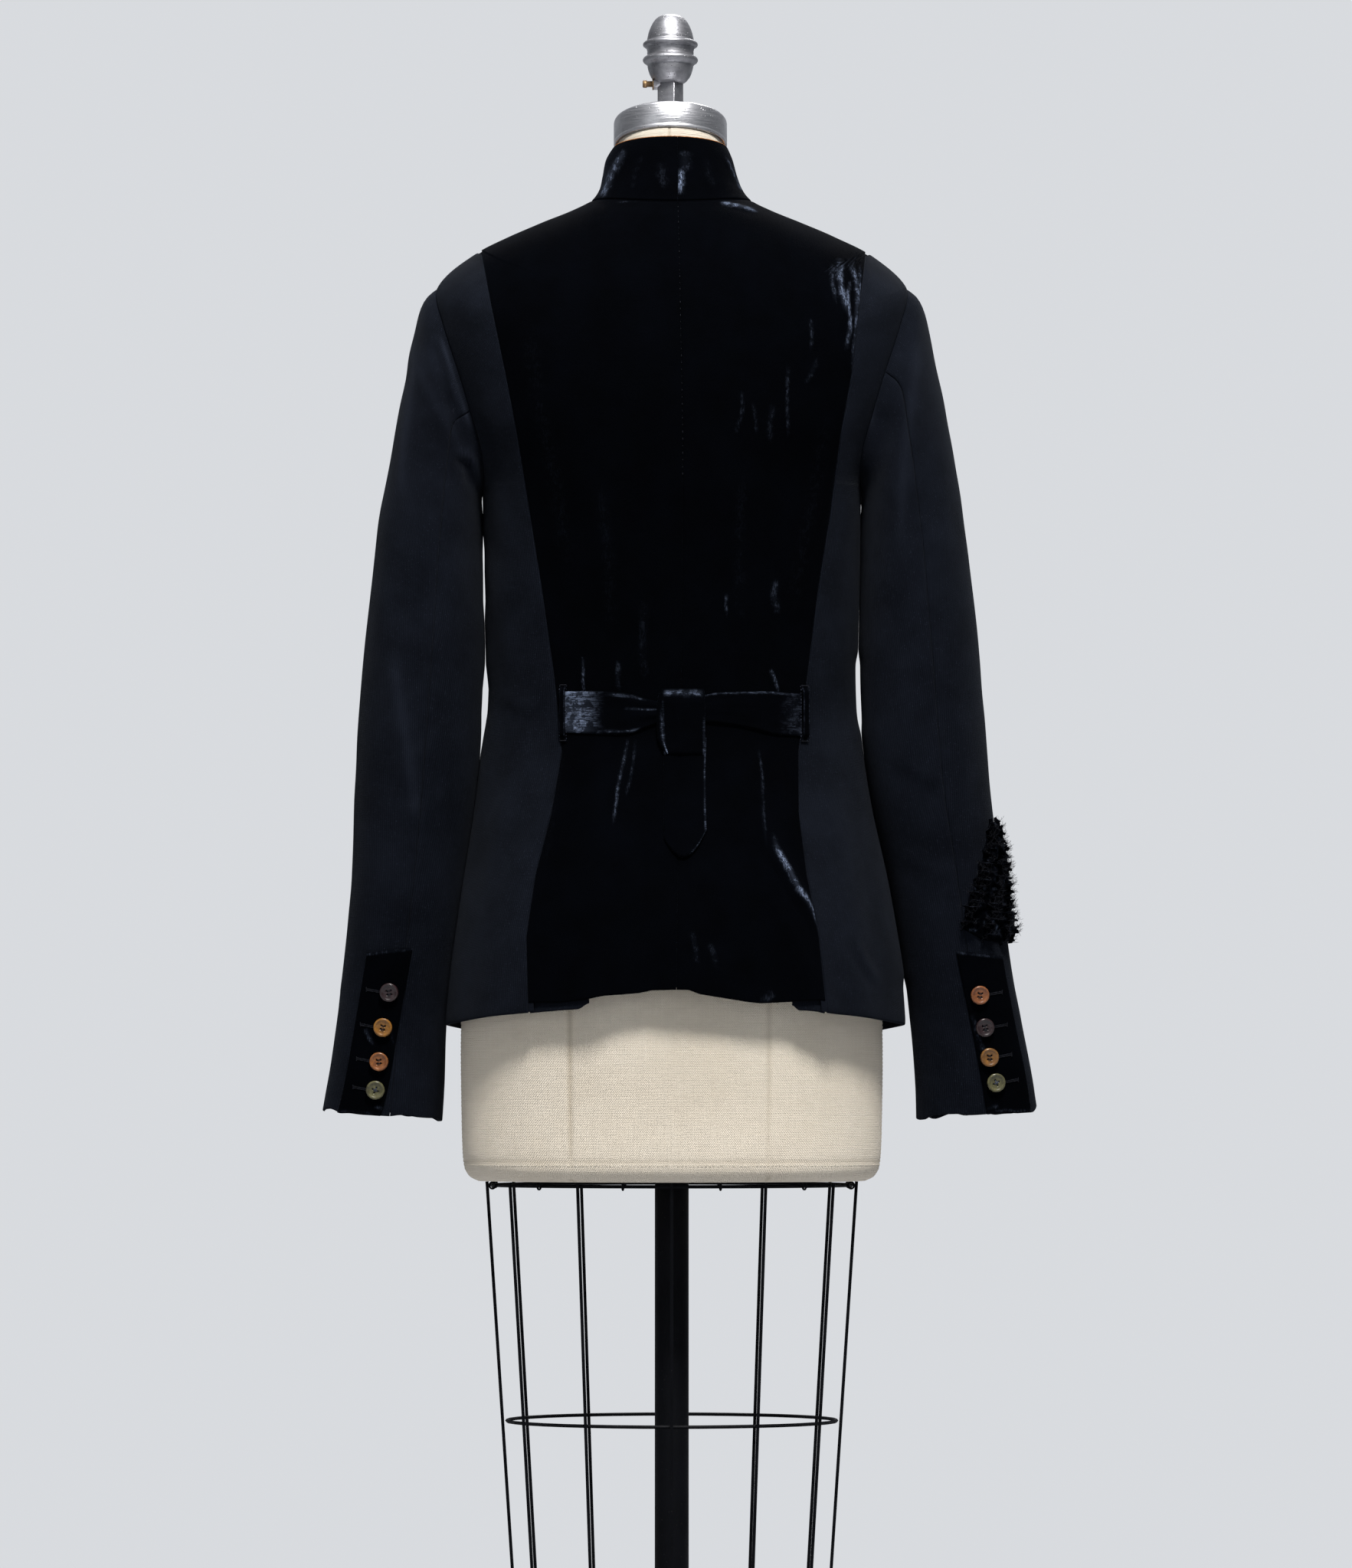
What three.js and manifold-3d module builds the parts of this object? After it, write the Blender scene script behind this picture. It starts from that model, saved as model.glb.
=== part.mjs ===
// A fitted velvet and wool jacket on a linen dress form with a wire skirt cage.
// Millimetres, +Z up. The wearer faces -Y, the wearer's left is +X, and the
// origin is on the floor, on the axis of the stand's pole.
import * as THREE from "three";
import { mergeVertices } from "three/addons/utils/BufferGeometryUtils.js";
import Module from "manifold-3d";

const wasm = await Module();
wasm.setup();

// ---- driving dimensions ----
const wall = 2; // cloth with its hems and seam allowances
const seamGap = 0.4; // clearance between neighbouring pieces
const armholeAngle = THREE.MathUtils.degToRad(28); // half width of the armhole round the body
const armholeSteps = 9; // rows of cloth between shoulder point and underarm
const sleeveSquare = 2.2; // 2 is an ellipse, more is squarer
const rowOf = { neckSeam: 4, shoulder: 9, underarm: 14, belt: 17, hip: 20, velvetHem: 23, woolHem: 24 };

const poleRadius = 14;
const baseRadius = 215;
const torsoBottom = 606;
const poleSocketDepth = 80;
const wireRadius = 1.5;
const cageWires = 12;

const buttonRadius = 7.8;
const buttonThickness = 3.2;

const left = 1; // the wearer's left, +X
const right = -1;
const up = new THREE.Vector3(0, 0, 1);
const degrees = THREE.MathUtils.degToRad;
const clamp = THREE.MathUtils.clamp;

// ---- tables ----
const named = (columns, rows) =>
  rows.map((row) => Object.fromEntries(columns.map((name, i) => [name, row[i]])));

const ringColumns = ["middle", "sideX", "sideZ", "backY", "backZ", "frontY", "frontZ", "square"];

// The jacket's outer surface: a ring of cloth for each row, from the collar's edge to the hem.
const bodySections = named(ringColumns, [
  [1.3, 47.4, 1466, 51, 1467, -54, 1446, 2], // collar edge
  [2.2, 53, 1455, 55.5, 1455, -57, 1430, 2],
  [1.8, 56.2, 1441.5, 58.5, 1441, -59, 1413, 2],
  [1, 59.8, 1430, 61.5, 1427, -60, 1397, 2.05],
  [0.2, 67.6, 1419.8, 66, 1410.5, -61, 1381, 2.1], // neck seam
  [0, 84.5, 1411, 76, 1396.3, -70, 1362.8, 2.2],
  [0, 108.7, 1401.3, 86, 1375, -82, 1342.6, 2.3],
  [0, 136.8, 1389.2, 96, 1347.6, -96, 1314.2, 2.4],
  [0, 167.9, 1373, 104, 1317.3, -112, 1281.9, 2.45],
  [0, 195, 1347.6, 109, 1286.9, -124, 1251.6, 2.45], // shoulder point
  [0, 197, 1318.3, 111, 1263.7, -131, 1236.4, 2.45],
  [0, 190.9, 1281.9, 112, 1241.5, -136, 1223.3, 2.4],
  [0, 178.7, 1241.5, 111, 1216.2, -137, 1206.1, 2.4],
  [0, 164.6, 1206.1, 109, 1191, -134, 1186, 2.35],
  [0, 155.5, 1178.9, 107, 1168.9, -130, 1165.8, 2.35], // underarm
  [0, 153.4, 1140.7, 103, 1140.7, -124, 1140.7, 2.3],
  [0, 152.8, 1090.4, 98, 1090.4, -116, 1090.4, 2.3],
  [0, 151.2, 1040, 93, 1040, -110, 1040, 2.3],
  [0, 152.1, 990, 90, 990, -107, 990, 2.25], // waist
  [-0.5, 157, 950, 95, 950, -109, 948, 2.25],
  [-2, 167, 890, 112, 894, -116, 885, 2.2],
  [-3, 177.5, 830, 130, 838, -124, 822, 2.2],
  [-3.8, 185, 782, 141, 792, -130, 770, 2.2],
  [-2.8, 187.5, 742, 146, 760, -134, 726, 2.2], // velvet hem
  [-2.5, 187.5, 734, 147, 748, -135, 716, 2.2], // wool hem
]);

// The linen form inside the jacket, from above the neck's slanted cut to the rounded lower edge.
const formSections = named(ringColumns, [
  [1.2, 44.6, 1490, 43, 1490, -46.5, 1490, 2],
  [1.2, 44.6, 1456, 44.5, 1456, -47, 1449, 2],
  [0.6, 47.3, 1436, 51, 1433, -50, 1413, 2],
  [0, 57.4, 1420.6, 58, 1411.5, -53, 1389.2, 2.1],
  [0, 83.5, 1408.5, 69, 1390.2, -62, 1360.8, 2.2],
  [0, 107.6, 1398.7, 79, 1366.9, -74, 1340.5, 2.3],
  [0, 135.2, 1384.9, 87, 1336.5, -88, 1312.2, 2.39],
  [0, 163.3, 1368.2, 95, 1307.1, -104, 1279.8, 2.43],
  [0, 179, 1349.6, 100, 1279.8, -115, 1249.5, 2.45],
  [0, 180.9, 1320.3, 102, 1256.6, -121, 1233.4, 2.45],
  [0, 174.8, 1281.9, 103, 1239.4, -125, 1221.3, 2.4],
  [0, 163.6, 1241.5, 102, 1214.2, -126, 1204.1, 2.4],
  [0, 150.5, 1201.1, 99, 1186, -123, 1180.9, 2.35],
  [0, 145.4, 1160.8, 96, 1158.8, -118, 1158.8, 2.3],
  [0, 130.2, 1065.3, 84, 1065.3, -102, 1065.3, 2.25],
  [0, 122.6, 1000, 80.5, 1000, -95.5, 1000, 2.2],
  [0, 131, 940, 88, 940, -98, 940, 2.2],
  [0, 148, 890, 104, 890, -106, 890, 2.2],
  [0, 171.5, 785, 126, 785, -115, 785, 2.2],
  [0, 174, 725, 125, 725, -115, 725, 2.2],
  [0, 173.5, 665, 120, 665, -112, 665, 2.2],
  [0, 172, 624, 117, 624, -109, 624, 2.2],
  [0, 168, 611, 113, 611, -105, 611, 2.2],
  [0, 160, torsoBottom, 106, torsoBottom, -98, torsoBottom, 2.2],
]);

// Where the velvet back ends on each side, and its centre seam, as distances from the middle.
const velvetEdges = named(["z", "left", "centre", "right"], [
  [1474.5, 60.4, -5, 60.4],
  [1410.5, 161, -5, 163],
  [1373, 157.9, -6, 160.9],
  [1322.3, 148.2, -7, 154.3],
  [1266.7, 136.6, -8, 148.1],
  [1216.2, 127, -9, 139],
  [1155.8, 117.3, -9, 131.4],
  [1090.4, 106.7, -8.5, 120.7],
  [1020, 96.6, -8, 111.6],
  [956, 90, -7, 104],
  [905, 98.5, -6, 104],
  [855, 111, -5, 110],
  [805, 118, -4, 119.5],
  [740, 116, -3.5, 126],
]);

// Soft ridges that fall from the belt and run out at the hem: x at the top and at the foot.
const skirtFolds = named(["topX", "topZ", "footX", "footZ", "width", "lift"], [
  [50, 965, 62, 750, 15, 4.5],
  [-62, 965, -112, 765, 15, 5],
  [-8, 860, -8, 745, 18, 3],
  [112, 930, 150, 735, 18, 3],
  [-122, 930, -156, 735, 18, 3],
]);

// Each sleeve: a ring from its outer to its inner edge, from the armhole to the cuff.
// lean moves the wearer's left ring towards the body and the right one away from it.
const sleeveSections = named(
  ["outerX", "outerZ", "innerX", "innerZ", "centreY", "depth", "lean"],
  [
    [196, 1347.6, 155.5, 1178.9, -6, 63, 0], // armhole
    [204.6, 1339.5, 158.5, 1171.9, -6, 63, 0],
    [210.1, 1327.4, 159.3, 1163.8, -5.5, 62, 0],
    [214.5, 1308.1, 159.3, 1152.7, -5, 61, 0],
    [220, 1279.8, 159.2, 1138.6, -4, 60, 0],
    [226.9, 1247.5, 158.9, 1120.5, -3, 59, 0],
    [233.8, 1207.1, 158.3, 1098.4, -1.5, 57.5, 0],
    [241.2, 1162.8, 157.8, 1072.3, 0, 56, 0],
    [247.6, 1112.5, 157.2, 1042.2, 1, 54, 0],
    [253.9, 1055.2, 157.7, 1008, 2, 52, 0],
    [259.2, 990, 160.6, 964, 1, 50, 0],
    [263.5, 925, 166.5, 912, -3, 47, 1],
    [268.5, 860, 177.5, 855, -8, 43.5, 3.5],
    [275.5, 795, 187, 792, -15, 40, 4.5],
    [284, 740, 194, 737, -21, 38, 5.8],
    [292.5, 692, 197, 688, -26, 37, 7],
    [297, 665, 198.5, 657, -29, 36.5, 6.5], // cuff
  ],
);

// Angles round a sleeve run from its outer edge towards the back.
const sleeveSeams = {
  [left]: { back: degrees(100), front: degrees(-80) },
  [right]: { back: degrees(80), front: degrees(-100) },
};
const cuffPlackets = {
  [left]: { topOuter: 58, topInner: 107, cuffOuter: 47, cuffInner: 91, top: 793 },
  [right]: { topOuter: 38, topInner: 92, cuffOuter: 33, cuffInner: 83, top: 790 },
};
const cuffButtons = named(["side", "x", "z", "colour"], [
  [left, 232.6, 761.3, 0x5a3b3c],
  [left, 237.7, 732.5, 0xb98432],
  [left, 241, 704.4, 0xc07a45],
  [left, 244, 681, 0x8f8b62],
  [right, 253, 759, 0xc8834e],
  [right, 257.3, 732.3, 0x5e4240],
  [right, 261.2, 707.8, 0xa9762f],
  [right, 266.6, 687, 0x97905f],
]);

// Gathered velvet strips on the right forearm: angle and height at each end, degrees and mm.
const sleeveRuffles = named(["lowAngle", "lowZ", "highAngle", "highZ", "waves"], [
  [84, 812, 30, 904, 12],
  [64, 802, 8, 906, 13],
  [40, 800, -14, 894, 12],
  [14, 802, -38, 878, 10],
]);

// ---- curves through the tables ----
function curve(a, b, c, d, t) {
  return (
    b +
    0.5 * t * (c - a + t * (2 * a - 5 * b + 4 * c - d + t * (3 * (b - c) + d - a)))
  );
}

// A row between two rows of a table, every column on a smooth curve.
function rowAt(table, place) {
  const last = table.length - 1;
  const i = clamp(Math.floor(place), 0, last - 1);
  const t = clamp(place, 0, last) - i;
  const near = [i - 1, i, i + 1, i + 2].map((k) => table[clamp(k, 0, last)]);
  return Object.fromEntries(
    Object.keys(table[0]).map((key) => [key, curve(...near.map((row) => row[key]), t)]),
  );
}

// One column of a table whose z falls from row to row.
function columnAt(table, z, key) {
  const below = table.findIndex((row) => row.z <= z);
  if (below === 0) return table[0][key];
  if (below < 0) return table.at(-1)[key];
  const [high, low] = [table[below - 1], table[below]];
  return low[key] + ((high[key] - low[key]) * (z - low.z)) / (high.z - low.z);
}

// The value between low and high where rising(value) changes sign.
function solve(rising, low, high) {
  for (let step = 0; step < 40; step++) {
    const middle = (low + high) / 2;
    if (rising(middle) > 0) high = middle;
    else low = middle;
  }
  return (low + high) / 2;
}

const smooth = (t) => {
  const s = clamp(t, 0, 1);
  return s * s * (3 - 2 * s);
};

// ---- surfaces ----
// A point of a ring table: angle 0 is the wearer's left, a quarter turn is the back.
function ringPoint(table, angle, place) {
  const ring = rowAt(table, place);
  const [c, s] = [Math.cos(angle), Math.sin(angle)];
  const power = ring.square;
  const reach = (Math.abs(c) ** power + Math.abs(s) ** power) ** (-1 / power);
  const back = s >= 0;
  return new THREE.Vector3(
    ring.middle + ring.sideX * c * reach,
    (back ? ring.backY : -ring.frontY) * s * reach,
    ring.sideZ * c * c + (back ? ring.backZ : ring.frontZ) * s * s,
  );
}

// The unit vector square to a surface, on the side that the order of its two directions gives.
function facing(surface, a, b, stepA, stepB) {
  const alongA = surface(a + stepA, b).sub(surface(a - stepA, b));
  const alongB = surface(a, b + stepB).sub(surface(a, b - stepB));
  return alongA.cross(alongB).normalize();
}

function foldLift(point) {
  if (point.y < -20) return 0;
  return skirtFolds.reduce((sum, fold) => {
    const fall = clamp((fold.topZ - point.z) / (fold.topZ - fold.footZ), 0, 1.2);
    const middle = fold.topX + (fold.footX - fold.topX) * fall ** 1.3;
    const across = (point.x - middle) / fold.width;
    return sum + fold.lift * smooth(fall * 2.2) * Math.exp(-across * across);
  }, 0);
}

const plainBody = (angle, row) => ringPoint(bodySections, angle, row);

function bodyPoint(angle, row) {
  const point = plainBody(angle, row);
  const lift = foldLift(point);
  if (lift < 0.01) return point;
  return point.addScaledVector(facing(plainBody, angle, row, 0.01, -0.05), lift);
}

const bodyOut = (angle, row) => facing(bodyPoint, angle, row, 0.01, -0.02);

const armholeMiddle = (rowOf.shoulder + rowOf.underarm) / 2;
const armholeHalf = (rowOf.underarm - rowOf.shoulder) / 2;
const sideAngle = (side, angle) => (side === left ? angle : Math.PI - angle);

// The armhole as a closed line on the body: turn 0 is the shoulder point, a quarter turn the back.
function armholePlace(side, turn) {
  return [
    sideAngle(side, armholeAngle * Math.sin(turn)),
    armholeMiddle - armholeHalf * Math.cos(turn),
  ];
}

const armholePoint = (side, turn) => bodyPoint(...armholePlace(side, turn));

// The direction that leaves the body's cloth for the open armhole, within the cloth's surface.
function intoArmhole(side, turn) {
  const along = armholePoint(side, turn + 0.02).sub(armholePoint(side, turn - 0.02));
  const away = along.cross(bodyOut(...armholePlace(side, turn))).normalize();
  const middle = bodyPoint(sideAngle(side, 0), armholeMiddle);
  if (away.dot(middle.sub(armholePoint(side, turn))) < 0) away.negate();
  return away;
}

function sleeveRing(side, turn, row) {
  const ring = rowAt(sleeveSections, row);
  const lean = -side * ring.lean;
  const outer = new THREE.Vector3(side * (ring.outerX + lean), ring.centreY, ring.outerZ);
  const inner = new THREE.Vector3(side * (ring.innerX + lean), ring.centreY, ring.innerZ);
  const [c, s] = [Math.cos(turn), Math.sin(turn)];
  const reach =
    (Math.abs(c) ** sleeveSquare + Math.abs(s) ** sleeveSquare) ** (-1 / sleeveSquare);
  const point = outer.clone().add(inner).multiplyScalar(0.5);
  point.addScaledVector(outer.sub(inner), 0.5 * c * reach);
  point.y += ring.depth * s * reach;
  return point;
}

// The sleeve starts on the armhole and takes its own round shape within three rows.
function sleevePoint(side, turn, row) {
  const point = sleeveRing(side, turn, row);
  const fade = 1 - smooth(row / 3);
  if (fade <= 0) return point;
  const start = armholePoint(side, turn).addScaledVector(intoArmhole(side, turn), seamGap + 0.15);
  return point.addScaledVector(start.sub(sleeveRing(side, turn, 0)), fade);
}

function sleeveOut(side, turn, row) {
  const surface = (t, r) => sleevePoint(side, t, Math.max(r, 0));
  return facing(surface, turn, Math.max(row, 0.03), 0.02, -0.03).multiplyScalar(side);
}

// The row and turn of the sleeve's back at a given distance from the middle and height.
function sleeveSpot(side, x, z) {
  const last = sleeveSections.length - 1;
  let turn = Math.PI / 2;
  let row = last;
  for (let pass = 0; pass < 4; pass++) {
    row = solve((r) => z - sleevePoint(side, turn, r).z, 4, last);
    turn = solve((t) => x - side * sleevePoint(side, t, row).x, 0, Math.PI);
  }
  return [turn, row];
}

// ---- solids ----
function closedGeometry(points, triangles) {
  const raw = new THREE.BufferGeometry();
  raw.setAttribute(
    "position",
    new THREE.Float32BufferAttribute(points.flatMap((p) => p.toArray()), 3),
  );
  raw.setIndex(triangles.flat());
  const merged = mergeVertices(raw, 2e-3);
  const faces = [];
  for (let i = 0; i < merged.index.count; i += 3) {
    const face = [0, 1, 2].map((k) => merged.index.getX(i + k));
    if (new Set(face).size === 3) faces.push(face);
  }
  if (volumeOf(merged, faces) < 0) faces.forEach((face) => face.reverse());
  merged.setIndex(faces.flat());
  merged.computeVertexNormals();
  return merged;
}

function volumeOf(geometry, faces) {
  const position = geometry.getAttribute("position");
  const corner = (i) => new THREE.Vector3().fromBufferAttribute(position, i);
  return faces.reduce((sum, [a, b, c]) => {
    return sum + corner(a).dot(corner(b).cross(corner(c)));
  }, 0);
}

// A wall of cloth between two grids of points, closed along all four edges.
function wallGeometry(outer, inner) {
  const [rows, columns] = [outer.length, outer[0].length];
  const points = [...outer.flat(), ...inner.flat()];
  const at = (layer, r, c) => layer * rows * columns + r * columns + c;
  const triangles = [];
  const quad = (a, b, c, d) => triangles.push([a, b, c], [a, c, d]);
  for (let r = 0; r < rows - 1; r++) {
    for (let c = 0; c < columns - 1; c++) {
      quad(at(0, r, c), at(0, r + 1, c), at(0, r + 1, c + 1), at(0, r, c + 1));
      quad(at(1, r, c), at(1, r, c + 1), at(1, r + 1, c + 1), at(1, r + 1, c));
    }
  }
  for (let r = 0; r < rows - 1; r++) {
    quad(at(0, r, 0), at(1, r, 0), at(1, r + 1, 0), at(0, r + 1, 0));
    const c = columns - 1;
    quad(at(0, r, c), at(0, r + 1, c), at(1, r + 1, c), at(1, r, c));
  }
  for (let c = 0; c < columns - 1; c++) {
    quad(at(0, 0, c), at(0, 0, c + 1), at(1, 0, c + 1), at(1, 0, c));
    const r = rows - 1;
    quad(at(0, r, c), at(1, r, c), at(1, r, c + 1), at(0, r, c + 1));
  }
  return closedGeometry(points, triangles);
}

// A wall on the body whose rows each run between two angles, lift away from the surface.
function wallOnBody(rows, columns, from, to, lift = 0, thickness = wall) {
  const layer = (offset) =>
    rows.map((row) => {
      const [start, end] = [from(row), to(row)];
      return Array.from({ length: columns + 1 }, (_, i) => {
        const angle = start + ((end - start) * i) / columns;
        return bodyPoint(angle, row).addScaledVector(bodyOut(angle, row), offset);
      });
    });
  return wallGeometry(layer(lift), layer(lift - thickness));
}

// The angle that moves a point of the body this far round its ring.
function angleFor(distance, angle, row) {
  const speed = bodyPoint(angle + 0.01, row).distanceTo(bodyPoint(angle - 0.01, row)) / 0.02;
  return distance / speed;
}

// The share of a row that moves a point of the body this far towards the hem.
function rowFor(distance, angle, row) {
  const speed = bodyPoint(angle, row + 0.01).distanceTo(bodyPoint(angle, row - 0.01)) / 0.02;
  return distance / speed;
}

// ---- the jacket's cutting lines, as angles on a row of the body ----
function centreBack(row) {
  const miss = (angle) => {
    const point = bodyPoint(angle, row);
    return columnAt(velvetEdges, point.z, "centre") - point.x;
  };
  return solve(miss, degrees(60), degrees(120));
}

function velvetEdge(side, row) {
  const key = side === left ? "left" : "right";
  const miss = (angle) => {
    const point = bodyPoint(sideAngle(side, angle), row);
    return columnAt(velvetEdges, point.z, key) - side * point.x;
  };
  if (miss(0) > 0) return sideAngle(side, 0);
  return sideAngle(side, solve(miss, 0, degrees(85)));
}

function armholeEdge(row) {
  const across = (row - armholeMiddle) / armholeHalf;
  if (Math.abs(across) >= 1) return 0;
  return armholeAngle * Math.sqrt(1 - across * across);
}

// The fronts meet edge to edge and part a little below the waist.
function centreFront(side, row) {
  const point = bodyPoint(degrees(-90), row);
  const part = seamGap / 2 + 16 * smooth((960 - point.z) / 260);
  return sideAngle(side, degrees(-90) + angleFor(part, degrees(-90), row));
}

// Rows for a panel: one for each row of the table, more under the belt and beside the armhole.
function rowsBetween(first, last, corners = []) {
  const rows = [...corners];
  for (let row = Math.ceil(first + 0.01); row <= last; row++) {
    const inArmhole = row > rowOf.shoulder && row < rowOf.underarm;
    if (!inArmhole) rows.push(row);
    if (row >= rowOf.belt && row < rowOf.hip) rows.push(row + 0.5);
  }
  for (let k = 1; k < armholeSteps; k++) {
    const row = armholeMiddle - armholeHalf * Math.cos((Math.PI * k) / armholeSteps);
    if (row > first && row < last) rows.push(row);
  }
  return [first, ...rows.sort((a, b) => a - b)];
}

const underNeck = rowOf.neckSeam + rowFor(1.2 * seamGap, degrees(90), rowOf.neckSeam);
const inset = (angle, row, towards, share = 0.5) =>
  angle + towards * share * angleFor(seamGap, angle, row);
const slanted = 1.4; // a seam that crosses the rows at a slant needs more room along them

function addMesh(group, name, geometry, material) {
  const mesh = new THREE.Mesh(geometry, material);
  mesh.name = name;
  group.add(mesh);
  return mesh;
}

const sideName = (side) => (side === left ? "left" : "right");

const finish = (color, roughness, metalness = 0) =>
  new THREE.MeshStandardMaterial({ color, roughness, metalness });
const velvet = finish(0x020307, 0.55);
const wool = finish(0x12161d, 0.95);
const linen = finish(0xd8d0c0, 0.9);
const aluminium = finish(0xb9bcc1, 0.35, 0.9);
const blackSteel = finish(0x0c0d10, 0.45, 0.6);
const castIron = finish(0x101114, 0.6, 0.5);
const brassScrew = finish(0x8a7350, 0.5, 0.8);

// The row where the velvet's edge leaves the shoulder seam and the wool begins.
function woolTop(side) {
  const key = side === left ? "left" : "right";
  const miss = (row) => {
    const point = bodyPoint(sideAngle(side, 0), row);
    return side * point.x - columnAt(velvetEdges, point.z, key);
  };
  return solve(miss, rowOf.neckSeam, rowOf.shoulder);
}

const woolStart = (side) => woolTop(side) + 0.2; // where the wool is wide enough to cut

function velvetBack(side) {
  const towards = side === left ? -1 : 1;
  const from = (row) => inset(centreBack(row), row, towards);
  const to = (row) => inset(velvetEdge(side, row), row, -towards, slanted);
  const rows = rowsBetween(underNeck, rowOf.velvetHem, [woolTop(side), woolStart(side)]);
  return wallOnBody(rows, 8, from, to);
}

function woolSide(side) {
  const towards = side === left ? -1 : 1;
  const from = (row) => inset(velvetEdge(side, row), row, towards, slanted);
  const to = (row) => inset(sideAngle(side, armholeEdge(row)), row, -towards);
  return wallOnBody(rowsBetween(woolStart(side), rowOf.woolHem), 4, from, to);
}

function front(side) {
  const towards = side === left ? -1 : 1;
  const from = (row) => inset(sideAngle(side, -armholeEdge(row)), row, towards);
  return wallOnBody(rowsBetween(underNeck, rowOf.woolHem), 6, from, (row) => centreFront(side, row));
}

// The wool goes on behind the velvet's lower corner, so its hem shows below.
function hemFacing(side) {
  const towards = side === left ? 1 : -1;
  const ends = { [left]: 68, [right]: -98 };
  const rows = [rowOf.velvetHem - 0.5, rowOf.velvetHem, rowOf.woolHem];
  const inside = (row) => solve((a) => ends[side] - bodyPoint(a, row).x, degrees(45), degrees(135));
  const edge = (row) => inset(velvetEdge(side, row), row, towards);
  const [from, to] = side === left ? [edge, inside] : [inside, edge];
  return wallOnBody(rows, 3, from, to, -wall - 1.4, 1.4);
}

// Each half of the stand collar runs from the centre back round to the centre front.
function collar(side) {
  const rows = [0, 1, 2, 3].concat(rowOf.neckSeam - (underNeck - rowOf.neckSeam));
  const towards = side === left ? -1 : 1;
  const middle = sideAngle(side, 0);
  const spread = (from, to) => Array.from({ length: 8 }, (_, i) => from + ((to - from) * i) / 8);
  const outerAt = (angle, row) => bodyPoint(angle, row);
  const grid = rows.map((row) => {
    const back = inset(centreBack(row), row, towards);
    const end = centreFront(side, row);
    return [...spread(back, middle), ...spread(middle, end), end].map((angle) => [angle, row]);
  });
  const outer = grid.map((line) => line.map(([a, r]) => outerAt(a, r)));
  const inner = grid.map((line) =>
    line.map(([a, r]) => outerAt(a, r).addScaledVector(bodyOut(a, Math.max(r, 0.05)), -wall)),
  );
  return wallGeometry(outer, inner);
}

// ---- sleeves ----
// The wall's start never leans back towards the body's cloth.
function sleeveInner(side, turn, row) {
  const inward = sleeveOut(side, turn, row).negate();
  if (row === 0) {
    const away = intoArmhole(side, turn);
    const lean = Math.min(inward.dot(away), 0);
    inward.addScaledVector(away, -lean).normalize();
  }
  return sleevePoint(side, turn, row).addScaledVector(inward, wall);
}

function sleevePart(side, from, to, columns) {
  const rows = [0, 0.5];
  for (let row = 1; row < sleeveSections.length; row++) {
    rows.push(row);
    if (row === 8 || row === 10) rows.push(row + 0.5); // above and below the elbow
  }
  const turns = Array.from({ length: columns + 1 }, (_, i) => from + ((to - from) * i) / columns);
  const trim = seamGap / 2 / 37; // the narrowest half depth of a sleeve
  turns[0] += trim;
  turns[columns] -= trim;
  const outer = rows.map((row) => turns.map((turn) => sleevePoint(side, turn, row)));
  const inner = rows.map((row) => turns.map((turn) => sleeveInner(side, turn, row)));
  return wallGeometry(outer, inner);
}

function sleeveLayer(side, grid, offset) {
  return grid.map((line) =>
    line.map(([turn, row]) =>
      sleevePoint(side, turn, row).addScaledVector(sleeveOut(side, turn, row), offset),
    ),
  );
}

function cuffPlacket(side) {
  const shape = cuffPlackets[side];
  const last = sleeveSections.length - 1;
  const topRow = solve(
    (r) => shape.top - sleevePoint(side, degrees((shape.topOuter + shape.topInner) / 2), r).z,
    4,
    last,
  );
  const steps = { rows: 7, columns: 6 };
  const grid = Array.from({ length: steps.rows + 1 }, (_, r) => {
    const down = r / steps.rows;
    const row = topRow + (last - topRow) * down;
    const outer = shape.topOuter + (shape.cuffOuter - shape.topOuter) * down;
    const inner = shape.topInner + (shape.cuffInner - shape.topInner) * down;
    return Array.from({ length: steps.columns + 1 }, (_, c) => {
      const turn = degrees(outer + ((inner - outer) * c) / steps.columns);
      const slant = 0.1 * (1 - down) * (c / steps.columns); // the top edge rises towards the seam
      return [turn, row - slant];
    });
  });
  return wallGeometry(sleeveLayer(side, grid, 2.2), sleeveLayer(side, grid, 0.7));
}

// A four-hole button with a raised rim, its underside on z = 0.
function buttonGeometry() {
  const profile = [
    [0, 0],
    [6.2, 0],
    [buttonRadius, 1.4],
    [buttonRadius - 0.5, buttonThickness],
    [buttonRadius - 2.2, buttonThickness],
    [buttonRadius - 3.2, 2.2],
    [0, 2.2],
  ];
  const disc = solidFrom(lathe(profile, 14));
  const holes = [45, 135, 225, 315].map((angle) => {
    const hole = new THREE.CylinderGeometry(0.9, 0.9, 8, 5).rotateX(Math.PI / 2);
    hole.translate(2.1 * Math.cos(degrees(angle)), 2.1 * Math.sin(degrees(angle)), 0);
    return solidFrom(hole);
  });
  return geometryFrom(holes.reduce((solid, hole) => solid.subtract(hole), disc));
}

function placeButton(mesh, side, x, z) {
  const [turn, row] = sleeveSpot(side, x, z);
  const out = sleeveOut(side, turn, row);
  mesh.position.copy(sleevePoint(side, turn, row)).addScaledVector(out, 2.55);
  mesh.quaternion.setFromUnitVectors(up, out);
}

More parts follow.
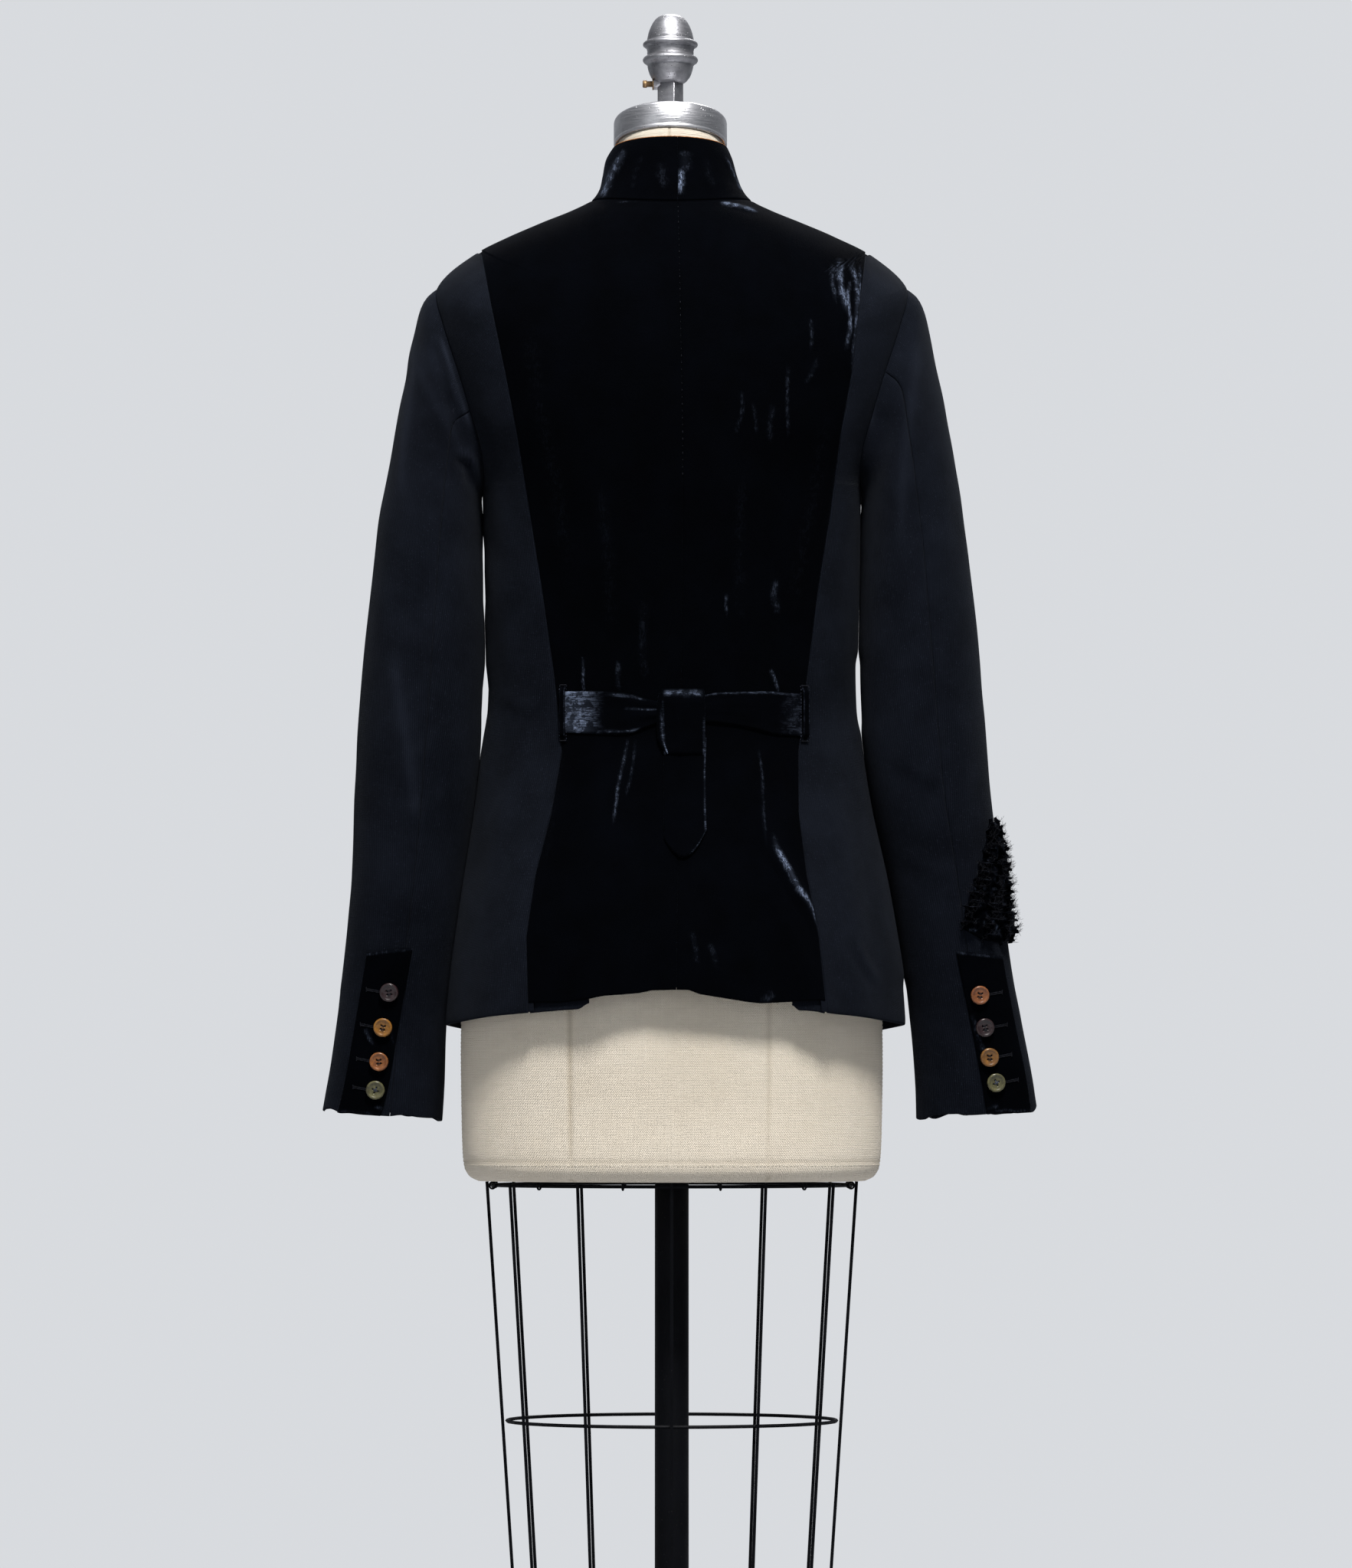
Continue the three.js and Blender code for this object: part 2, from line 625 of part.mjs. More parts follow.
// A gathered strip that stands on the sleeve, waving from side to side along its length.
function ruffle(strip) {
  const side = right;
  const last = sleeveSections.length - 1;
  const height = 8;
  const samples = strip.waves * 4;
  const rowAtHeight = (turn, z) =>
    solve((r) => z - sleevePoint(side, turn, r).z, 8, last);
  const line = Array.from({ length: samples + 1 }, (_, i) => {
    const t = i / samples;
    const turn = degrees(strip.lowAngle + (strip.highAngle - strip.lowAngle) * t);
    const row = rowAtHeight(turn, strip.lowZ + (strip.highZ - strip.lowZ) * t);
    return { turn, row, t };
  });
  const onSleeve = ({ turn, row }) => sleevePoint(side, turn, row);
  const layer = (share, offset) =>
    line.map((spot, i) => {
      const along = onSleeve(line[Math.min(i + 1, samples)]).sub(onSleeve(line[Math.max(i - 1, 0)]));
      const out = sleeveOut(side, spot.turn, spot.row);
      const across = out.clone().cross(along).normalize();
      const wave = Math.sin(spot.t * strip.waves * 2 * Math.PI);
      const end = smooth(Math.min(spot.t, 1 - spot.t) * 8);
      return onSleeve(spot)
        .addScaledVector(out, 0.5 + height * share * (0.45 + 0.55 * end))
        .addScaledVector(across, wave * (1 + 2.2 * share) * end + offset);
    });
  const thickness = 1.5;
  return wallGeometry(
    [layer(0, 0), layer(1, 0)],
    [layer(0, thickness), layer(1, thickness)],
  );
}

// ---- belt ----
const waist = { top: 1006, bottom: 970 };

function bodyRowAt(angle, z) {
  return solve((row) => z - bodyPoint(angle, row).z, rowOf.underarm, rowOf.woolHem);
}

function bodyAngleAt(x, row) {
  return solve((angle) => x - bodyPoint(angle, row).x, degrees(20), degrees(160));
}

// A strip on the back: each station gives x, the two edge heights and how far it stands off.
function strip(stations, across, thickness) {
  const layer = (extra) =>
    stations.map(({ x, low, high, off }) =>
      Array.from({ length: across + 1 }, (_, i) => {
        const z = low + ((high - low) * i) / across;
        let angle = degrees(90);
        let row = bodyRowAt(angle, z);
        for (let pass = 0; pass < 3; pass++) {
          angle = bodyAngleAt(x, row);
          row = bodyRowAt(angle, z);
        }
        return bodyPoint(angle, row).addScaledVector(bodyOut(angle, row), off + extra);
      }),
    );
  return wallGeometry(layer(thickness), layer(0));
}

// The stations of a strip, from short rows of x, lower edge, upper edge and distance off the cloth.
const stations = (rows) => named(["x", "low", "high", "off"], rows);

const beltHalves = {
  left: stations([
    [91, 971, 1005, 0.7],
    [84, 971, 1005, 0.6],
    [66, 970, 1005, 0.8],
    [48, 969, 1004, 0.9],
    [32, 970, 1002, 0.9],
    [20, 975, 998, 1.0],
    [8, 979, 996, 1.0],
    [-6, 980, 996, 1.0],
  ]),
  right: stations([
    [-105, 969, 1004, 0.7],
    [-96, 969, 1004, 0.6],
    [-82, 970, 1005, 0.8],
    [-66, 974, 1004.5, 0.9],
    [-50, 977, 1004, 0.9],
    [-34, 979, 1003, 1.0],
    [-22, 980, 1000, 1.0],
    [-6.4, 981, 996, 1.0],
  ]),
};
const beltLoops = { left: 88, right: -108 };

// A narrow upright loop whose ends lie on the panel and whose middle clears the belt.
function beltLoop(x) {
  const half = 3;
  const heights = [964, 967.5, 968.5, 1006.5, 1007.5, 1011];
  const stand = [0.5, 0.5, 3.4, 3.4, 0.5, 0.5];
  const layer = (extra) =>
    heights.map((z, i) =>
      [x - half, x + half].map((edge) => {
        let row = bodyRowAt(degrees(90), z);
        let angle = bodyAngleAt(edge, row);
        row = bodyRowAt(angle, z);
        angle = bodyAngleAt(edge, row);
        return bodyPoint(angle, row).addScaledVector(bodyOut(angle, row), stand[i] + extra);
      }),
    );
  return wallGeometry(layer(1.4), layer(0));
}

// The turned-over end that covers the crossing, and the long end that hangs from it.
const knot = stations([
  [8, 953, 1006, 3.4],
  [3, 951, 1007, 4.6],
  [-5, 950, 1007, 5.2],
  [-14, 950, 1007, 5.2],
  [-21, 951, 1007, 4.6],
  [-27, 953, 1006, 3.4],
]);
const longEnd = stations([
  [6.5, 884, 967, 0.9],
  [3, 876, 967, 1.1],
  [-4, 870, 967, 1.3],
  [-12, 868, 967, 1.3],
  [-20, 871, 967, 1.2],
  [-25, 878, 967, 1.1],
  [-28, 890, 967, 0.9],
]);

// ---- dress form and stand ----
function solidFrom(geometry) {
  const plain = geometry.clone();
  plain.deleteAttribute("normal");
  plain.deleteAttribute("uv");
  const merged = mergeVertices(plain, 1e-4);
  return new wasm.Manifold(
    new wasm.Mesh({
      numProp: 3,
      vertProperties: new Float32Array(merged.attributes.position.array),
      triVerts: new Uint32Array(merged.index.array),
    }),
  );
}

function geometryFrom(solid) {
  const { numVert, numProp, vertProperties, triVerts } = solid.getMesh();
  const position = new Float32Array(numVert * 3);
  for (let i = 0; i < numVert; i++) {
    position.set(vertProperties.subarray(i * numProp, i * numProp + 3), i * 3);
  }
  const geometry = new THREE.BufferGeometry();
  geometry.setAttribute("position", new THREE.BufferAttribute(position, 3));
  geometry.setIndex(new THREE.BufferAttribute(triVerts, 1));
  geometry.computeVertexNormals();
  return geometry;
}

const upright = (radius, height, sides) =>
  new THREE.CylinderGeometry(radius, radius, height, sides).rotateX(Math.PI / 2);

function formTorso() {
  const around = 24;
  const points = [];
  const triangles = [];
  const at = (row, i) => row * around + (i % around);
  formSections.forEach((_, row) => {
    for (let i = 0; i < around; i++) {
      points.push(ringPoint(formSections, (2 * Math.PI * i) / around, row));
    }
  });
  for (let row = 0; row < formSections.length - 1; row++) {
    for (let i = 0; i < around; i++) {
      triangles.push([at(row, i), at(row + 1, i), at(row + 1, i + 1)]);
      triangles.push([at(row, i), at(row + 1, i + 1), at(row, i + 1)]);
    }
  }
  const ends = [
    { row: 0, centre: new THREE.Vector3(0, 0, 1490) },
    { row: formSections.length - 1, centre: new THREE.Vector3(0, 0, torsoBottom) },
  ];
  ends.forEach(({ row, centre }) => {
    const middle = points.push(centre) - 1;
    for (let i = 0; i < around; i++) {
      const edge = [at(row, i), at(row, i + 1)];
      triangles.push(row === 0 ? [middle, ...edge] : [middle, ...edge.reverse()]);
    }
  });
  const socket = upright(poleRadius + seamGap, 2 * poleSocketDepth, 24);
  socket.translate(0, 0, torsoBottom);
  const aboveNeck = new THREE.BoxGeometry(140, 140, 60).translate(0, 0, 30);
  aboveNeck.rotateX(neckTilt).translate(...neckTop.toArray());
  const whole = solidFrom(closedGeometry(points, triangles));
  return geometryFrom(whole.subtract(solidFrom(socket)).subtract(solidFrom(aboveNeck)));
}

const neckTilt = degrees(11.2); // the neck's top slopes down towards the front
const neckTop = new THREE.Vector3(1.2, -1.5, 1466.6);
const capHeight = 24;

const lathe = (profile, sides) =>
  new THREE.LatheGeometry(
    profile.map(([r, z]) => new THREE.Vector2(r, z)),
    sides,
  ).rotateX(Math.PI / 2);

function neckCap() {
  const profile = [
    [0, 0.4],
    [46.8, 0.4],
    [47.2, 1.2],
    [47.2, 20.5],
    [46.2, 23],
    [43.5, capHeight],
    [0, capHeight],
  ];
  const cap = lathe(profile, 28).rotateX(neckTilt).translate(...neckTop.toArray());
  const side = finialStem.side + 2 * seamGap;
  const well = new THREE.BoxGeometry(side, side, 40).rotateZ(finialStem.turn);
  well.translate(finialStem.x, finialStem.y, finialStem.bottom - seamGap + 20);
  return geometryFrom(solidFrom(cap).subtract(solidFrom(well)));
}

const finialStem = {
  side: 16.3,
  turn: degrees(-28),
  bottom: 1480,
  x: neckTop.x,
  y: neckTop.y - capHeight * Math.sin(neckTilt),
};
const setScrew = { z: 1520.8, boss: 14.8, shank: 19.4, head: 23 };

// The cast knob: a cup, two beads and a dome on a square stem, with a boss for its set screw.
function finial() {
  const profile = [
    [0, 1520.5],
    [8, 1520.5],
    [13, 1522.6],
    [16.8, 1527],
    [18.3, 1531.4],
    [19.6, 1536.1],
    [20.5, 1538],
    [23, 1540],
    [23, 1542.2],
    [20.3, 1544.7],
    [19.6, 1547.8],
    [20.6, 1551.4],
    [22.9, 1553],
    [22.9, 1555],
    [20.4, 1556.8],
    [19.1, 1559.4],
    [17.7, 1565.9],
    [14.7, 1572.4],
    [11, 1576.7],
    [5, 1578.8],
    [0, 1579.1],
  ];
  const knob = solidFrom(lathe(profile, 18));
  const height = 1524 - finialStem.bottom;
  const stem = new THREE.BoxGeometry(finialStem.side, finialStem.side, height);
  stem.rotateZ(finialStem.turn).translate(0, 0, finialStem.bottom + height / 2);
  const boss = new THREE.CylinderGeometry(4.8, 4.8, setScrew.boss, 12).rotateZ(Math.PI / 2);
  boss.translate(setScrew.boss / 2, 0, setScrew.z);
  const whole = knob.add(solidFrom(stem)).add(solidFrom(boss));
  return geometryFrom(whole).translate(finialStem.x, finialStem.y, 0);
}

function finialScrew() {
  const rod = (radius, from, to, sides) => {
    const bar = new THREE.CylinderGeometry(radius, radius, to - from, sides).rotateZ(Math.PI / 2);
    return solidFrom(bar.translate((from + to) / 2, 0, 0));
  };
  const shank = rod(2.5, setScrew.boss + seamGap, setScrew.shank + 0.5, 10);
  const screw = geometryFrom(shank.add(rod(3.1, setScrew.shank, setScrew.head, 8)));
  return screw.translate(finialStem.x, finialStem.y, setScrew.z);
}

function standBase() {
  const profile = [
    [0, 0],
    [baseRadius, 0],
    [baseRadius, 8],
    [baseRadius - 6, 13],
    [90, 20],
    [38, 30],
    [28, 42],
    [26, 66],
    [poleRadius + seamGap, 66],
    [poleRadius + seamGap, 12],
    [0, 12],
  ];
  return lathe(profile, 30);
}

function pole() {
  const [foot, top] = [12 + seamGap, torsoBottom + poleSocketDepth - seamGap];
  return upright(poleRadius, top - foot, 24).translate(0, 0, (foot + top) / 2);
}

// The cage narrows evenly: half width, half depth and centre of its outline at a height.
function cageOutline(z) {
  const down = (torsoBottom - z) / (torsoBottom - 190);
  return { wide: 152.5 - 28 * down, deep: 100 - 12 * down, y: 4 - 4 * down };
}

function cagePoint(angle, z, inwards = 0) {
  const { wide, deep, y } = cageOutline(z);
  return new THREE.Vector3(
    (wide - inwards) * Math.cos(angle),
    y + (deep - inwards) * Math.sin(angle),
    z,
  );
}

const cageHeights = { rim: 602.5, middle: 409, foot: 192 };

function cageWire(angle) {
  const [foot, top] = [cagePoint(angle, 188), cagePoint(angle, torsoBottom - seamGap)];
  const wire = upright(wireRadius, foot.distanceTo(top) - 0.2, 6);
  const lie = new THREE.Quaternion().setFromUnitVectors(up, top.clone().sub(foot).normalize());
  const middle = foot.clone().add(top).multiplyScalar(0.5);
  return wire.applyQuaternion(lie).translate(middle.x, middle.y, middle.z - 0.15);
}

function cageRing(z) {
  const [around, sides] = [36, 5];
  const inwards = 2 * wireRadius + seamGap + 0.15;
  const points = [];
  const triangles = [];
  const at = (i, k) => (i % around) * sides + (k % sides);
  for (let i = 0; i < around; i++) {
    const angle = (2 * Math.PI * i) / around;
    const middle = cagePoint(angle, z, inwards);
    const out = cagePoint(angle, z).sub(cagePoint(angle, z, 1)).normalize();
    for (let k = 0; k < sides; k++) {
      const turn = (2 * Math.PI * k) / sides;
      const point = middle.clone().addScaledVector(out, wireRadius * Math.cos(turn));
      points.push(point.addScaledVector(up, wireRadius * Math.sin(turn)));
    }
  }
  for (let i = 0; i < around; i++) {
    for (let k = 0; k < sides; k++) {
      triangles.push([at(i, k), at(i + 1, k), at(i + 1, k + 1)]);
      triangles.push([at(i, k), at(i + 1, k + 1), at(i, k + 1)]);
    }
  }
  return closedGeometry(points, triangles);
}

// ---- assembly ----
function jacket() {
  const group = new THREE.Group();
  [left, right].forEach((side) => {
    const name = sideName(side);
    addMesh(group, `back_${name}`, velvetBack(side), velvet);
    addMesh(group, `side_${name}`, woolSide(side), wool);
    addMesh(group, `front_${name}`, front(side), wool);
    addMesh(group, `hem_facing_${name}`, hemFacing(side), wool);
    addMesh(group, `collar_${name}`, collar(side), velvet);
    const seams = sleeveSeams[side];
    addMesh(group, `sleeve_top_${name}`, sleevePart(side, seams.front, seams.back, 9), wool);
    addMesh(
      group,
      `sleeve_under_${name}`,
      sleevePart(side, seams.back, seams.front + 2 * Math.PI, 9),
      wool,
    );
    addMesh(group, `cuff_placket_${name}`, cuffPlacket(side), velvet);
    addMesh(group, `belt_${name}`, strip(beltHalves[name], 2, 1.8), velvet);
    addMesh(group, `belt_loop_${name}`, beltLoop(beltLoops[name]), velvet);
  });
  addMesh(group, "belt_knot", strip(knot, 4, 2), velvet);
  addMesh(group, "belt_end", strip(longEnd, 5, 1.6), velvet);
  sleeveRuffles.forEach((row, i) => {
    addMesh(group, `sleeve_ruffle_${i + 1}`, ruffle(row), velvet);
  });
  const button = buttonGeometry();
  cuffButtons.forEach(({ side, x, z, colour }, i) => {
    const name = `button_${sideName(side)}_${(i % 4) + 1}`;
    placeButton(addMesh(group, name, button, finish(colour, 0.3)), side, x, z);
  });
  return group;
}

function dressForm() {
  const group = new THREE.Group();
  addMesh(group, "form_torso", formTorso(), linen);
  addMesh(group, "form_neck_cap", neckCap(), aluminium);
  addMesh(group, "form_finial", finial(), aluminium);
  addMesh(group, "form_finial_screw", finialScrew(), brassScrew);
  addMesh(group, "stand_pole", pole(), blackSteel);
  addMesh(group, "stand_base", standBase(), castIron);
  Object.entries(cageHeights).forEach(([name, z]) => {
    addMesh(group, `cage_ring_${name}`, cageRing(z), blackSteel);
  });
  for (let i = 0; i < cageWires; i++) {
    const angle = (2 * Math.PI * i) / cageWires;
    addMesh(group, `cage_wire_${i + 1}`, cageWire(angle), blackSteel);
  }
  return group;
}

const part = new THREE.Group();
part.add(jacket(), dressForm());

export default part;
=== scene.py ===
import math

import bmesh
import bpy
import numpy as np
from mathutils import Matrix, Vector


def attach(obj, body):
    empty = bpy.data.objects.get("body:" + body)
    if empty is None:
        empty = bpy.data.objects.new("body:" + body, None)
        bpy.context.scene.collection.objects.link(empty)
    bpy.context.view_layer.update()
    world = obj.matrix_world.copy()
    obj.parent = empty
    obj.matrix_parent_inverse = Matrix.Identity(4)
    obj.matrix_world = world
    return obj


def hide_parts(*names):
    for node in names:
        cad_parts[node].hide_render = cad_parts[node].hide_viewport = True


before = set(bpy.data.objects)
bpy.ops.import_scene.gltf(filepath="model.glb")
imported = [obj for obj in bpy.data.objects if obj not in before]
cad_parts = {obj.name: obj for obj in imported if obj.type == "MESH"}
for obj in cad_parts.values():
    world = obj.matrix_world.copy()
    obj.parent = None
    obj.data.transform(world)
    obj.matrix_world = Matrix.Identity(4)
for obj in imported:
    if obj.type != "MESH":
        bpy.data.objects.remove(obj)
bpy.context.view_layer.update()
print("frame loaded,", len(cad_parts), "nodes")

metre = 0.001  # sizes below are in millimetres until a mesh is made
left, right = 1, -1  # the wearer's sides, +X and -X
sideName = {left: "left", right: "right"}

# the view from behind, a little below the shoulders and looking slightly up
view = {"place": (-0.0035, 4.5, 0.676), "looksAt": (-0.0035, 0.0, 0.934), "lens": 124.8}


def makeCamera():
    data = bpy.data.cameras.new("backView")
    data.lens = view["lens"]
    data.sensor_fit = "VERTICAL"
    data.sensor_height = 36
    data.clip_end = 50
    camera = bpy.data.objects.new("backView", data)
    camera.location = view["place"]
    ahead = Vector(view["looksAt"]) - Vector(view["place"])
    camera.rotation_euler = ahead.to_track_quat("-Z", "Y").to_euler()
    bpy.context.scene.collection.objects.link(camera)
    bpy.context.scene.camera = camera


makeCamera()
print("camera set")

# rings of cloth from the collar's edge to the hem:
# middle, half width, side height, back depth, back height, front depth, front height, squareness
bodyRings = np.array([
    [1.3, 47.4, 1466, 51, 1467, -54, 1446, 2],  # collar edge
    [2.2, 53, 1455, 55.5, 1455, -57, 1430, 2],
    [1.8, 56.2, 1441.5, 58.5, 1441, -59, 1413, 2],
    [1, 59.8, 1430, 61.5, 1427, -60, 1397, 2.05],
    [0.2, 67.6, 1419.8, 66, 1410.5, -61, 1381, 2.1],  # neck seam
    [0, 84.5, 1411, 76, 1396.3, -70, 1362.8, 2.2],
    [0, 108.7, 1401.3, 86, 1375, -82, 1342.6, 2.3],
    [0, 136.8, 1389.2, 96, 1347.6, -96, 1314.2, 2.4],
    [0, 167.9, 1373, 104, 1317.3, -112, 1281.9, 2.45],
    [0, 195, 1347.6, 109, 1286.9, -124, 1251.6, 2.45],  # shoulder point
    [0, 197, 1318.3, 111, 1263.7, -131, 1236.4, 2.45],
    [0, 190.9, 1281.9, 112, 1241.5, -136, 1223.3, 2.4],
    [0, 178.7, 1241.5, 111, 1216.2, -137, 1206.1, 2.4],
    [0, 164.6, 1206.1, 109, 1191, -134, 1186, 2.35],
    [0, 155.5, 1178.9, 107, 1168.9, -130, 1165.8, 2.35],  # underarm
    [0, 153.4, 1140.7, 103, 1140.7, -124, 1140.7, 2.3],
    [0, 152.8, 1090.4, 98, 1090.4, -116, 1090.4, 2.3],
    [0, 151.2, 1040, 93, 1040, -110, 1040, 2.3],
    [0, 152.1, 990, 90, 990, -107, 990, 2.25],  # waist
    [-0.5, 157, 950, 95, 950, -109, 948, 2.25],
    [-2, 167, 890, 112, 894, -116, 885, 2.2],
    [-3, 177.5, 830, 130, 838, -124, 822, 2.2],
    [-3.8, 185, 782, 141, 792, -130, 770, 2.2],
    [-2.8, 187.5, 742, 146, 760, -134, 726, 2.2],  # velvet hem
    [-2.5, 187.5, 734, 147, 748, -135, 716, 2.2],  # wool hem
])
formRings = np.array([
    [1.2, 44.6, 1490, 43, 1490, -46.5, 1490, 2],
    [1.2, 44.6, 1456, 44.5, 1456, -47, 1449, 2],
    [0.6, 47.3, 1436, 51, 1433, -50, 1413, 2],
    [0, 57.4, 1420.6, 58, 1411.5, -53, 1389.2, 2.1],
    [0, 83.5, 1408.5, 69, 1390.2, -62, 1360.8, 2.2],
    [0, 107.6, 1398.7, 79, 1366.9, -74, 1340.5, 2.3],
    [0, 135.2, 1384.9, 87, 1336.5, -88, 1312.2, 2.39],
    [0, 163.3, 1368.2, 95, 1307.1, -104, 1279.8, 2.43],
    [0, 179, 1349.6, 100, 1279.8, -115, 1249.5, 2.45],
    [0, 180.9, 1320.3, 102, 1256.6, -121, 1233.4, 2.45],
    [0, 174.8, 1281.9, 103, 1239.4, -125, 1221.3, 2.4],
    [0, 163.6, 1241.5, 102, 1214.2, -126, 1204.1, 2.4],
    [0, 150.5, 1201.1, 99, 1186, -123, 1180.9, 2.35],
    [0, 145.4, 1160.8, 96, 1158.8, -118, 1158.8, 2.3],
    [0, 130.2, 1065.3, 84, 1065.3, -102, 1065.3, 2.25],
    [0, 122.6, 1000, 80.5, 1000, -95.5, 1000, 2.2],
    [0, 131, 940, 88, 940, -98, 940, 2.2],
    [0, 148, 890, 104, 890, -106, 890, 2.2],
    [0, 171.5, 785, 126, 785, -115, 785, 2.2],
    [0, 174, 725, 125, 725, -115, 725, 2.2],
    [0, 173.5, 665, 120, 665, -112, 665, 2.2],
    [0, 172, 624, 117, 624, -109, 624, 2.2],
    [0, 168, 611, 113, 611, -105, 611, 2.2],
    [0, 160, 606, 106, 606, -98, 606, 2.2],
])
seamRow = {"neck": 4, "shoulder": 9, "underarm": 14, "velvetHem": 23, "woolHem": 24}
abovePit, belowPit = 8.97, 14.03  # the last row above the armhole and the first below it

# height, then where the velvet back ends on the left, its centre seam, where it ends on the right
velvetCut = np.array([
    [1474.5, 60.4, -5, 60.4], [1410.5, 161, -5, 163], [1373, 157.9, -6, 160.9],
    [1322.3, 148.2, -7, 154.3], [1266.7, 136.6, -8, 148.1], [1216.2, 127, -9, 139],
    [1155.8, 117.3, -9, 131.4], [1090.4, 106.7, -8.5, 120.7], [1020, 96.6, -8, 111.6],
    [956, 90, -7, 104], [905, 98.5, -6, 104], [855, 111, -5, 110],
    [805, 118, -4, 119.5], [740, 116, -3.5, 126],
])
# top x, top z, foot x, foot z, width, lift of the soft flutes that fall from the belt
skirtFlutes = np.array([
    [50, 965, 62, 750, 15, 4.5], [-62, 965, -112, 765, 15, 5], [-8, 860, -8, 745, 18, 3],
    [112, 930, 150, 735, 18, 3], [-122, 930, -156, 735, 18, 3],
])
# outer x, outer z, inner x, inner z, centre y, depth, lean of each ring of a sleeve
sleeveRings = np.array([
    [196, 1347.6, 155.5, 1178.9, -6, 63, 0],  # armhole
    [204.6, 1339.5, 158.5, 1171.9, -6, 63, 0],
    [210.1, 1327.4, 159.3, 1163.8, -5.5, 62, 0],
    [214.5, 1308.1, 159.3, 1152.7, -5, 61, 0],
    [220, 1279.8, 159.2, 1138.6, -4, 60, 0],
    [226.9, 1247.5, 158.9, 1120.5, -3, 59, 0],
    [233.8, 1207.1, 158.3, 1098.4, -1.5, 57.5, 0],
    [241.2, 1162.8, 157.8, 1072.3, 0, 56, 0],
    [247.6, 1112.5, 157.2, 1042.2, 1, 54, 0],
    [253.9, 1055.2, 157.7, 1008, 2, 52, 0],
    [259.2, 990, 160.6, 964, 1, 50, 0],
    [263.5, 925, 166.5, 912, -3, 47, 1],
    [268.5, 860, 177.5, 855, -8, 43.5, 3.5],
    [275.5, 795, 187, 792, -15, 40, 4.5],
    [284, 740, 194, 737, -21, 38, 5.8],
    [292.5, 692, 197, 688, -26, 37, 7],
    [297, 665, 198.5, 657, -29, 36.5, 6.5],  # cuff
])
armholeAngle = math.radians(28)
armholeMiddle, armholeHalf = 11.5, 2.5
sleeveSquare = 2.2
lastCuffRow = len(sleeveRings) - 1


def smooth(t):
    s = np.clip(t, 0, 1)
    return s * s * (3 - 2 * s)


def unit(v):
    return v / np.maximum(np.linalg.norm(v, axis=-1, keepdims=True), 1e-9)


def along(table, place):
    # a smooth curve through the rows of a table
    last = len(table) - 1
    place = np.asarray(place, float)
    i = np.clip(np.floor(place), 0, last - 1).astype(int)
    t = (np.clip(place, 0, last) - i)[..., None]
    a, b, c, d = (table[np.clip(i + k, 0, last)] for k in (-1, 0, 1, 2))
    return b + 0.5 * t * (c - a + t * (2 * a - 5 * b + 4 * c - d + t * (3 * (b - c) + d - a)))


def solve(rising, low, high, steps=34):
    low, high = np.array(low, float), np.array(high, float)
    for _ in range(steps):
        middle = (low + high) / 2
        above = rising(middle) > 0
        high, low = np.where(above, middle, high), np.where(above, low, middle)
    return (low + high) / 2


def homeIn(point, x, z, turn, row):
    # a few of Newton's steps towards the turn and row whose point has this x and z
    for _ in range(5):
        here = point(turn, row)
        byTurn, byRow = (point(turn + 1e-4, row) - here) / 1e-4, (here - point(turn, row - 1e-3)) / 1e-3
        missX, missZ = x - here[..., 0], z - here[..., 2]
        across = byTurn[..., 0] * byRow[..., 2] - byTurn[..., 2] * byRow[..., 0]
        across = np.where(np.abs(across) < 1e-6, 1e-6, across)
        turn = turn + np.clip((missX * byRow[..., 2] - missZ * byRow[..., 0]) / across, -0.2, 0.2)
        row = row + np.clip((byTurn[..., 0] * missZ - byTurn[..., 2] * missX) / across, -0.5, 0.5)
    return turn, row


def ringPoint(table, angle, place):
    angle, place = np.broadcast_arrays(angle, place)
    ring = along(table, place)
    c, s = np.cos(angle), np.sin(angle)
    power = ring[..., 7]
    reach = (np.abs(c) ** power + np.abs(s) ** power) ** (-1 / power)
    back = s >= 0
    return np.stack([
        ring[..., 0] + ring[..., 1] * c * reach,
        np.where(back, ring[..., 3], -ring[..., 5]) * s * reach,
        ring[..., 2] * c * c + np.where(back, ring[..., 4], ring[..., 6]) * s * s,
    ], -1)


def facing(surface, a, b, stepA, stepB):
    alongA = surface(a + stepA, b) - surface(a - stepA, b)
    alongB = surface(a, b + stepB) - surface(a, b - stepB)
    return unit(np.cross(alongA, alongB))


def plainBody(angle, row):
    return ringPoint(bodyRings, angle, row)


def hungBody(angle, row):
    angle, row = np.broadcast_arrays(np.asarray(angle, float), np.asarray(row, float))
    point = plainBody(angle, row)
    lift = np.zeros(point.shape[:-1])
    for topX, topZ, footX, footZ, width, height in skirtFlutes:
        fall = np.clip((topZ - point[..., 2]) / (topZ - footZ), 0, 1.2)
        middle = topX + (footX - topX) * fall ** 1.3
        across = (point[..., 0] - middle) / width
        lift += height * smooth(fall * 2.2) * np.exp(-across * across)
    lift = np.where(point[..., 1] < -20, 0, lift)
    return point + lift[..., None] * facing(plainBody, angle, row, 0.01, -0.05)


def besideArm(angle):
    # one at the wearer's side, nothing by an arm's width to the front and back of it
    return smooth(1 - np.abs(np.sin(angle)) / 0.5)


def bodyPoint(angle, row):
    # the hung cloth, pressed out a little where the sleeve lies against it
    point = hungBody(angle, row)
    for side in closing:
        on = (side * point[..., 0] > 0) * besideArm(angle)
        point[..., 0] += side * 0.6 * on * np.interp(point[..., 2], *closing[side])
    return point


def bodyOut(angle, row):
    return facing(bodyPoint, angle, row, 0.01, -0.02)


def sideAngle(side, angle):
    return angle if side == left else math.pi - angle


def armholePoint(side, turn):
    angle = sideAngle(side, armholeAngle * np.sin(turn))
    return bodyPoint(angle, armholeMiddle - armholeHalf * np.cos(turn))


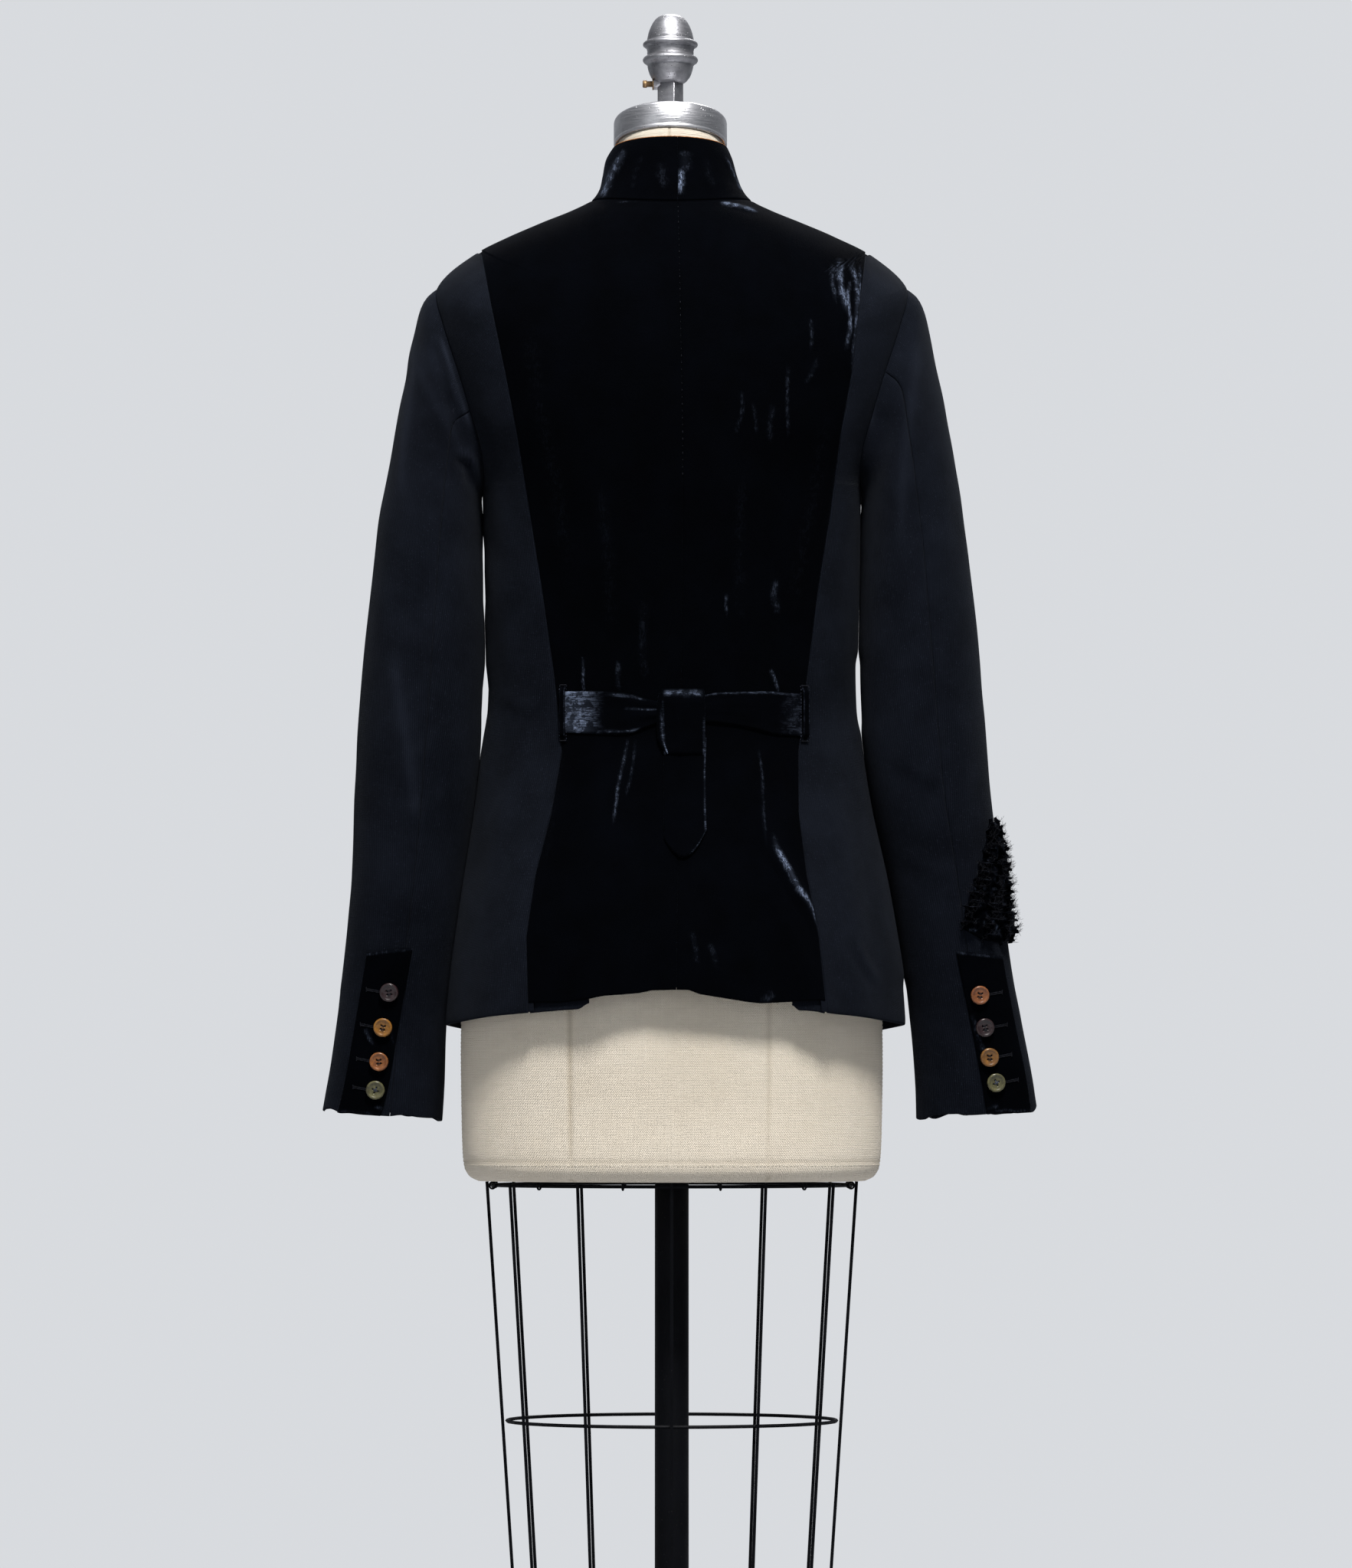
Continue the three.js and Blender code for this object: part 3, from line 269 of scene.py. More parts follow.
def intoArmhole(side, turn):
    # from the body's cloth towards the open armhole, within the cloth's surface
    line = armholePoint(side, turn + 0.02) - armholePoint(side, turn - 0.02)
    angle = sideAngle(side, armholeAngle * np.sin(turn))
    out = bodyOut(angle, armholeMiddle - armholeHalf * np.cos(turn))
    away = unit(np.cross(line, out))
    middle = bodyPoint(sideAngle(side, 0.0), armholeMiddle)
    ahead = np.sum(away * (middle - armholePoint(side, turn)), -1, keepdims=True)
    return np.where(ahead < 0, -away, away)


def sleeveRing(side, turn, row):
    turn, row = np.broadcast_arrays(np.asarray(turn, float), np.asarray(row, float))
    ring = along(sleeveRings, row)
    lean = -side * ring[..., 6]
    outer = np.stack([side * (ring[..., 0] + lean), ring[..., 4], ring[..., 1]], -1)
    inner = np.stack([side * (ring[..., 2] + lean), ring[..., 4], ring[..., 3]], -1)
    c, s = np.cos(turn), np.sin(turn)
    reach = (np.abs(c) ** sleeveSquare + np.abs(s) ** sleeveSquare) ** (-1 / sleeveSquare)
    point = (outer + inner) / 2 + (outer - inner) * (0.5 * c * reach)[..., None]
    point[..., 1] += ring[..., 5] * s * reach
    return point


def hungSleeve(side, turn, row):
    turn, row = np.broadcast_arrays(np.asarray(turn, float), np.asarray(row, float))
    point = sleeveRing(side, turn, row)
    fade = 1 - smooth(row / 3)
    start = armholePoint(side, turn) + intoArmhole(side, turn) * 0.55
    return point + fade[..., None] * (start - sleeveRing(side, turn, np.zeros_like(row)))


def besideBody(turn):
    return np.where(np.cos(turn) < 0, smooth(1 - np.abs(np.sin(turn)) / 0.8), 0)


def sleevePoint(side, turn, row):
    point = hungSleeve(side, turn, row)
    if side in closing:
        point[..., 0] -= side * 0.4 * besideBody(turn) * np.interp(point[..., 2], *closing[side])
    return point


# heights, and how much light shows there between the sleeve and the side
sideGaps = {
    left: [(740, 0.1), (958, 0.1), (974, 1.9), (993, 4.9), (1013, 4.9), (1034, 0.5), (1050, 0.1), (1070, 0.1),
        (1086, 1.9), (1108, 1.3), (1127, 1.7), (1142, 0.1), (1172, 0.1)],
    right: [(740, 4.5), (766, 3.5), (775, 0.1), (975, 0.1), (986, 3.2), (994, 3.9), (1013, 3.8), (1034, 3.7),
        (1044, 0.1), (1172, 0.1)],
}
closing = {}


def closeSides():
    for side in (left, right):
        rows = np.linspace(14, 24, 160)
        body = hungBody(np.full(160, sideAngle(side, 0.0)), rows)
        sleeve = hungSleeve(side, np.full(240, math.pi), np.linspace(2.2, 16, 240))
        heights = np.linspace(740, 1173, 109)
        between = side * (np.interp(-heights, -sleeve[:, 2], sleeve[:, 0])
            - np.interp(-heights, -body[:, 2], body[:, 0]))
        wanted = np.interp(heights, *zip(*sideGaps[side]))
        closing[side] = (np.append(heights, 1190), np.append(np.clip(between - wanted, 0, 9), 0))


def sleeveOut(side, turn, row):
    def surface(t, r):
        return sleevePoint(side, t, np.maximum(r, 0))
    return facing(surface, turn, np.maximum(row, 0.03), 0.02, -0.03) * side


def sleeveSpot(side, x, z):
    # the turn and row on the back of a sleeve at a distance from the middle and a height
    turn, row = np.full(np.shape(x), math.pi / 2), np.full(np.shape(x), 12.0)
    row = solve(lambda r: z - sleevePoint(side, turn, r)[..., 2], 4 + 0 * row, lastCuffRow + 0 * row, 8)
    turn = solve(lambda t: x - side * sleevePoint(side, t, row)[..., 0], 0 * row, math.pi + 0 * row, 8)
    return homeIn(lambda t, r: sleevePoint(side, t, r), side * x, z, turn, row)


closeSides()


def centreBack(row):
    def miss(angle):
        point = bodyPoint(angle, row)
        return np.interp(point[..., 2], velvetCut[::-1, 0], velvetCut[::-1, 2]) - point[..., 0]
    return solve(miss, np.radians(60) + 0 * row, np.radians(120) + 0 * row)


def velvetEdge(side, row):
    column = 1 if side == left else 3
    def miss(angle):
        point = bodyPoint(sideAngle(side, angle), row)
        return np.interp(point[..., 2], velvetCut[::-1, 0], velvetCut[::-1, column]) - side * point[..., 0]
    angle = solve(miss, 0 * row, np.radians(85) + 0 * row)
    return sideAngle(side, np.where(miss(0 * row) > 0, 0, angle))


def armholeEdge(row):
    across = np.clip((row - armholeMiddle) / armholeHalf, -1, 1)
    return armholeAngle * np.sqrt(1 - across * across)


def angleFor(distance, angle, row):
    speed = np.linalg.norm(bodyPoint(angle + 0.01, row) - bodyPoint(angle - 0.01, row), axis=-1) / 0.02
    return distance / speed


def centreFront(side, row):
    point = bodyPoint(np.radians(-90) + 0 * row, row)
    part = 0.2 + 16 * smooth((960 - point[..., 2]) / 260)
    return sideAngle(side, np.radians(-90) + angleFor(part, np.radians(-90) + 0 * row, row))


def bodySpot(x, z):
    # the angle and row on the back of the jacket at a distance from the middle and a height
    x, z = np.broadcast_arrays(np.asarray(x, float), np.asarray(z, float))
    angle = np.full(x.shape, math.pi / 2)
    row = solve(lambda r: z - bodyPoint(angle, r)[..., 2], 0 * x, seamRow["woolHem"] + 0 * x, 8)
    angle = solve(lambda a: x - bodyPoint(a, row)[..., 0], np.radians(15) + 0 * x, np.radians(165) + 0 * x, 8)
    return homeIn(bodyPoint, x, z, angle, row)


edgeSteps = np.array([0, 0.35, 0.9, 1.7, 2.8, 4.4])  # columns crowd towards a seam


def travelled(points, axis=0):
    step = np.linalg.norm(np.diff(points, axis=axis), axis=-1)
    total = np.cumsum(step, axis=axis)
    start = np.zeros_like(np.take(total, [0], axis=axis))
    return np.concatenate([start, total], axis=axis)


def crowded(length, count):
    # places along a length, close together at both of its ends
    tight = min(1.0, length / (4 * edgeSteps[-1]))
    inner = np.linspace(edgeSteps[-1] * tight, length - edgeSteps[-1] * tight, count)[1:-1]
    return np.concatenate([edgeSteps * tight, inner, length - edgeSteps[::-1] * tight])


def rowLine(first, last, angle, pitch, besideArmhole=False):
    fine = np.linspace(first, last, 500)
    travel = travelled(bodyPoint(np.full(500, angle), fine))
    rows = np.interp(crowded(travel[-1], max(4, round(travel[-1] / pitch))), travel, fine)
    if besideArmhole:
        turns = np.linspace(0, math.pi, 64)
        rows = rows[(rows < abovePit) | (rows > belowPit)]
        inArmhole = armholeMiddle - armholeHalf * np.cos(turns)
        rows = np.concatenate([rows, inArmhole[inArmhole > first]])
    return np.sort(rows)


def acrossRows(rows, start, end, count):
    # an angle for every column of every row, from one cutting line to the other
    share = np.linspace(0, 1, 33)
    angles = start[:, None] + (end - start)[:, None] * share
    travel = travelled(bodyPoint(angles, rows[:, None]), axis=1)
    return np.array([np.interp(crowded(line[-1], count), line, angle) for line, angle in zip(travel, angles)])


def softNoise(points, size, seed=0):
    spot = points / size + 31.7 * seed
    cell = np.floor(spot).astype(np.int64)
    part = spot - cell
    part = part * part * (3 - 2 * part)

    def corner(x, y, z):
        mixed = (cell[..., 0] + x) * 374761393 + (cell[..., 1] + y) * 668265263 + (cell[..., 2] + z) * 362437
        mixed = (mixed ^ (mixed >> 13)) * 1274126177
        mixed = mixed ^ (mixed >> 16)
        return (mixed & 0xFFFF) / 32767.5 - 1

    total = np.zeros(points.shape[:-1])
    for x in (0, 1):
        for y in (0, 1):
            for z in (0, 1):
                weight = np.where(x, part[..., 0], 1 - part[..., 0])
                weight = weight * np.where(y, part[..., 1], 1 - part[..., 1])
                weight = weight * np.where(z, part[..., 2], 1 - part[..., 2])
                total += weight * corner(x, y, z)
    return total


def smoothPath(path, steps=6):
    path = np.array(path, float)
    if len(path) < 3:
        return path
    return along(path, np.linspace(0, len(path) - 1, steps * (len(path) - 1) + 1))


def distanceTo(flat, path):
    # distance from each point to a path, signed to its left, and how far along the nearest place is
    best, place, sign = np.full(flat.shape[:-1], 1e9), np.zeros(flat.shape[:-1]), np.ones(flat.shape[:-1])
    travel = travelled(path)
    for i in range(len(path) - 1):
        step = path[i + 1] - path[i]
        t = np.clip(np.sum((flat - path[i]) * step, -1) / max(step @ step, 1e-9), 0, 1)
        off = flat - (path[i] + t[..., None] * step)
        distance = np.hypot(off[..., 0], off[..., 1])
        nearer = distance < best
        best = np.where(nearer, distance, best)
        place = np.where(nearer, (travel[i] + t * (travel[i + 1] - travel[i])) / travel[-1], place)
        sign = np.where(nearer, np.sign(step[0] * off[..., 1] - step[1] * off[..., 0]), sign)
    return best, place, sign


def fold(path, width, lift, shine=0, shineWidth=None, beside=0.45):
    # one soft fold along a path: its width and height, the strength and width of a painted highlight along it, and the
    # trough beside it
    return {"path": path, "width": width, "lift": lift, "shine": shine, "shineWidth": shineWidth or width * 0.4,
        "beside": beside}


def creased(points, folds, where):
    # how far soft folds lift the cloth, and how bright a painted highlight they put into its base colour
    lift, nap = np.zeros(points.shape[:-1]), np.zeros(points.shape[:-1])
    flat = points[..., [0, 2]]
    for crease in folds:
        path = smoothPath(crease["path"])
        near = where & (np.abs(flat[..., 0] - path[:, 0].mean()) < np.ptp(path[:, 0]) / 2 + 45)
        near &= np.abs(flat[..., 1] - path[:, 1].mean()) < np.ptp(path[:, 1]) / 2 + 45
        if not near.any():
            continue
        distance, place, sign = distanceTo(flat[near], path)
        taper = smooth(place * 3.2) * smooth((1 - place) * 3.2)
        width = crease["width"]
        ridge = np.exp(-(distance / width) ** 2)
        trough = np.exp(-((distance * sign - 1.7 * width) / width) ** 2)
        lift[near] += crease["lift"] * taper * (ridge - crease["beside"] * trough)
        # painted highlight: strongest along the fold's middle, fading towards its ends
        crushed = crease["shine"] * smooth(place * 5) * smooth((1 - place) * 5)
        nap[near] = np.maximum(nap[near], crushed * np.exp(-(distance / crease["shineWidth"]) ** 2))
    return lift, nap


def fromSides(points):
    # distance along the cloth to its nearer side edge
    across = travelled(points, 1)
    return np.minimum(across, across[:, -1:] - across)


def rolled(distance, reach, depth):
    # an edge that turns in: how far below the cloth's face it lies at a distance from it
    part = np.clip(1 - distance / reach, 0, 1)
    return depth * (1 - np.sqrt(np.clip(1 - part * part, 0, 1)))


def gridOut(points, towards):
    # the unit vector out of each point of a grid
    alongRows = np.gradient(points, axis=1)
    downRows = np.gradient(points, axis=0)
    out = unit(np.cross(alongRows, downRows))
    if np.sum(out * towards) < 0:
        out = -out
    return out


def addMesh(name, points, faces, uvs=None, values=None, material=None):
    mesh = bpy.data.meshes.new(name)
    mesh.from_pydata((np.asarray(points, float) * metre).tolist(), [], np.asarray(faces).tolist()
        if isinstance(faces, np.ndarray) else faces)
    mesh.validate()
    if uvs is not None:
        layer = mesh.uv_layers.new(name="cloth")
        layer.data.foreach_set("uv", (np.asarray(uvs) * metre).astype(np.float32).ravel())
    for key, numbers in (values or {}).items():
        field = mesh.attributes.new(key, "FLOAT", "POINT")
        field.data.foreach_set("value", np.asarray(numbers, np.float32).ravel())
    mesh.polygons.foreach_set("use_smooth", [True] * len(mesh.polygons))
    thing = bpy.data.objects.new(name, mesh)
    bpy.context.scene.collection.objects.link(thing)
    if material:
        mesh.materials.append(material)
    return thing


def thinShell(name, face, out, thickness, material, lift=0, edge=0, nap=None, closedAcross=False):
    # a closed thin wall: its face is a grid of points, edge is how far the face is turned in there
    rows, columns = face.shape[:2]
    middle = face + out * np.asarray(lift)[..., None] if np.ndim(lift) else face
    outer = middle - out * np.asarray(edge)[..., None] if np.ndim(edge) else middle
    inner = middle - out * (np.asarray(thickness)[..., None] if np.ndim(thickness) else thickness)
    points = np.concatenate([outer.reshape(-1, 3), inner.reshape(-1, 3)])
    downTravel = travelled(middle, axis=0)
    acrossTravel = travelled(np.concatenate([middle, middle[:, :1]], 1) if closedAcross else middle, axis=1)
    centre = acrossTravel[:, acrossTravel.shape[1] // 2][:, None]
    uvTable = np.stack([acrossTravel - centre, np.broadcast_to(downTravel[:, :1], acrossTravel.shape)], -1)

    spans = columns if closedAcross else columns - 1
    r, c = np.meshgrid(np.arange(rows - 1), np.arange(spans), indexing="ij")
    r, c = r.ravel(), c.ravel()
    corners = [(r, c), (r + 1, c), (r + 1, c + 1), (r, c + 1)]
    quads = np.stack([a * columns + b % columns for a, b in corners], -1)
    quadUvs = np.stack([uvTable[a, b] for a, b in corners], 1)
    q = quads[len(quads) // 2]
    normal = np.cross(points[q[1]] - points[q[0]], points[q[3]] - points[q[0]])
    if normal @ out.reshape(-1, 3)[q[0]] < 0:
        quads, quadUvs = quads[:, ::-1], quadUvs[:, ::-1]
    below = rows * columns
    faces, loops = [quads, quads[:, ::-1] + below], [quadUvs, quadUvs[:, ::-1]]

    owners = {(int(x), int(y)) for quad in quads for x, y in zip(quad, np.roll(quad, -1))}

    def rim(line, uvLine):
        # the face's own order decides which way round the rim goes
        a, b = line[:-1], line[1:]
        strip = np.stack([a, b, b + below, a + below], -1)
        stripUvs = np.stack([uvLine[:-1], uvLine[1:], uvLine[1:], uvLine[:-1]], 1)
        if (int(a[0]), int(b[0])) in owners:
            strip, stripUvs = strip[:, ::-1], stripUvs[:, ::-1]
        faces.append(strip)
        loops.append(stripUvs)

    across = np.arange(spans + 1) % columns
    rim(across, uvTable[0])
    rim((rows - 1) * columns + across, uvTable[-1])
    if not closedAcross:
        down = np.arange(rows) * columns
        rim(down, uvTable[:, 0])
        rim(down + columns - 1, uvTable[:, -1])
    # the per-point mask that the cloth's shader reads: painted highlights
    values = {"nap": np.concatenate([np.zeros(below) if nap is None else np.ravel(nap), np.zeros(below)])}
    return addMesh(name, points, np.concatenate(faces), np.concatenate(loops).reshape(-1, 2), values, material)


def lathed(name, profile, around, material, place=(0, 0, 0)):
    # a turned piece: the profile gives radius and height from its lowest middle point to its highest
    profile = np.array(profile, float)
    turns = 2 * math.pi * np.arange(around) / around
    rings = [(r, z) for r, z in profile if r > 1e-6]
    points = ([[0, 0, profile[0][1]]] + [[r * math.cos(t), r * math.sin(t), z] for r, z in rings for t in turns]
        + [[0, 0, profile[-1][1]]])
    faces = [[0, 1 + (i + 1) % around, 1 + i] for i in range(around)]
    for k in range(len(rings) - 1):
        for i in range(around):
            a, b = 1 + k * around + i, 1 + k * around + (i + 1) % around
            faces.append([a, b, b + around, a + around])
    top = 1 + (len(rings) - 1) * around
    faces += [[top + i, top + (i + 1) % around, len(points) - 1] for i in range(around)]
    return addMesh(name, np.array(points) + np.array(place), faces, material=material)


def tube(name, path, radius, material, sides=8, closed=False):
    # a round thread or wire along a path; its radius may change along it
    path = np.array(path, float)
    radius = np.broadcast_to(radius, (len(path),))
    ahead = np.roll(path, -1, 0) - np.roll(path, 1, 0)
    if not closed:
        ahead[0], ahead[-1] = path[1] - path[0], path[-1] - path[-2]
    ahead = unit(ahead)
    across = np.zeros_like(path)
    guide = np.array([0.0, 0, 1]) if abs(ahead[0][2]) < 0.8 else np.array([1.0, 0, 0])
    for i, direction in enumerate(ahead):
        guide = unit(guide - direction * (guide @ direction))
        across[i] = guide
    up = np.cross(ahead, across)
    turns = 2 * math.pi * np.arange(sides) / sides
    points = path[:, None] + radius[:, None, None] * (np.cos(turns)[None, :, None] * across[:, None]
        + np.sin(turns)[None, :, None] * up[:, None])
    count = len(path)
    faces = []
    for i in range(count if closed else count - 1):
        for k in range(sides):
            a, b = i * sides, ((i + 1) % count) * sides
            faces.append([a + k, b + k, b + (k + 1) % sides, a + (k + 1) % sides][::-1])
    if not closed:
        faces += [list(range(sides)), [(count - 1) * sides + k for k in range(sides)][::-1]]
    return addMesh(name, points.reshape(-1, 3), faces, material=material)


def reshaped(thing, change):
    # move a mesh's own points by a rule that works in millimetres
    points = np.array([v.co for v in thing.data.vertices]) / metre
    thing.data.vertices.foreach_set("co", (change(points) * metre).astype(np.float32).ravel())
    return thing


def joined(name, things):
    # one mesh out of several pieces of the same kind
    bpy.ops.object.select_all(action="DESELECT")
    for thing in things:
        thing.select_set(True)
    bpy.context.view_layer.objects.active = things[0]
    if len(things) > 1:
        bpy.ops.object.join()
    things[0].name = name
    things[0].data.name = name
    return things[0]


def outwards(thing):
    # recalculate the face directions of a closed mesh whose doubles are merged
    work = bmesh.new()
    work.from_mesh(thing.data)
    bmesh.ops.remove_doubles(work, verts=work.verts, dist=1e-7)
    bmesh.ops.recalc_face_normals(work, faces=work.faces)
    work.to_mesh(thing.data)
    work.free()
    return thing


def put(tree, kind, values=None, **settings):
    # a node with its settings; a value that is a socket is linked, any other is set
    made = tree.nodes.new(kind)
    for key, value in settings.items():
        setattr(made, key, value)
    for key, value in (values or {}).items():
        if isinstance(value, bpy.types.NodeSocket):
            tree.links.new(value, made.inputs[key])
        else:
            made.inputs[key].default_value = value
    return made


def objectPlace(tree):
    return put(tree, "ShaderNodeTexCoord").outputs["Object"]


# the mask that the shaders read: painted highlights on velvet and wool, seam marks on the linen
def paintedSheenAndSeamMask(tree):
    return put(tree, "ShaderNodeAttribute", attribute_name="nap").outputs["Fac"]


def effect(tree, group, vector, *values):
    # an effect group with its own values, in the order of its inputs
    made = put(tree, "ShaderNodeGroup", {"Vector": vector}, node_tree=group)
    for socket, value in zip(list(made.inputs)[1:], values):
        socket.default_value = value
    return made


def noise(tree, vector, scale, detail, roughness=0.5, distortion=0.0):
    values = {"Vector": vector, "Scale": scale, "Detail": detail, "Roughness": roughness, "Distortion": distortion}
    return put(tree, "ShaderNodeTexNoise", values)


def stretchedBy(tree, vector, by):
    return put(tree, "ShaderNodeVectorMath", {0: vector, 1: by}, operation="MULTIPLY").outputs[0]


def finish(tree, shader, **values):
    # a shader's inputs by their own names, such as sheenWeight: a socket is linked, any other value is set
    for socket in shader.inputs:
        key = socket.name.replace(" ", "")
        value = values.get(key[0].lower() + key[1:])
        if isinstance(value, bpy.types.NodeSocket):
            tree.links.new(value, socket)
        elif value is not None:
            socket.default_value = value


def times(tree, a, b):
    return calc(tree, "MULTIPLY", a, b)


def calc(tree, operation, a, b=None, clamp=False):
    values = {0: a} if b is None else {0: a, 1: b}
    return put(tree, "ShaderNodeMath", values, operation=operation, use_clamp=clamp).outputs[0]


def blendColour(tree, share, a, b):
    return put(tree, "ShaderNodeMix", {0: share, 6: a, 7: b}, data_type="RGBA").outputs[2]


def spread(tree, value, low, high, newLow=0.0, newHigh=1.0):
    return put(tree, "ShaderNodeMapRange", {0: value, 1: low, 2: high, 3: newLow, 4: newHigh}).outputs[0]


def effectGroup(name, inputs, outputs, kindOfTree="ShaderNodeTree"):
    tree = bpy.data.node_groups.new(name, kindOfTree)
    for key, kind, value in inputs:
        socket = tree.interface.new_socket(name=key, in_out="INPUT", socket_type="NodeSocket" + kind)
        if value is not None:
            socket.default_value = value
    for key, kind in outputs:
        tree.interface.new_socket(name=key, in_out="OUTPUT", socket_type="NodeSocket" + kind)
    return tree, tree.nodes.new("NodeGroupInput"), tree.nodes.new("NodeGroupOutput")


def makeFibreFuzz():
    # short fibres that lie about: a fine height and a cloudy mask of where they are disturbed
    tree, given, result = effectGroup("fibreFuzz", [
        ("Vector", "Vector", None), ("Fibre Size", "Float", 0.001),
        ("Cloud Size", "Float", 0.03), ("Stretch", "Vector", (1, 1, 1)),
    ], [("Height", "Float"), ("Cloud", "Float")])
    stretched = stretchedBy(tree, given.outputs["Vector"], given.outputs["Stretch"])
    fibreScale = calc(tree, "DIVIDE", 1.0, given.outputs["Fibre Size"])
    cloudScale = calc(tree, "DIVIDE", 1.0, given.outputs["Cloud Size"])
    fine = noise(tree, stretched, fibreScale, 3.0, 0.65, 0.6)
    cloud = noise(tree, given.outputs["Vector"], cloudScale, 4.0, 0.6)
    tree.links.new(fine.outputs[0], result.inputs["Height"])
    tree.links.new(spread(tree, cloud.outputs[0], 0.35, 0.7), result.inputs["Cloud"])
    return tree


def makeThreadWeave():
    # over and under threads of a plain weave, with thick and thin places along them
    tree, given, result = effectGroup("threadWeave", [
        ("Vector", "Vector", None), ("Thread", "Float", 0.001),
        ("Slub", "Float", 0.3), ("Twill", "Float", 0.0),
    ], [("Height", "Float"), ("Tone", "Float")])
    scaled = put(tree, "ShaderNodeVectorMath", {0: given.outputs["Vector"]}, operation="SCALE")
    tree.links.new(calc(tree, "DIVIDE", 1.0, given.outputs["Thread"]), scaled.inputs["Scale"])
    wobble = noise(tree, scaled.outputs[0], 0.11, 2.0)
    shifted = put(tree, "ShaderNodeVectorMath", {0: scaled.outputs[0],
        1: put(tree, "ShaderNodeVectorMath", {0: wobble.outputs[1], "Scale": 1.1}, operation="SCALE").outputs[0]},
        operation="ADD")
    parts = put(tree, "ShaderNodeSeparateXYZ", {0: shifted.outputs[0]})
    x = calc(tree, "ADD", parts.outputs[0], times(tree, parts.outputs[1], given.outputs["Twill"]))
    warp = calc(tree, "ABSOLUTE", calc(tree, "SINE", times(tree, x, math.pi)))
    weft = calc(tree, "ABSOLUTE", calc(tree, "SINE", times(tree, parts.outputs[1], math.pi)))
    over = calc(tree, "FRACT", times(tree, calc(tree, "ADD", calc(tree, "FLOOR", x),
        calc(tree, "FLOOR", parts.outputs[1])), 0.5))
    over = calc(tree, "GREATER_THAN", calc(tree, "ABSOLUTE", over), 0.25)
    height = put(tree, "ShaderNodeMix", {0: over, 2: warp, 3: weft}, data_type="FLOAT").outputs[0]
    longWarp = noise(tree, stretchedBy(tree, scaled.outputs[0], (0.9, 0.03, 0.5)), 1.0, 2.0)
    longWeft = noise(tree, stretchedBy(tree, scaled.outputs[0], (0.03, 0.9, 0.5)), 1.0, 2.0)
    slub = spread(tree, put(tree, "ShaderNodeMix", {0: over, 2: longWarp.outputs[0], 3: longWeft.outputs[0]},
        data_type="FLOAT").outputs[0], 0.3, 0.75)
    tree.links.new(calc(tree, "ADD", height, times(tree, slub, given.outputs["Slub"])), result.inputs["Height"])
    tree.links.new(times(tree, calc(tree, "ADD", height, slub), 0.5), result.inputs["Tone"])
    return tree


def makeSpecks():
    # scattered small spots and a slow stain: dust, pits and handling
    tree, given, result = effectGroup("specks", [
        ("Vector", "Vector", None), ("Spot Size", "Float", 0.002),
        ("Share", "Float", 0.1), ("Stain Size", "Float", 0.04),
    ], [("Spots", "Float"), ("Stain", "Float")])
    cells = put(tree, "ShaderNodeTexVoronoi", {"Vector": given.outputs["Vector"],
        "Scale": calc(tree, "DIVIDE", 1.0, given.outputs["Spot Size"])})
    chosen = calc(tree, "LESS_THAN", put(tree, "ShaderNodeSeparateColor", {0: cells.outputs["Color"]}).outputs[0],
        given.outputs["Share"])
    spot = times(tree, spread(tree, cells.outputs["Distance"], 0.35, 0.15), chosen)
    stain = noise(tree, given.outputs["Vector"], calc(tree, "DIVIDE", 1.0, given.outputs["Stain Size"]), 5.0, 0.6)
    tree.links.new(spot, result.inputs["Spots"])
    tree.links.new(spread(tree, stain.outputs[0], 0.38, 0.68), result.inputs["Stain"])
    return tree


fibreFuzz, threadWeave, specks = makeFibreFuzz(), makeThreadWeave(), makeSpecks()


def startMaterial(name):
    material = bpy.data.materials.new(name)
    material.use_nodes = True
    tree = material.node_tree
    tree.nodes.clear()
    shader = tree.nodes.new("ShaderNodeBsdfPrincipled")
    tree.links.new(shader.outputs[0], tree.nodes.new("ShaderNodeOutputMaterial").inputs[0])
    return material, tree, shader


def colour(r, g, b):
    # a colour from its screen values, 0 to 255
    parts = [v / 255 for v in (r, g, b)]
    return tuple(v / 12.92 if v <= 0.04045 else ((v + 0.055) / 1.055) ** 2.4 for v in parts) + (1.0,)


def bumped(tree, shader, height, distance, strength=1.0):
    bump = put(tree, "ShaderNodeBump", {"Height": height, "Distance": distance, "Strength": strength})
    tree.links.new(bump.outputs[0], shader.inputs["Normal"])


# pile is the velvet's own colour and haze a random cloudy tone; the third colour is a painted sheen highlight put into
# the base colour
velvetLook = {
    "pile": colour(0.4, 0.9, 2.4), "crushed": colour(116, 128, 152), "haze": colour(2, 3.2, 7),
    "sheen": 0.014, "sheenRoughness": 0.3, "sheenTint": (0.55, 0.68, 1.0, 1),
}


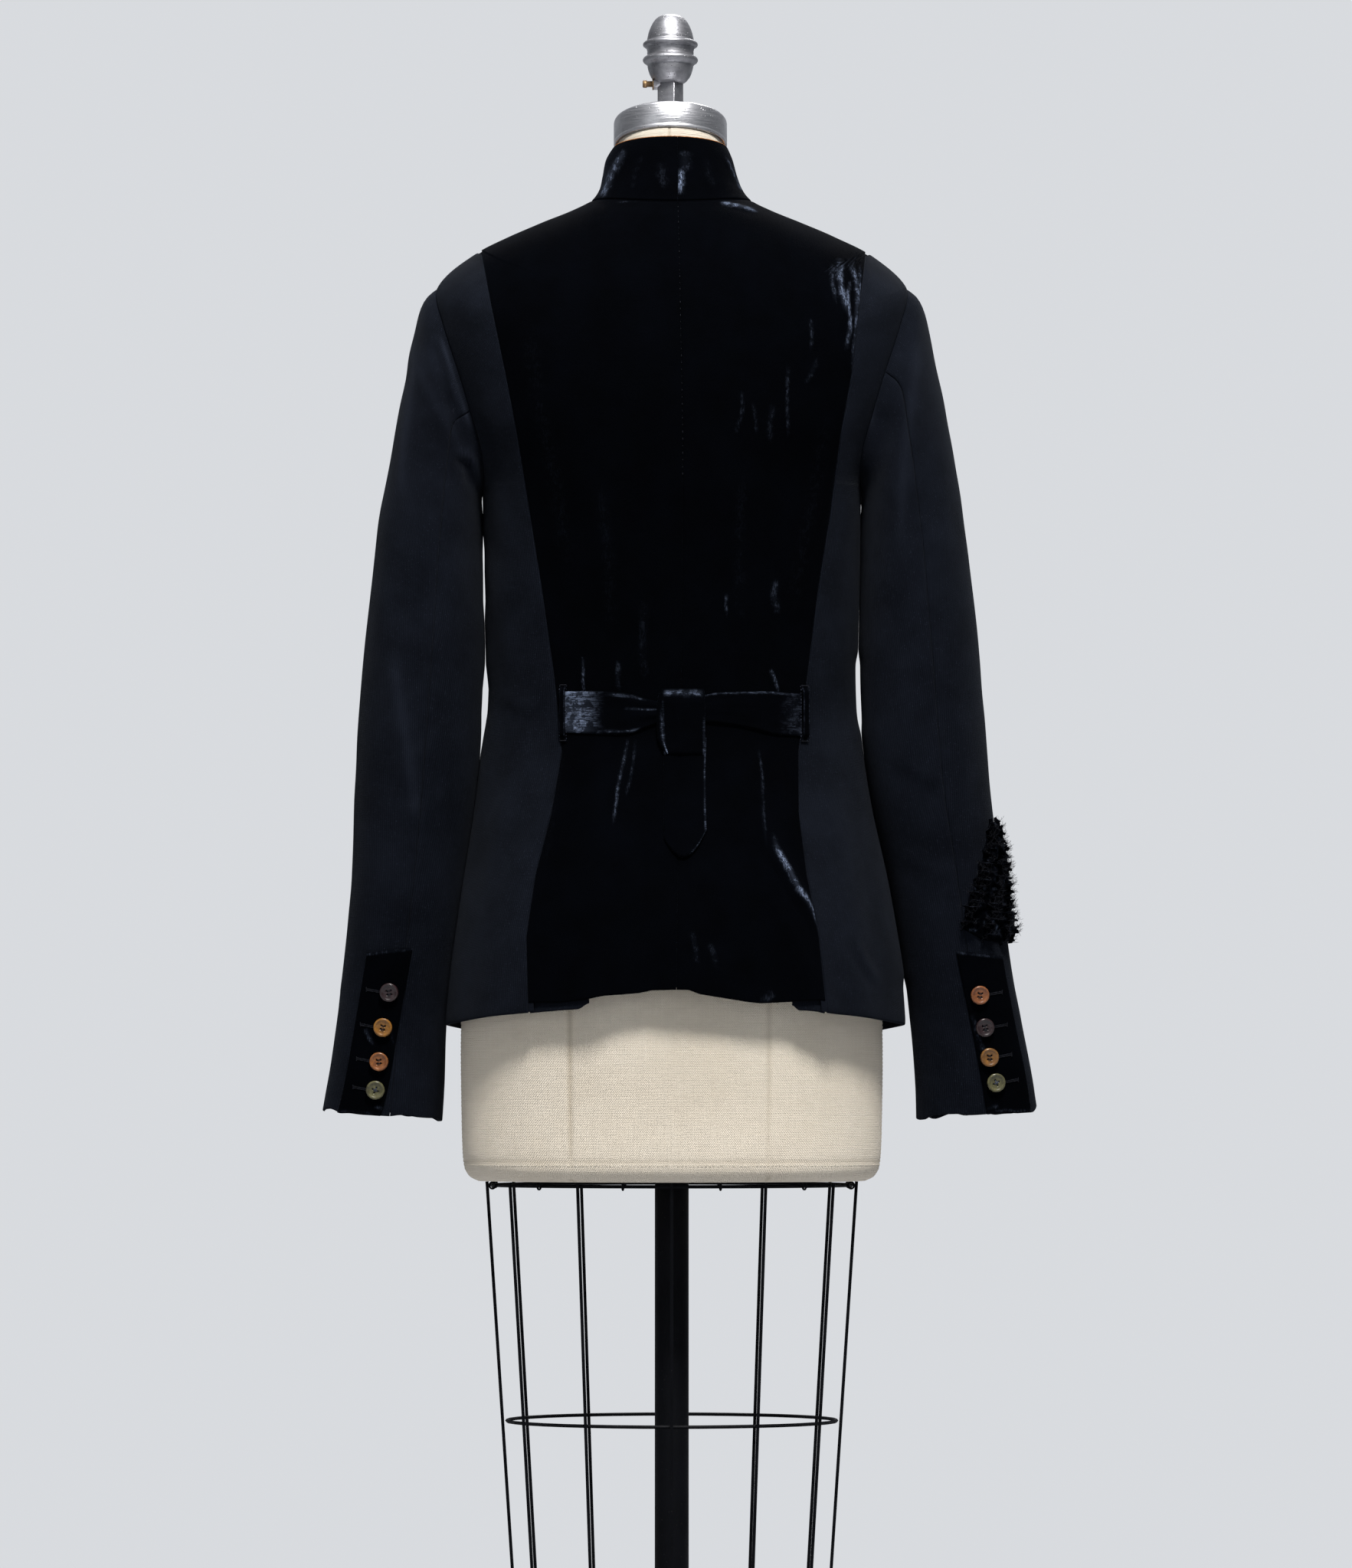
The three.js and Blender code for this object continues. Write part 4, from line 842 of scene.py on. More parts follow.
def makeVelvet(name, crushStretch=(1, 1, 0.22)):
    material, tree, shader = startMaterial(name)
    look = velvetLook
    place = objectPlace(tree)
    fuzz = effect(tree, fibreFuzz, place, 0.0011, 0.035, (1, 1, 0.5))
    nap = paintedSheenAndSeamMask(tree)
    streaks = effect(tree, fibreFuzz, place, 0.0011, 0.006, crushStretch)
    broken = times(tree, spread(tree, streaks.outputs["Height"], 0.42, 0.66),
        spread(tree, streaks.outputs["Cloud"], 0.3, 0.6))
    # painted highlight: the base colour is brightened where the folds' sheen streaks are set, in fine broken scratches
    shining = calc(tree, "MULTIPLY", calc(tree, "POWER", nap, 1.4), calc(tree, "ADD", 0.1, times(tree, broken, 1.3)),
        clamp=True)
    base = blendColour(tree, times(tree, fuzz.outputs["Cloud"], 0.45), look["pile"], look["haze"])
    shown = blendColour(tree, times(tree, shining, 0.85), base, look["crushed"])
    finish(tree, shader, baseColor=shown, roughness=spread(tree, shining, 0, 1, 0.95, 0.55), specularIORLevel=0.02,
        sheenWeight=look["sheen"], sheenRoughness=look["sheenRoughness"], sheenTint=look["sheenTint"])
    pile = calc(tree, "ADD", fuzz.outputs["Height"], times(tree, times(tree, streaks.outputs["Height"], nap), 1.6))
    bumped(tree, shader, pile, 0.0005, 0.8)
    return material


# the third colour serves both the dust specks and a painted highlight along the folds
woolLook = {"dark": colour(2.8, 4.2, 8.2), "light": colour(18, 21.5, 29.5), "fleck": colour(42, 47, 59)}


def makeWool(name):
    material, tree, shader = startMaterial(name)
    cloth = put(tree, "ShaderNodeTexCoord")
    place, across = cloth.outputs["Object"], put(tree, "ShaderNodeUVMap", uv_map="cloth").outputs[0]
    weave = effect(tree, threadWeave, across, 0.0009, 0.35, 1.0)
    fuzz = effect(tree, fibreFuzz, place, 0.0016, 0.05, (1, 1, 0.6))
    dust = effect(tree, specks, place, 0.0013, 0.11, 0.09)
    mottled = times(tree, calc(tree, "ADD", weave.outputs["Tone"], fuzz.outputs["Cloud"]), 0.5)
    base = blendColour(tree, mottled, woolLook["dark"], woolLook["light"])
    base = blendColour(tree, times(tree, dust.outputs["Spots"], 0.5), base, woolLook["fleck"])
    # painted highlight: the folds' mask lightens the wool towards the third colour
    nap = paintedSheenAndSeamMask(tree)
    base = blendColour(tree, times(tree, nap, 0.5), base, woolLook["fleck"])
    finish(tree, shader, baseColor=base, roughness=spread(tree, fuzz.outputs["Height"], 0.3, 0.7, 0.86, 0.98),
        specularIORLevel=0.03, sheenWeight=0.024, sheenRoughness=0.5, sheenTint=(0.78, 0.86, 1.0, 1))
    height = calc(tree, "ADD", times(tree, weave.outputs["Height"], 0.5), fuzz.outputs["Height"])
    bumped(tree, shader, height, 0.0005, 0.7)
    return material


linenLook = {"thread": colour(243, 233, 216), "shade": colour(226, 213, 192), "stain": colour(196, 178, 148),
    "seam": colour(176, 160, 134)}


def makeLinen(name):
    material, tree, shader = startMaterial(name)
    place = objectPlace(tree)
    across = put(tree, "ShaderNodeUVMap", uv_map="cloth").outputs[0]
    weave = effect(tree, threadWeave, across, 0.0011, 0.6, 0.0)
    marks = effect(tree, specks, place, 0.004, 0.05, 0.12)
    base = blendColour(tree, weave.outputs["Tone"], linenLook["shade"], linenLook["thread"])
    base = blendColour(tree, times(tree, marks.outputs["Stain"], 0.22), base, linenLook["stain"])
    seam = paintedSheenAndSeamMask(tree)
    base = blendColour(tree, times(tree, seam, 0.55), base, linenLook["seam"])
    finish(tree, shader, baseColor=base, roughness=spread(tree, weave.outputs["Tone"], 0, 1, 0.92, 0.8),
        specularIORLevel=0.25, sheenWeight=0.1)
    bumped(tree, shader, calc(tree, "SUBTRACT", weave.outputs["Height"], times(tree, seam, 1.5)), 0.0006, 0.8)
    return material


def makeMetal(name, bright, dull, roughness, stretch, pit, metallic=1.0, pitColour=(0.05, 0.045, 0.04, 1),
        bumpDepth=0.0004, specular=0.5):
    # turned or drawn metal: fine lines along its working direction, dull patches and pits
    material, tree, shader = startMaterial(name)
    place = objectPlace(tree)
    stretched = stretchedBy(tree, place, stretch)
    lines = noise(tree, stretched, 900.0, 4.0, 0.7)
    marks = effect(tree, specks, place, pit[0], pit[1], pit[2])
    base = blendColour(tree, times(tree, marks.outputs["Stain"], 0.7), bright, dull)
    base = blendColour(tree, times(tree, marks.outputs["Spots"], 0.8), base, pitColour)
    rough = calc(tree, "ADD", spread(tree, lines.outputs[0], 0.3, 0.7, roughness - 0.08, roughness + 0.1),
        times(tree, marks.outputs["Stain"], 0.12))
    finish(tree, shader, baseColor=base, roughness=rough, metallic=metallic, specularIORLevel=specular)
    height = calc(tree, "SUBTRACT", lines.outputs[0], times(tree, marks.outputs["Spots"], 1.5))
    bumped(tree, shader, height, bumpDepth, 0.6)
    return material


def makeHorn(name, pale, dark, grainDirection=(1, 1, 1), coat=0.3):
    # a polished horn or shell button with a cloudy grain
    material, tree, shader = startMaterial(name)
    place = objectPlace(tree)
    stretched = stretchedBy(tree, place, grainDirection)
    grain = noise(tree, stretched, 260.0, 5.0, 0.6, 1.2)
    marks = effect(tree, specks, place, 0.0012, 0.08, 0.006)
    share = times(tree, calc(tree, "ADD", spread(tree, grain.outputs[0], 0.35, 0.65), marks.outputs["Stain"]), 0.5)
    base = blendColour(tree, share, pale, dark)
    finish(tree, shader, baseColor=blendColour(tree, times(tree, marks.outputs["Spots"], 0.5), base, dark),
        roughness=spread(tree, marks.outputs["Stain"], 0, 1, 0.24, 0.42), specularIORLevel=0.3, coatWeight=coat,
        coatRoughness=0.12)
    bumped(tree, shader, grain.outputs[0], 0.0002, 0.4)
    return material


def makeThread(name, pale, dark):
    material, tree, shader = startMaterial(name)
    place = objectPlace(tree)
    fuzz = effect(tree, fibreFuzz, place, 0.0004, 0.004, (1, 1, 1))
    finish(tree, shader, baseColor=blendColour(tree, fuzz.outputs["Cloud"], pale, dark),
        roughness=spread(tree, fuzz.outputs["Height"], 0.3, 0.7, 0.7, 0.9), sheenWeight=0.02, specularIORLevel=0.15)
    bumped(tree, shader, fuzz.outputs["Height"], 0.0002, 0.6)
    return material


def makeFloor(name):
    material, tree, shader = startMaterial(name)
    place = objectPlace(tree)
    marks = effect(tree, specks, place, 0.01, 0.01, 0.6)
    base = blendColour(tree, times(tree, marks.outputs["Stain"], 0.15), colour(160, 162, 166), colour(150, 152, 157))
    finish(tree, shader, baseColor=base, roughness=0.85)
    return material


velvetCloth = makeVelvet("velvet")
beltVelvet = makeVelvet("beltVelvet", crushStretch=(0.12, 0.12, 1.6))
woolCloth = makeWool("wool")
linenCloth = makeLinen("linen")
brightCap = makeMetal("brushedCap", colour(212, 212, 215), colour(160, 160, 165), 0.3, (0.06, 0.06, 1.0),
    (0.0016, 0.06, 0.02))
darkCap = makeMetal("turnedKnob", colour(172, 172, 176), colour(108, 108, 113), 0.38, (0.06, 0.06, 1.0),
    (0.0013, 0.14, 0.012))
rustyScrew = makeMetal("rustyScrew", colour(142, 118, 86), colour(92, 62, 40), 0.5, (0.4, 1, 1), (0.001, 0.3, 0.004),
    metallic=0.8)
blackSteel = makeMetal("blackSteel", colour(9, 10, 14), colour(5, 6, 8), 0.5, (1, 1, 0.08), (0.002, 0.05, 0.03),
    metallic=0.0, pitColour=colour(24, 24, 24), specular=0.06)
castIron = makeMetal("castIron", colour(34, 35, 40), colour(18, 19, 22), 0.55, (1, 1, 1), (0.003, 0.2, 0.05),
    metallic=0.0, pitColour=colour(52, 50, 50), bumpDepth=0.0012, specular=0.25)
darkThread = makeThread("darkThread", colour(20, 22, 30), colour(10, 11, 16))
greyThread = makeThread("greyThread", colour(66, 72, 86), colour(40, 44, 54))
collarEdgeThread = makeThread("collarEdgeThread", colour(178, 116, 56), colour(120, 74, 36))
hornLooks = {
    "maroon": makeHorn("maroonHorn", colour(42, 26, 28), colour(22, 13, 15), coat=0.45),
    "amber": makeHorn("amberHorn", colour(138, 94, 34), colour(88, 54, 20)),
    "orange": makeHorn("orangeHorn", colour(136, 84, 42), colour(92, 52, 26)),
    "olive": makeHorn("oliveHorn", colour(92, 89, 60), colour(50, 48, 31)),
    "copper": makeHorn("copperHorn", colour(130, 80, 46), colour(86, 48, 28)),
    "brownAmber": makeHorn("brownAmberHorn", colour(128, 88, 40), colour(60, 36, 20)),
}
print("materials made")


def clothOffsets(points, folds, where, swell, seed):
    # the listed folds, and the small unevenness that hanging cloth has everywhere
    lift, nap = creased(points, folds, where)
    lift = lift + swell * (0.65 * softNoise(points * [1, 1, 0.45], 55, seed)
        + 0.35 * softNoise(points * [1, 1, 0.7], 19, seed + 1))
    return lift, nap


# folds lie on the back, as paths of (x, z); lift is their height and shine the strength of the painted highlight along
# them
velvetBack = {
    "columns": 84, "pitch": 3.1, "swell": 0.55, "seamReach": 3.2, "seamDepth": 1.15,
    "left": {"flat": (0.177, 0.672), "area": 0.0815, "folds": [
        fold([(35, 968), (39, 946), (43, 929), (45, 912), (48, 893)], 5, 2.6, 0.42, 1.0),
        fold([(29, 966), (32, 940), (38, 915)], 4, 1.8, 0.2, 0.9),
        fold([(72, 1034), (72, 1020), (72, 1004)], 4, 1.2, 0.6, 0.8),
        fold([(43, 1030), (44, 1012), (42, 1004)], 5, 1.0, 0.22, 1.6),
        fold([(86, 965), (92, 930), (97, 890), (104, 850)], 8, 1.8, 0.02, 2),
        fold([(60, 965), (66, 920), (72, 870), (76, 800)], 9, 1.6),
        fold([(14, 860), (18, 810), (20, 765)], 10, 1.6),
        fold([(103, 751), (90, 751)], 3, 0.4, 0.45, 0.9),
        fold([(120, 1320), (108, 1240), (92, 1160), (84, 1090)], 16, 1.2, 0.03),
        fold([(60, 1180), (52, 1120), (50, 1050)], 13, 1.1, 0.03),
        fold([(48, 1411), (28, 1412), (4, 1412.5)], 2, 0.3, 0.16, 1.0),
        fold([(22, 1080), (24, 1040), (20, 1010)], 7, 0.8, 0.07, 3),
    ]},
    "right": {"flat": (0.18, 0.672), "area": 0.0888, "folds": [
        fold([(-81, 890), (-86, 873), (-93, 858), (-100, 844), (-111, 829), (-119, 815), (-124, 800), (-125, 776)], 7,
            4.0, 1.0, 1.9, beside=0.8),
        fold([(-70, 962), (-73, 937), (-74, 905), (-77, 872)], 5, 2.2, 0.16, 1.0),
        fold([(-82, 955), (-88, 930), (-95, 900), (-106, 862)], 6, 1.5),
        fold([(-140, 1366), (-138, 1348), (-140, 1330), (-146, 1312)], 2.6, 1.5, 0.85, 1.9),
        fold([(-145, 1366), (-150, 1350), (-152, 1330), (-150, 1306)], 2.2, 1.4, 0.75, 1.2),
        fold([(-147, 1345), (-144, 1327), (-146, 1306), (-142, 1282)], 2.4, 1.3, 0.8, 1.3),
        fold([(-155, 1362), (-154, 1335), (-150, 1300), (-147, 1266)], 2.2, 1.2, 0.6, 1.0),
        fold([(-133, 1360), (-132, 1340), (-135, 1322)], 3, 0.9, 0.35, 1.4),
        fold([(-113, 1310), (-114, 1296), (-113, 1280)], 5, 0.9, 0.22, 1.1),
        fold([(-119, 1276), (-112, 1260), (-108, 1254)], 5, 0.9, 0.22, 1.4),
        fold([(-95, 1272), (-94, 1252), (-94, 1232), (-95, 1208)], 5, 1.0, 0.24, 1.0),
        fold([(-57, 1248), (-57, 1230), (-51, 1212)], 5, 0.8, 0.2, 1.0),
        fold([(-66, 1240), (-68, 1226), (-69, 1212)], 5, 0.8, 0.14, 1.2),
        fold([(-82, 1238), (-80, 1220), (-81, 1206)], 5, 0.7, 0.16, 2),
        fold([(-87, 1096), (-83, 1084), (-87, 1068)], 6, 0.9, 0.24, 2.2),
        fold([(-45, 1084), (-44, 1074), (-45, 1066)], 4, 0.6, 0.4, 0.8),
        fold([(-80, 1024), (-84, 1014), (-87, 1004)], 4, 1.2, 0.5, 1.1),
        fold([(-16, 808), (-19, 796), (-20, 782)], 6, 1.0, 0.14, 1.8),
        fold([(-30, 800), (-34, 790), (-35, 780)], 6, 1.0, 0.12, 2.0),
        fold([(-84, 764), (-76, 760), (-70, 758)], 6, 0.9, 0.14, 3),
        fold([(-39, 1411), (-52, 1409), (-72, 1405)], 2.4, 0.9, 1.0, 1.5),
        fold([(-128, 1240), (-118, 1180), (-104, 1110), (-98, 1060)], 15, 1.2, 0.03),
        fold([(-60, 1190), (-54, 1120), (-58, 1050)], 13, 1.0, 0.03),
        fold([(-48, 880), (-54, 830), (-58, 775)], 12, 1.8),
    ]},
    # how far the hem dips below an even line, by distance from the middle
    "hemDips": [(-170, 0), (-124, -1), (-94, -4.8), (-72, -7.6), (-62, -7.2), (-47, -5.6), (-23, -2.7), (-14, 0.4),
        (16, 0.5),
                (27, -1.4), (54, -2.8), (69, -4.9), (90, -5.1), (116, -2.6), (170, 0)],
}
woolSides = {
    "columns": 40, "pitch": 3.4, "swell": 0.7, "seamReach": 3.0, "seamDepth": 0.55,
    "left": {"flat": (0.118, 0.66), "area": 0.058, "folds": [
        fold([(150, 1190), (142, 1150), (132, 1110)], 8, 1.4),
        fold([(146, 1120), (138, 1060), (128, 1010)], 10, 1.5),
        fold([(140, 1010), (126, 996), (106, 990)], 6, 1.3),
        fold([(128, 960), (138, 900), (150, 830), (158, 770)], 12, 2.0),
        fold([(164, 860), (172, 800), (176, 750)], 9, 1.2),
    ]},
    "right": {"flat": (0.11, 0.66), "area": 0.0525, "folds": [
        fold([(-149, 806), (-156, 786), (-172, 764)], 4, 1.5, 0.12, 1.4),
        fold([(-150, 1180), (-144, 1140), (-138, 1100)], 8, 1.3),
        fold([(-146, 1080), (-138, 1030), (-130, 1000)], 9, 1.4),
        fold([(-128, 950), (-140, 890), (-152, 820), (-158, 770)], 12, 1.9),
        fold([(-166, 880), (-175, 820), (-178, 760)], 8, 1.1),
    ]},
}
# folds on the front are paths of (x, z) too, mirrored for the wearer's right
fronts = {
    "columns": 62, "pitch": 3.6, "swell": 0.7, "seamReach": 3.0, "seamDepth": 0.9, "flat": (0.245, 0.68),
        "area": 0.1415,
    "folds": [
        fold([(120, 1230), (96, 1200), (74, 1190)], 12, 1.5),
        fold([(138, 1160), (112, 1090), (92, 1040), (84, 1000)], 13, 1.8),
        fold([(60, 1150), (52, 1080), (50, 1010)], 11, 1.4),
        fold([(126, 1010), (100, 996), (70, 992)], 7, 1.4),
        fold([(110, 960), (120, 890), (132, 820), (138, 745)], 14, 2.2),
        fold([(58, 950), (66, 880), (74, 800), (78, 735)], 13, 1.8),
        fold([(150, 1290), (132, 1262), (110, 1250)], 9, 1.2),
    ],
}
collarLook = {
    "columns": 84, "pitch": 2.0, "swell": 0.3, "seamReach": 2.4, "seamDepth": 0.8,
    "left": {"flat": (0.205, 0.06), "area": 0.0098, "folds": [
        fold([(38, 1459), (44, 1448), (50, 1438), (54, 1427), (60, 1417)], 4, 0.8, 0.85, 2.8),
        fold([(24, 1452), (30, 1436), (34, 1420)], 6, 0.5, 0.05),
        fold([(10, 1446), (8, 1432), (4, 1420)], 4, 0.4, 0.12, 3.5),
    ]},
    "right": {"flat": (0.2, 0.06), "area": 0.0095, "folds": [
        fold([(-7, 1440), (-7, 1430), (-6, 1416)], 3, 0.6, 1.0, 2.6),
        fold([(-44, 1456), (-51, 1441), (-59, 1424)], 3, 0.4, 0.5, 1.2),
        fold([(-12, 1455), (-11, 1444), (-13, 1436)], 4, 0.4, 0.22, 4),
        fold([(-28, 1450), (-30, 1436), (-36, 1420)], 6, 0.5, 0.06),
    ]},
}


def panel(name, node, rows, start, end, look, cut, material, restsOn, seed, hem=None, seamTop=True,
        backOnly=True):
    angles = acrossRows(rows, start, end, look["columns"])
    grid = np.broadcast_to(rows[:, None], angles.shape)
    face = bodyPoint(angles, grid)
    out = bodyOut(angles, grid)
    fromEdge = travelled(face, axis=1)
    toEdge = fromEdge[:, -1:] - fromEdge
    fromTop = travelled(face, axis=0)
    toHem = fromTop[-1:] - fromTop
    where = face[..., 1] > 0 if backOnly else face[..., 1] < 0
    lift, nap = clothOffsets(face, cut["folds"], where, look["swell"], seed)
    nearest = np.minimum(np.minimum(fromEdge, toEdge), fromTop if seamTop else toHem)
    lift = lift * smooth(np.minimum(nearest, toHem) / 9 + 0.12)  # the seams hold the cloth flat
    lift = np.clip(lift, -1.6, 4.6) * (1 - besideArm(angles) * (grid > 13))
    edge = rolled(np.minimum(fromEdge, toEdge), look["seamReach"], look["seamDepth"])
    edge = np.maximum(edge, rolled(fromTop, look["seamReach"], look["seamDepth"]))
    edge = np.maximum(edge, rolled(toHem, 1.4, 0.9))
    if hem is not None:
        drop = np.interp(face[..., 0], [h[0] for h in hem], [h[1] for h in hem])
        face = face + np.stack([0 * drop, 0 * drop, drop * smooth(1 - toHem / 70)], -1)
    thing = thinShell(name, face, out, 2.0, material, lift, edge, nap)
    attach(thing, "root")
    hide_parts(node)
    return thing, (cut["flat"], cut["area"], restsOn)


def makeBodyPanels():
    top = seamRow["neck"] + 0.05
    for side in (left, right):
        key, towards = sideName[side], -1 if side == left else 1
        gap = lambda angle, row, share=0.5: share * angleFor(0.3, angle, row)
        woolTopRow = float(solve(lambda r: side * bodyPoint(sideAngle(side, 0.0), r)[..., 0] - np.interp(
            bodyPoint(sideAngle(side, 0.0), r)[..., 2], velvetCut[::-1, 0], velvetCut[::-1, 1 if side == left else 3]),
                4.0, 9.0))
        rows = rowLine(top, seamRow["velvetHem"], math.pi / 2, velvetBack["pitch"])
        rows = np.sort(np.concatenate([rows, [woolTopRow, woolTopRow + 0.1, woolTopRow + 0.2]]))
        start, end = centreBack(rows), velvetEdge(side, rows)
        start, end = start + towards * gap(start, rows), end - towards * gap(end, rows, 0.7)
        panel(
            f"velvetBack.{key}", f"back_{key}", rows, start, end, velvetBack, velvetBack[key], velvetCloth,
            ["form_torso"], 3 + side, velvetBack["hemDips"])

        rows = rowLine(woolTopRow + 0.12, seamRow["woolHem"], sideAngle(side, 0.6), woolSides["pitch"], True)
        start, end = velvetEdge(side, rows), sideAngle(side, armholeEdge(rows))
        start, end = start + towards * gap(start, rows, 0.7), end - towards * gap(end, rows)
        panel(
            f"woolSide.{key}", f"side_{key}", rows, start, end, woolSides, woolSides[key], woolCloth,
            ["form_torso"], 7 + side, seamTop=False)

        rows = rowLine(top, seamRow["woolHem"], -math.pi / 2 + 0.3 * side, fronts["pitch"], True)
        start = sideAngle(side, -armholeEdge(rows))
        start, end = start + towards * gap(start, rows), centreFront(side, rows)
        cut = dict(fronts, folds=[dict(f, path=[(side * x, z) for x, z in f["path"]]) for f in fronts["folds"]])
        panel(
            f"front.{key}", f"front_{key}", rows, start, end, fronts, cut, woolCloth,
            ["form_torso"], 11 + side, backOnly=False)

        rows = rowLine(0.0, seamRow["neck"] - 0.05, math.pi / 2, collarLook["pitch"])
        start, end = centreBack(rows), centreFront(side, rows)
        if side == right:
            end = np.where(end < math.pi / 2, end + 2 * math.pi, end)
        start = start + towards * gap(start, rows)
        panel(
            f"collar.{key}", f"collar_{key}", rows, start, end, collarLook, collarLook[key], velvetCloth,
            [f"velvetBack.{key}", f"front.{key}"], 15 + side, seamTop=False)
    print("body panels and collar made")


makeBodyPanels()


# the wool goes on behind the velvet's lower corners, so its hem shows below them
hemFacings = {
    "reach": {left: 68, right: -98}, "flat": {left: (0.05, 0.028), right: (0.032, 0.028)},
    "firstRow": 22.5, "lastRow": 24, "behind": 3.4, "droop": 4, "thickness": 1.4,
}


def makeHemFacings():
    look = hemFacings
    for side in (left, right):
        key = sideName[side]
        rows = np.linspace(look["firstRow"], look["lastRow"], 14)
        inside = solve(lambda a: look["reach"][side] - bodyPoint(a, rows)[..., 0], np.radians(45) + 0 * rows,
            np.radians(135) + 0 * rows)
        edge = velvetEdge(side, rows)
        share = np.linspace(0, 1, 30)[None]
        angles = edge[:, None] + (inside - edge)[:, None] * share
        grid = np.broadcast_to(rows[:, None], angles.shape)
        out = bodyOut(angles, grid)
        face = bodyPoint(angles, grid) - out * look["behind"]
        corner = 1 - smooth((share - 0.8) * 5)
        face[..., 2] += (1 - corner) * look["droop"] * (grid - look["firstRow"]) / (look["lastRow"] - look["firstRow"])
        toHem = travelled(face, axis=0)[-1:] - travelled(face, axis=0)
        thing = thinShell(f"hemFacing.{key}", face, out, look["thickness"], woolCloth, 0.2 * softNoise(face, 9, 2),
            rolled(toHem, 1.2, 0.6))
        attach(thing, "root")
        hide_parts(f"hem_facing_{key}")


makeHemFacings()

# a sleeve's seams run at these angles, from its outer edge towards the back
sleeveSeams = {left: (math.radians(-80), math.radians(100)), right: (math.radians(-100), math.radians(80))}
sleeves = {
    "columns": 62, "pitch": 3.4, "swell": 0.9, "seamReach": 3.2, "seamDepth": 0.85, "radius": 37, "trim": 0.12,
    "flat": {"top": (0.2, 0.66), "under": (0.185, 0.55)}, "area": {"top": 0.0905, "under": 0.079},
    "left": [
        fold([(226, 1318), (216, 1292), (200, 1257), (182, 1223), (168, 1198)], 9, 1.3, 0.2, 4),
        fold([(199, 1304), (189, 1295), (176, 1252), (163, 1220)], 4.5, 4.2, 0.6, 1.8, beside=0.7),
        fold([(182, 1206), (172, 1203), (162, 1196), (158, 1172)], 4, 3.0, 0.6, 2, beside=0.9),
        fold([(230, 1050), (222, 990), (212, 930), (208, 890)], 10, 1.8, 0.3, 5),
        fold([(176, 1130), (182, 1080), (180, 1030)], 9, 1.4),
        fold([(209, 1296), (219, 1224), (223, 1160)], 9, 1.8, 0.4, 4),
        fold([(186, 990), (196, 962), (216, 948)], 7, 1.4),
        fold([(184, 930), (200, 912), (226, 905)], 8, 1.4),
        fold([(240, 1180), (236, 1110), (240, 1040)], 10, 1.4),
        fold([(222, 860), (214, 810), (216, 770)], 9, 1.0),
        fold([(262, 860), (266, 800), (276, 730)], 8, 1.0),
    ],
    "right": [
        fold([(-182, 1316), (-174, 1275), (-166, 1248), (-164, 1216)], 6, 2.4, 0.4, 2.5, beside=0.9),
        fold([(-190, 1290), (-176, 1254), (-170, 1230)], 6, 1.4),
        fold([(-206, 1310), (-196, 1240), (-190, 1180), (-188, 1120)], 12, 1.8, 0.3, 5),
        fold([(-226, 1240), (-222, 1160), (-224, 1090)], 11, 1.4),
        fold([(-184, 1050), (-192, 990), (-196, 930)], 9, 1.6),
        fold([(-180, 960), (-204, 940), (-232, 934)], 7, 1.3),
        fold([(-190, 880), (-214, 862), (-236, 858)], 8, 1.2),
        fold([(-236, 1010), (-240, 950), (-238, 900)], 9, 1.4),
    ],
}


def hemWave(face):
    # the cuffs' hems are pulled a little up and down
    share = smooth((705 - face[..., 2]) / 50)
    return (share * 3.1 * softNoise(face * [1, 1, 0], 13, 40))[..., None] * np.array([0, 0, 1.0])


def makeSleeves():
    look = sleeves
    fine = np.linspace(0, lastCuffRow, 600)
    for side in (left, right):
        key = sideName[side]
        travel = travelled(sleevePoint(side, np.full(600, math.pi / 2), fine))
        rows = np.interp(crowded(travel[-1], round(travel[-1] / look["pitch"])), travel, fine)
        front, back = sleeveSeams[side]
        for part, start, end in (("top", front, back), ("under", back, front + 2 * math.pi)):
            share = np.linspace(0, 1, 33)
            turns = start + (end - start) * share
            lines = travelled(sleevePoint(side, turns[None, :], rows[:, None]), axis=1)
            grid = np.array([np.interp(crowded(line[-1], look["columns"]), line, turns) for line in lines])
            trim = look["trim"] / look["radius"]
            grid = start + trim + (grid - start) * (end - start - 2 * trim) / (end - start)
            places = np.broadcast_to(rows[:, None], grid.shape)
            face, out = sleevePoint(side, grid, places), sleeveOut(side, grid, places)
            face = face + hemWave(face)
            fromEdge = travelled(face, axis=1)
            toEdge, fromTop = fromEdge[:, -1:] - fromEdge, travelled(face, axis=0)
            toHem = fromTop[-1:] - fromTop
            onBack = face[..., 1] > -12
            lift, nap = clothOffsets(face, look[key], onBack, look["swell"], 21 + side)
            frontFolds = [dict(f, path=[(x, z - 12) for x, z in f["path"]])
                for f in look["left" if side == right else "right"]]
            frontFolds = [dict(f, path=[(-x, z) for x, z in f["path"]], shine=0) for f in frontFolds]
            lift = lift + creased(face, frontFolds, ~onBack)[0] * smooth((-12 - face[..., 1]) / 12)
            held = np.minimum(np.minimum(fromEdge, toEdge) / 7 + 0.25, np.minimum(fromTop, toHem) / 12)
            lift = np.clip(lift * smooth(held), -1.5, 3.4) * (1 - besideBody(grid) * smooth(places))
            edge = np.maximum(rolled(np.minimum(fromEdge, toEdge), look["seamReach"], look["seamDepth"]),
                rolled(fromTop, 3.2, 0.5))
            edge = np.maximum(edge, rolled(toHem, 1.4, 0.9))
            thick = 2.0 - 1.2 * (1 - smooth(fromTop / 8))  # thin where it joins the body
            thing = thinShell(f"sleeve.{part}.{key}", face, out, thick, woolCloth, lift, edge, nap)
            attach(thing, "root")
            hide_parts(f"sleeve_{part}_{key}")
    print("sleeves made")


makeSleeves()


tapes = {"thickness": 0.4, "within": 1.1}  # how thin they are, and how far below the cloth's face


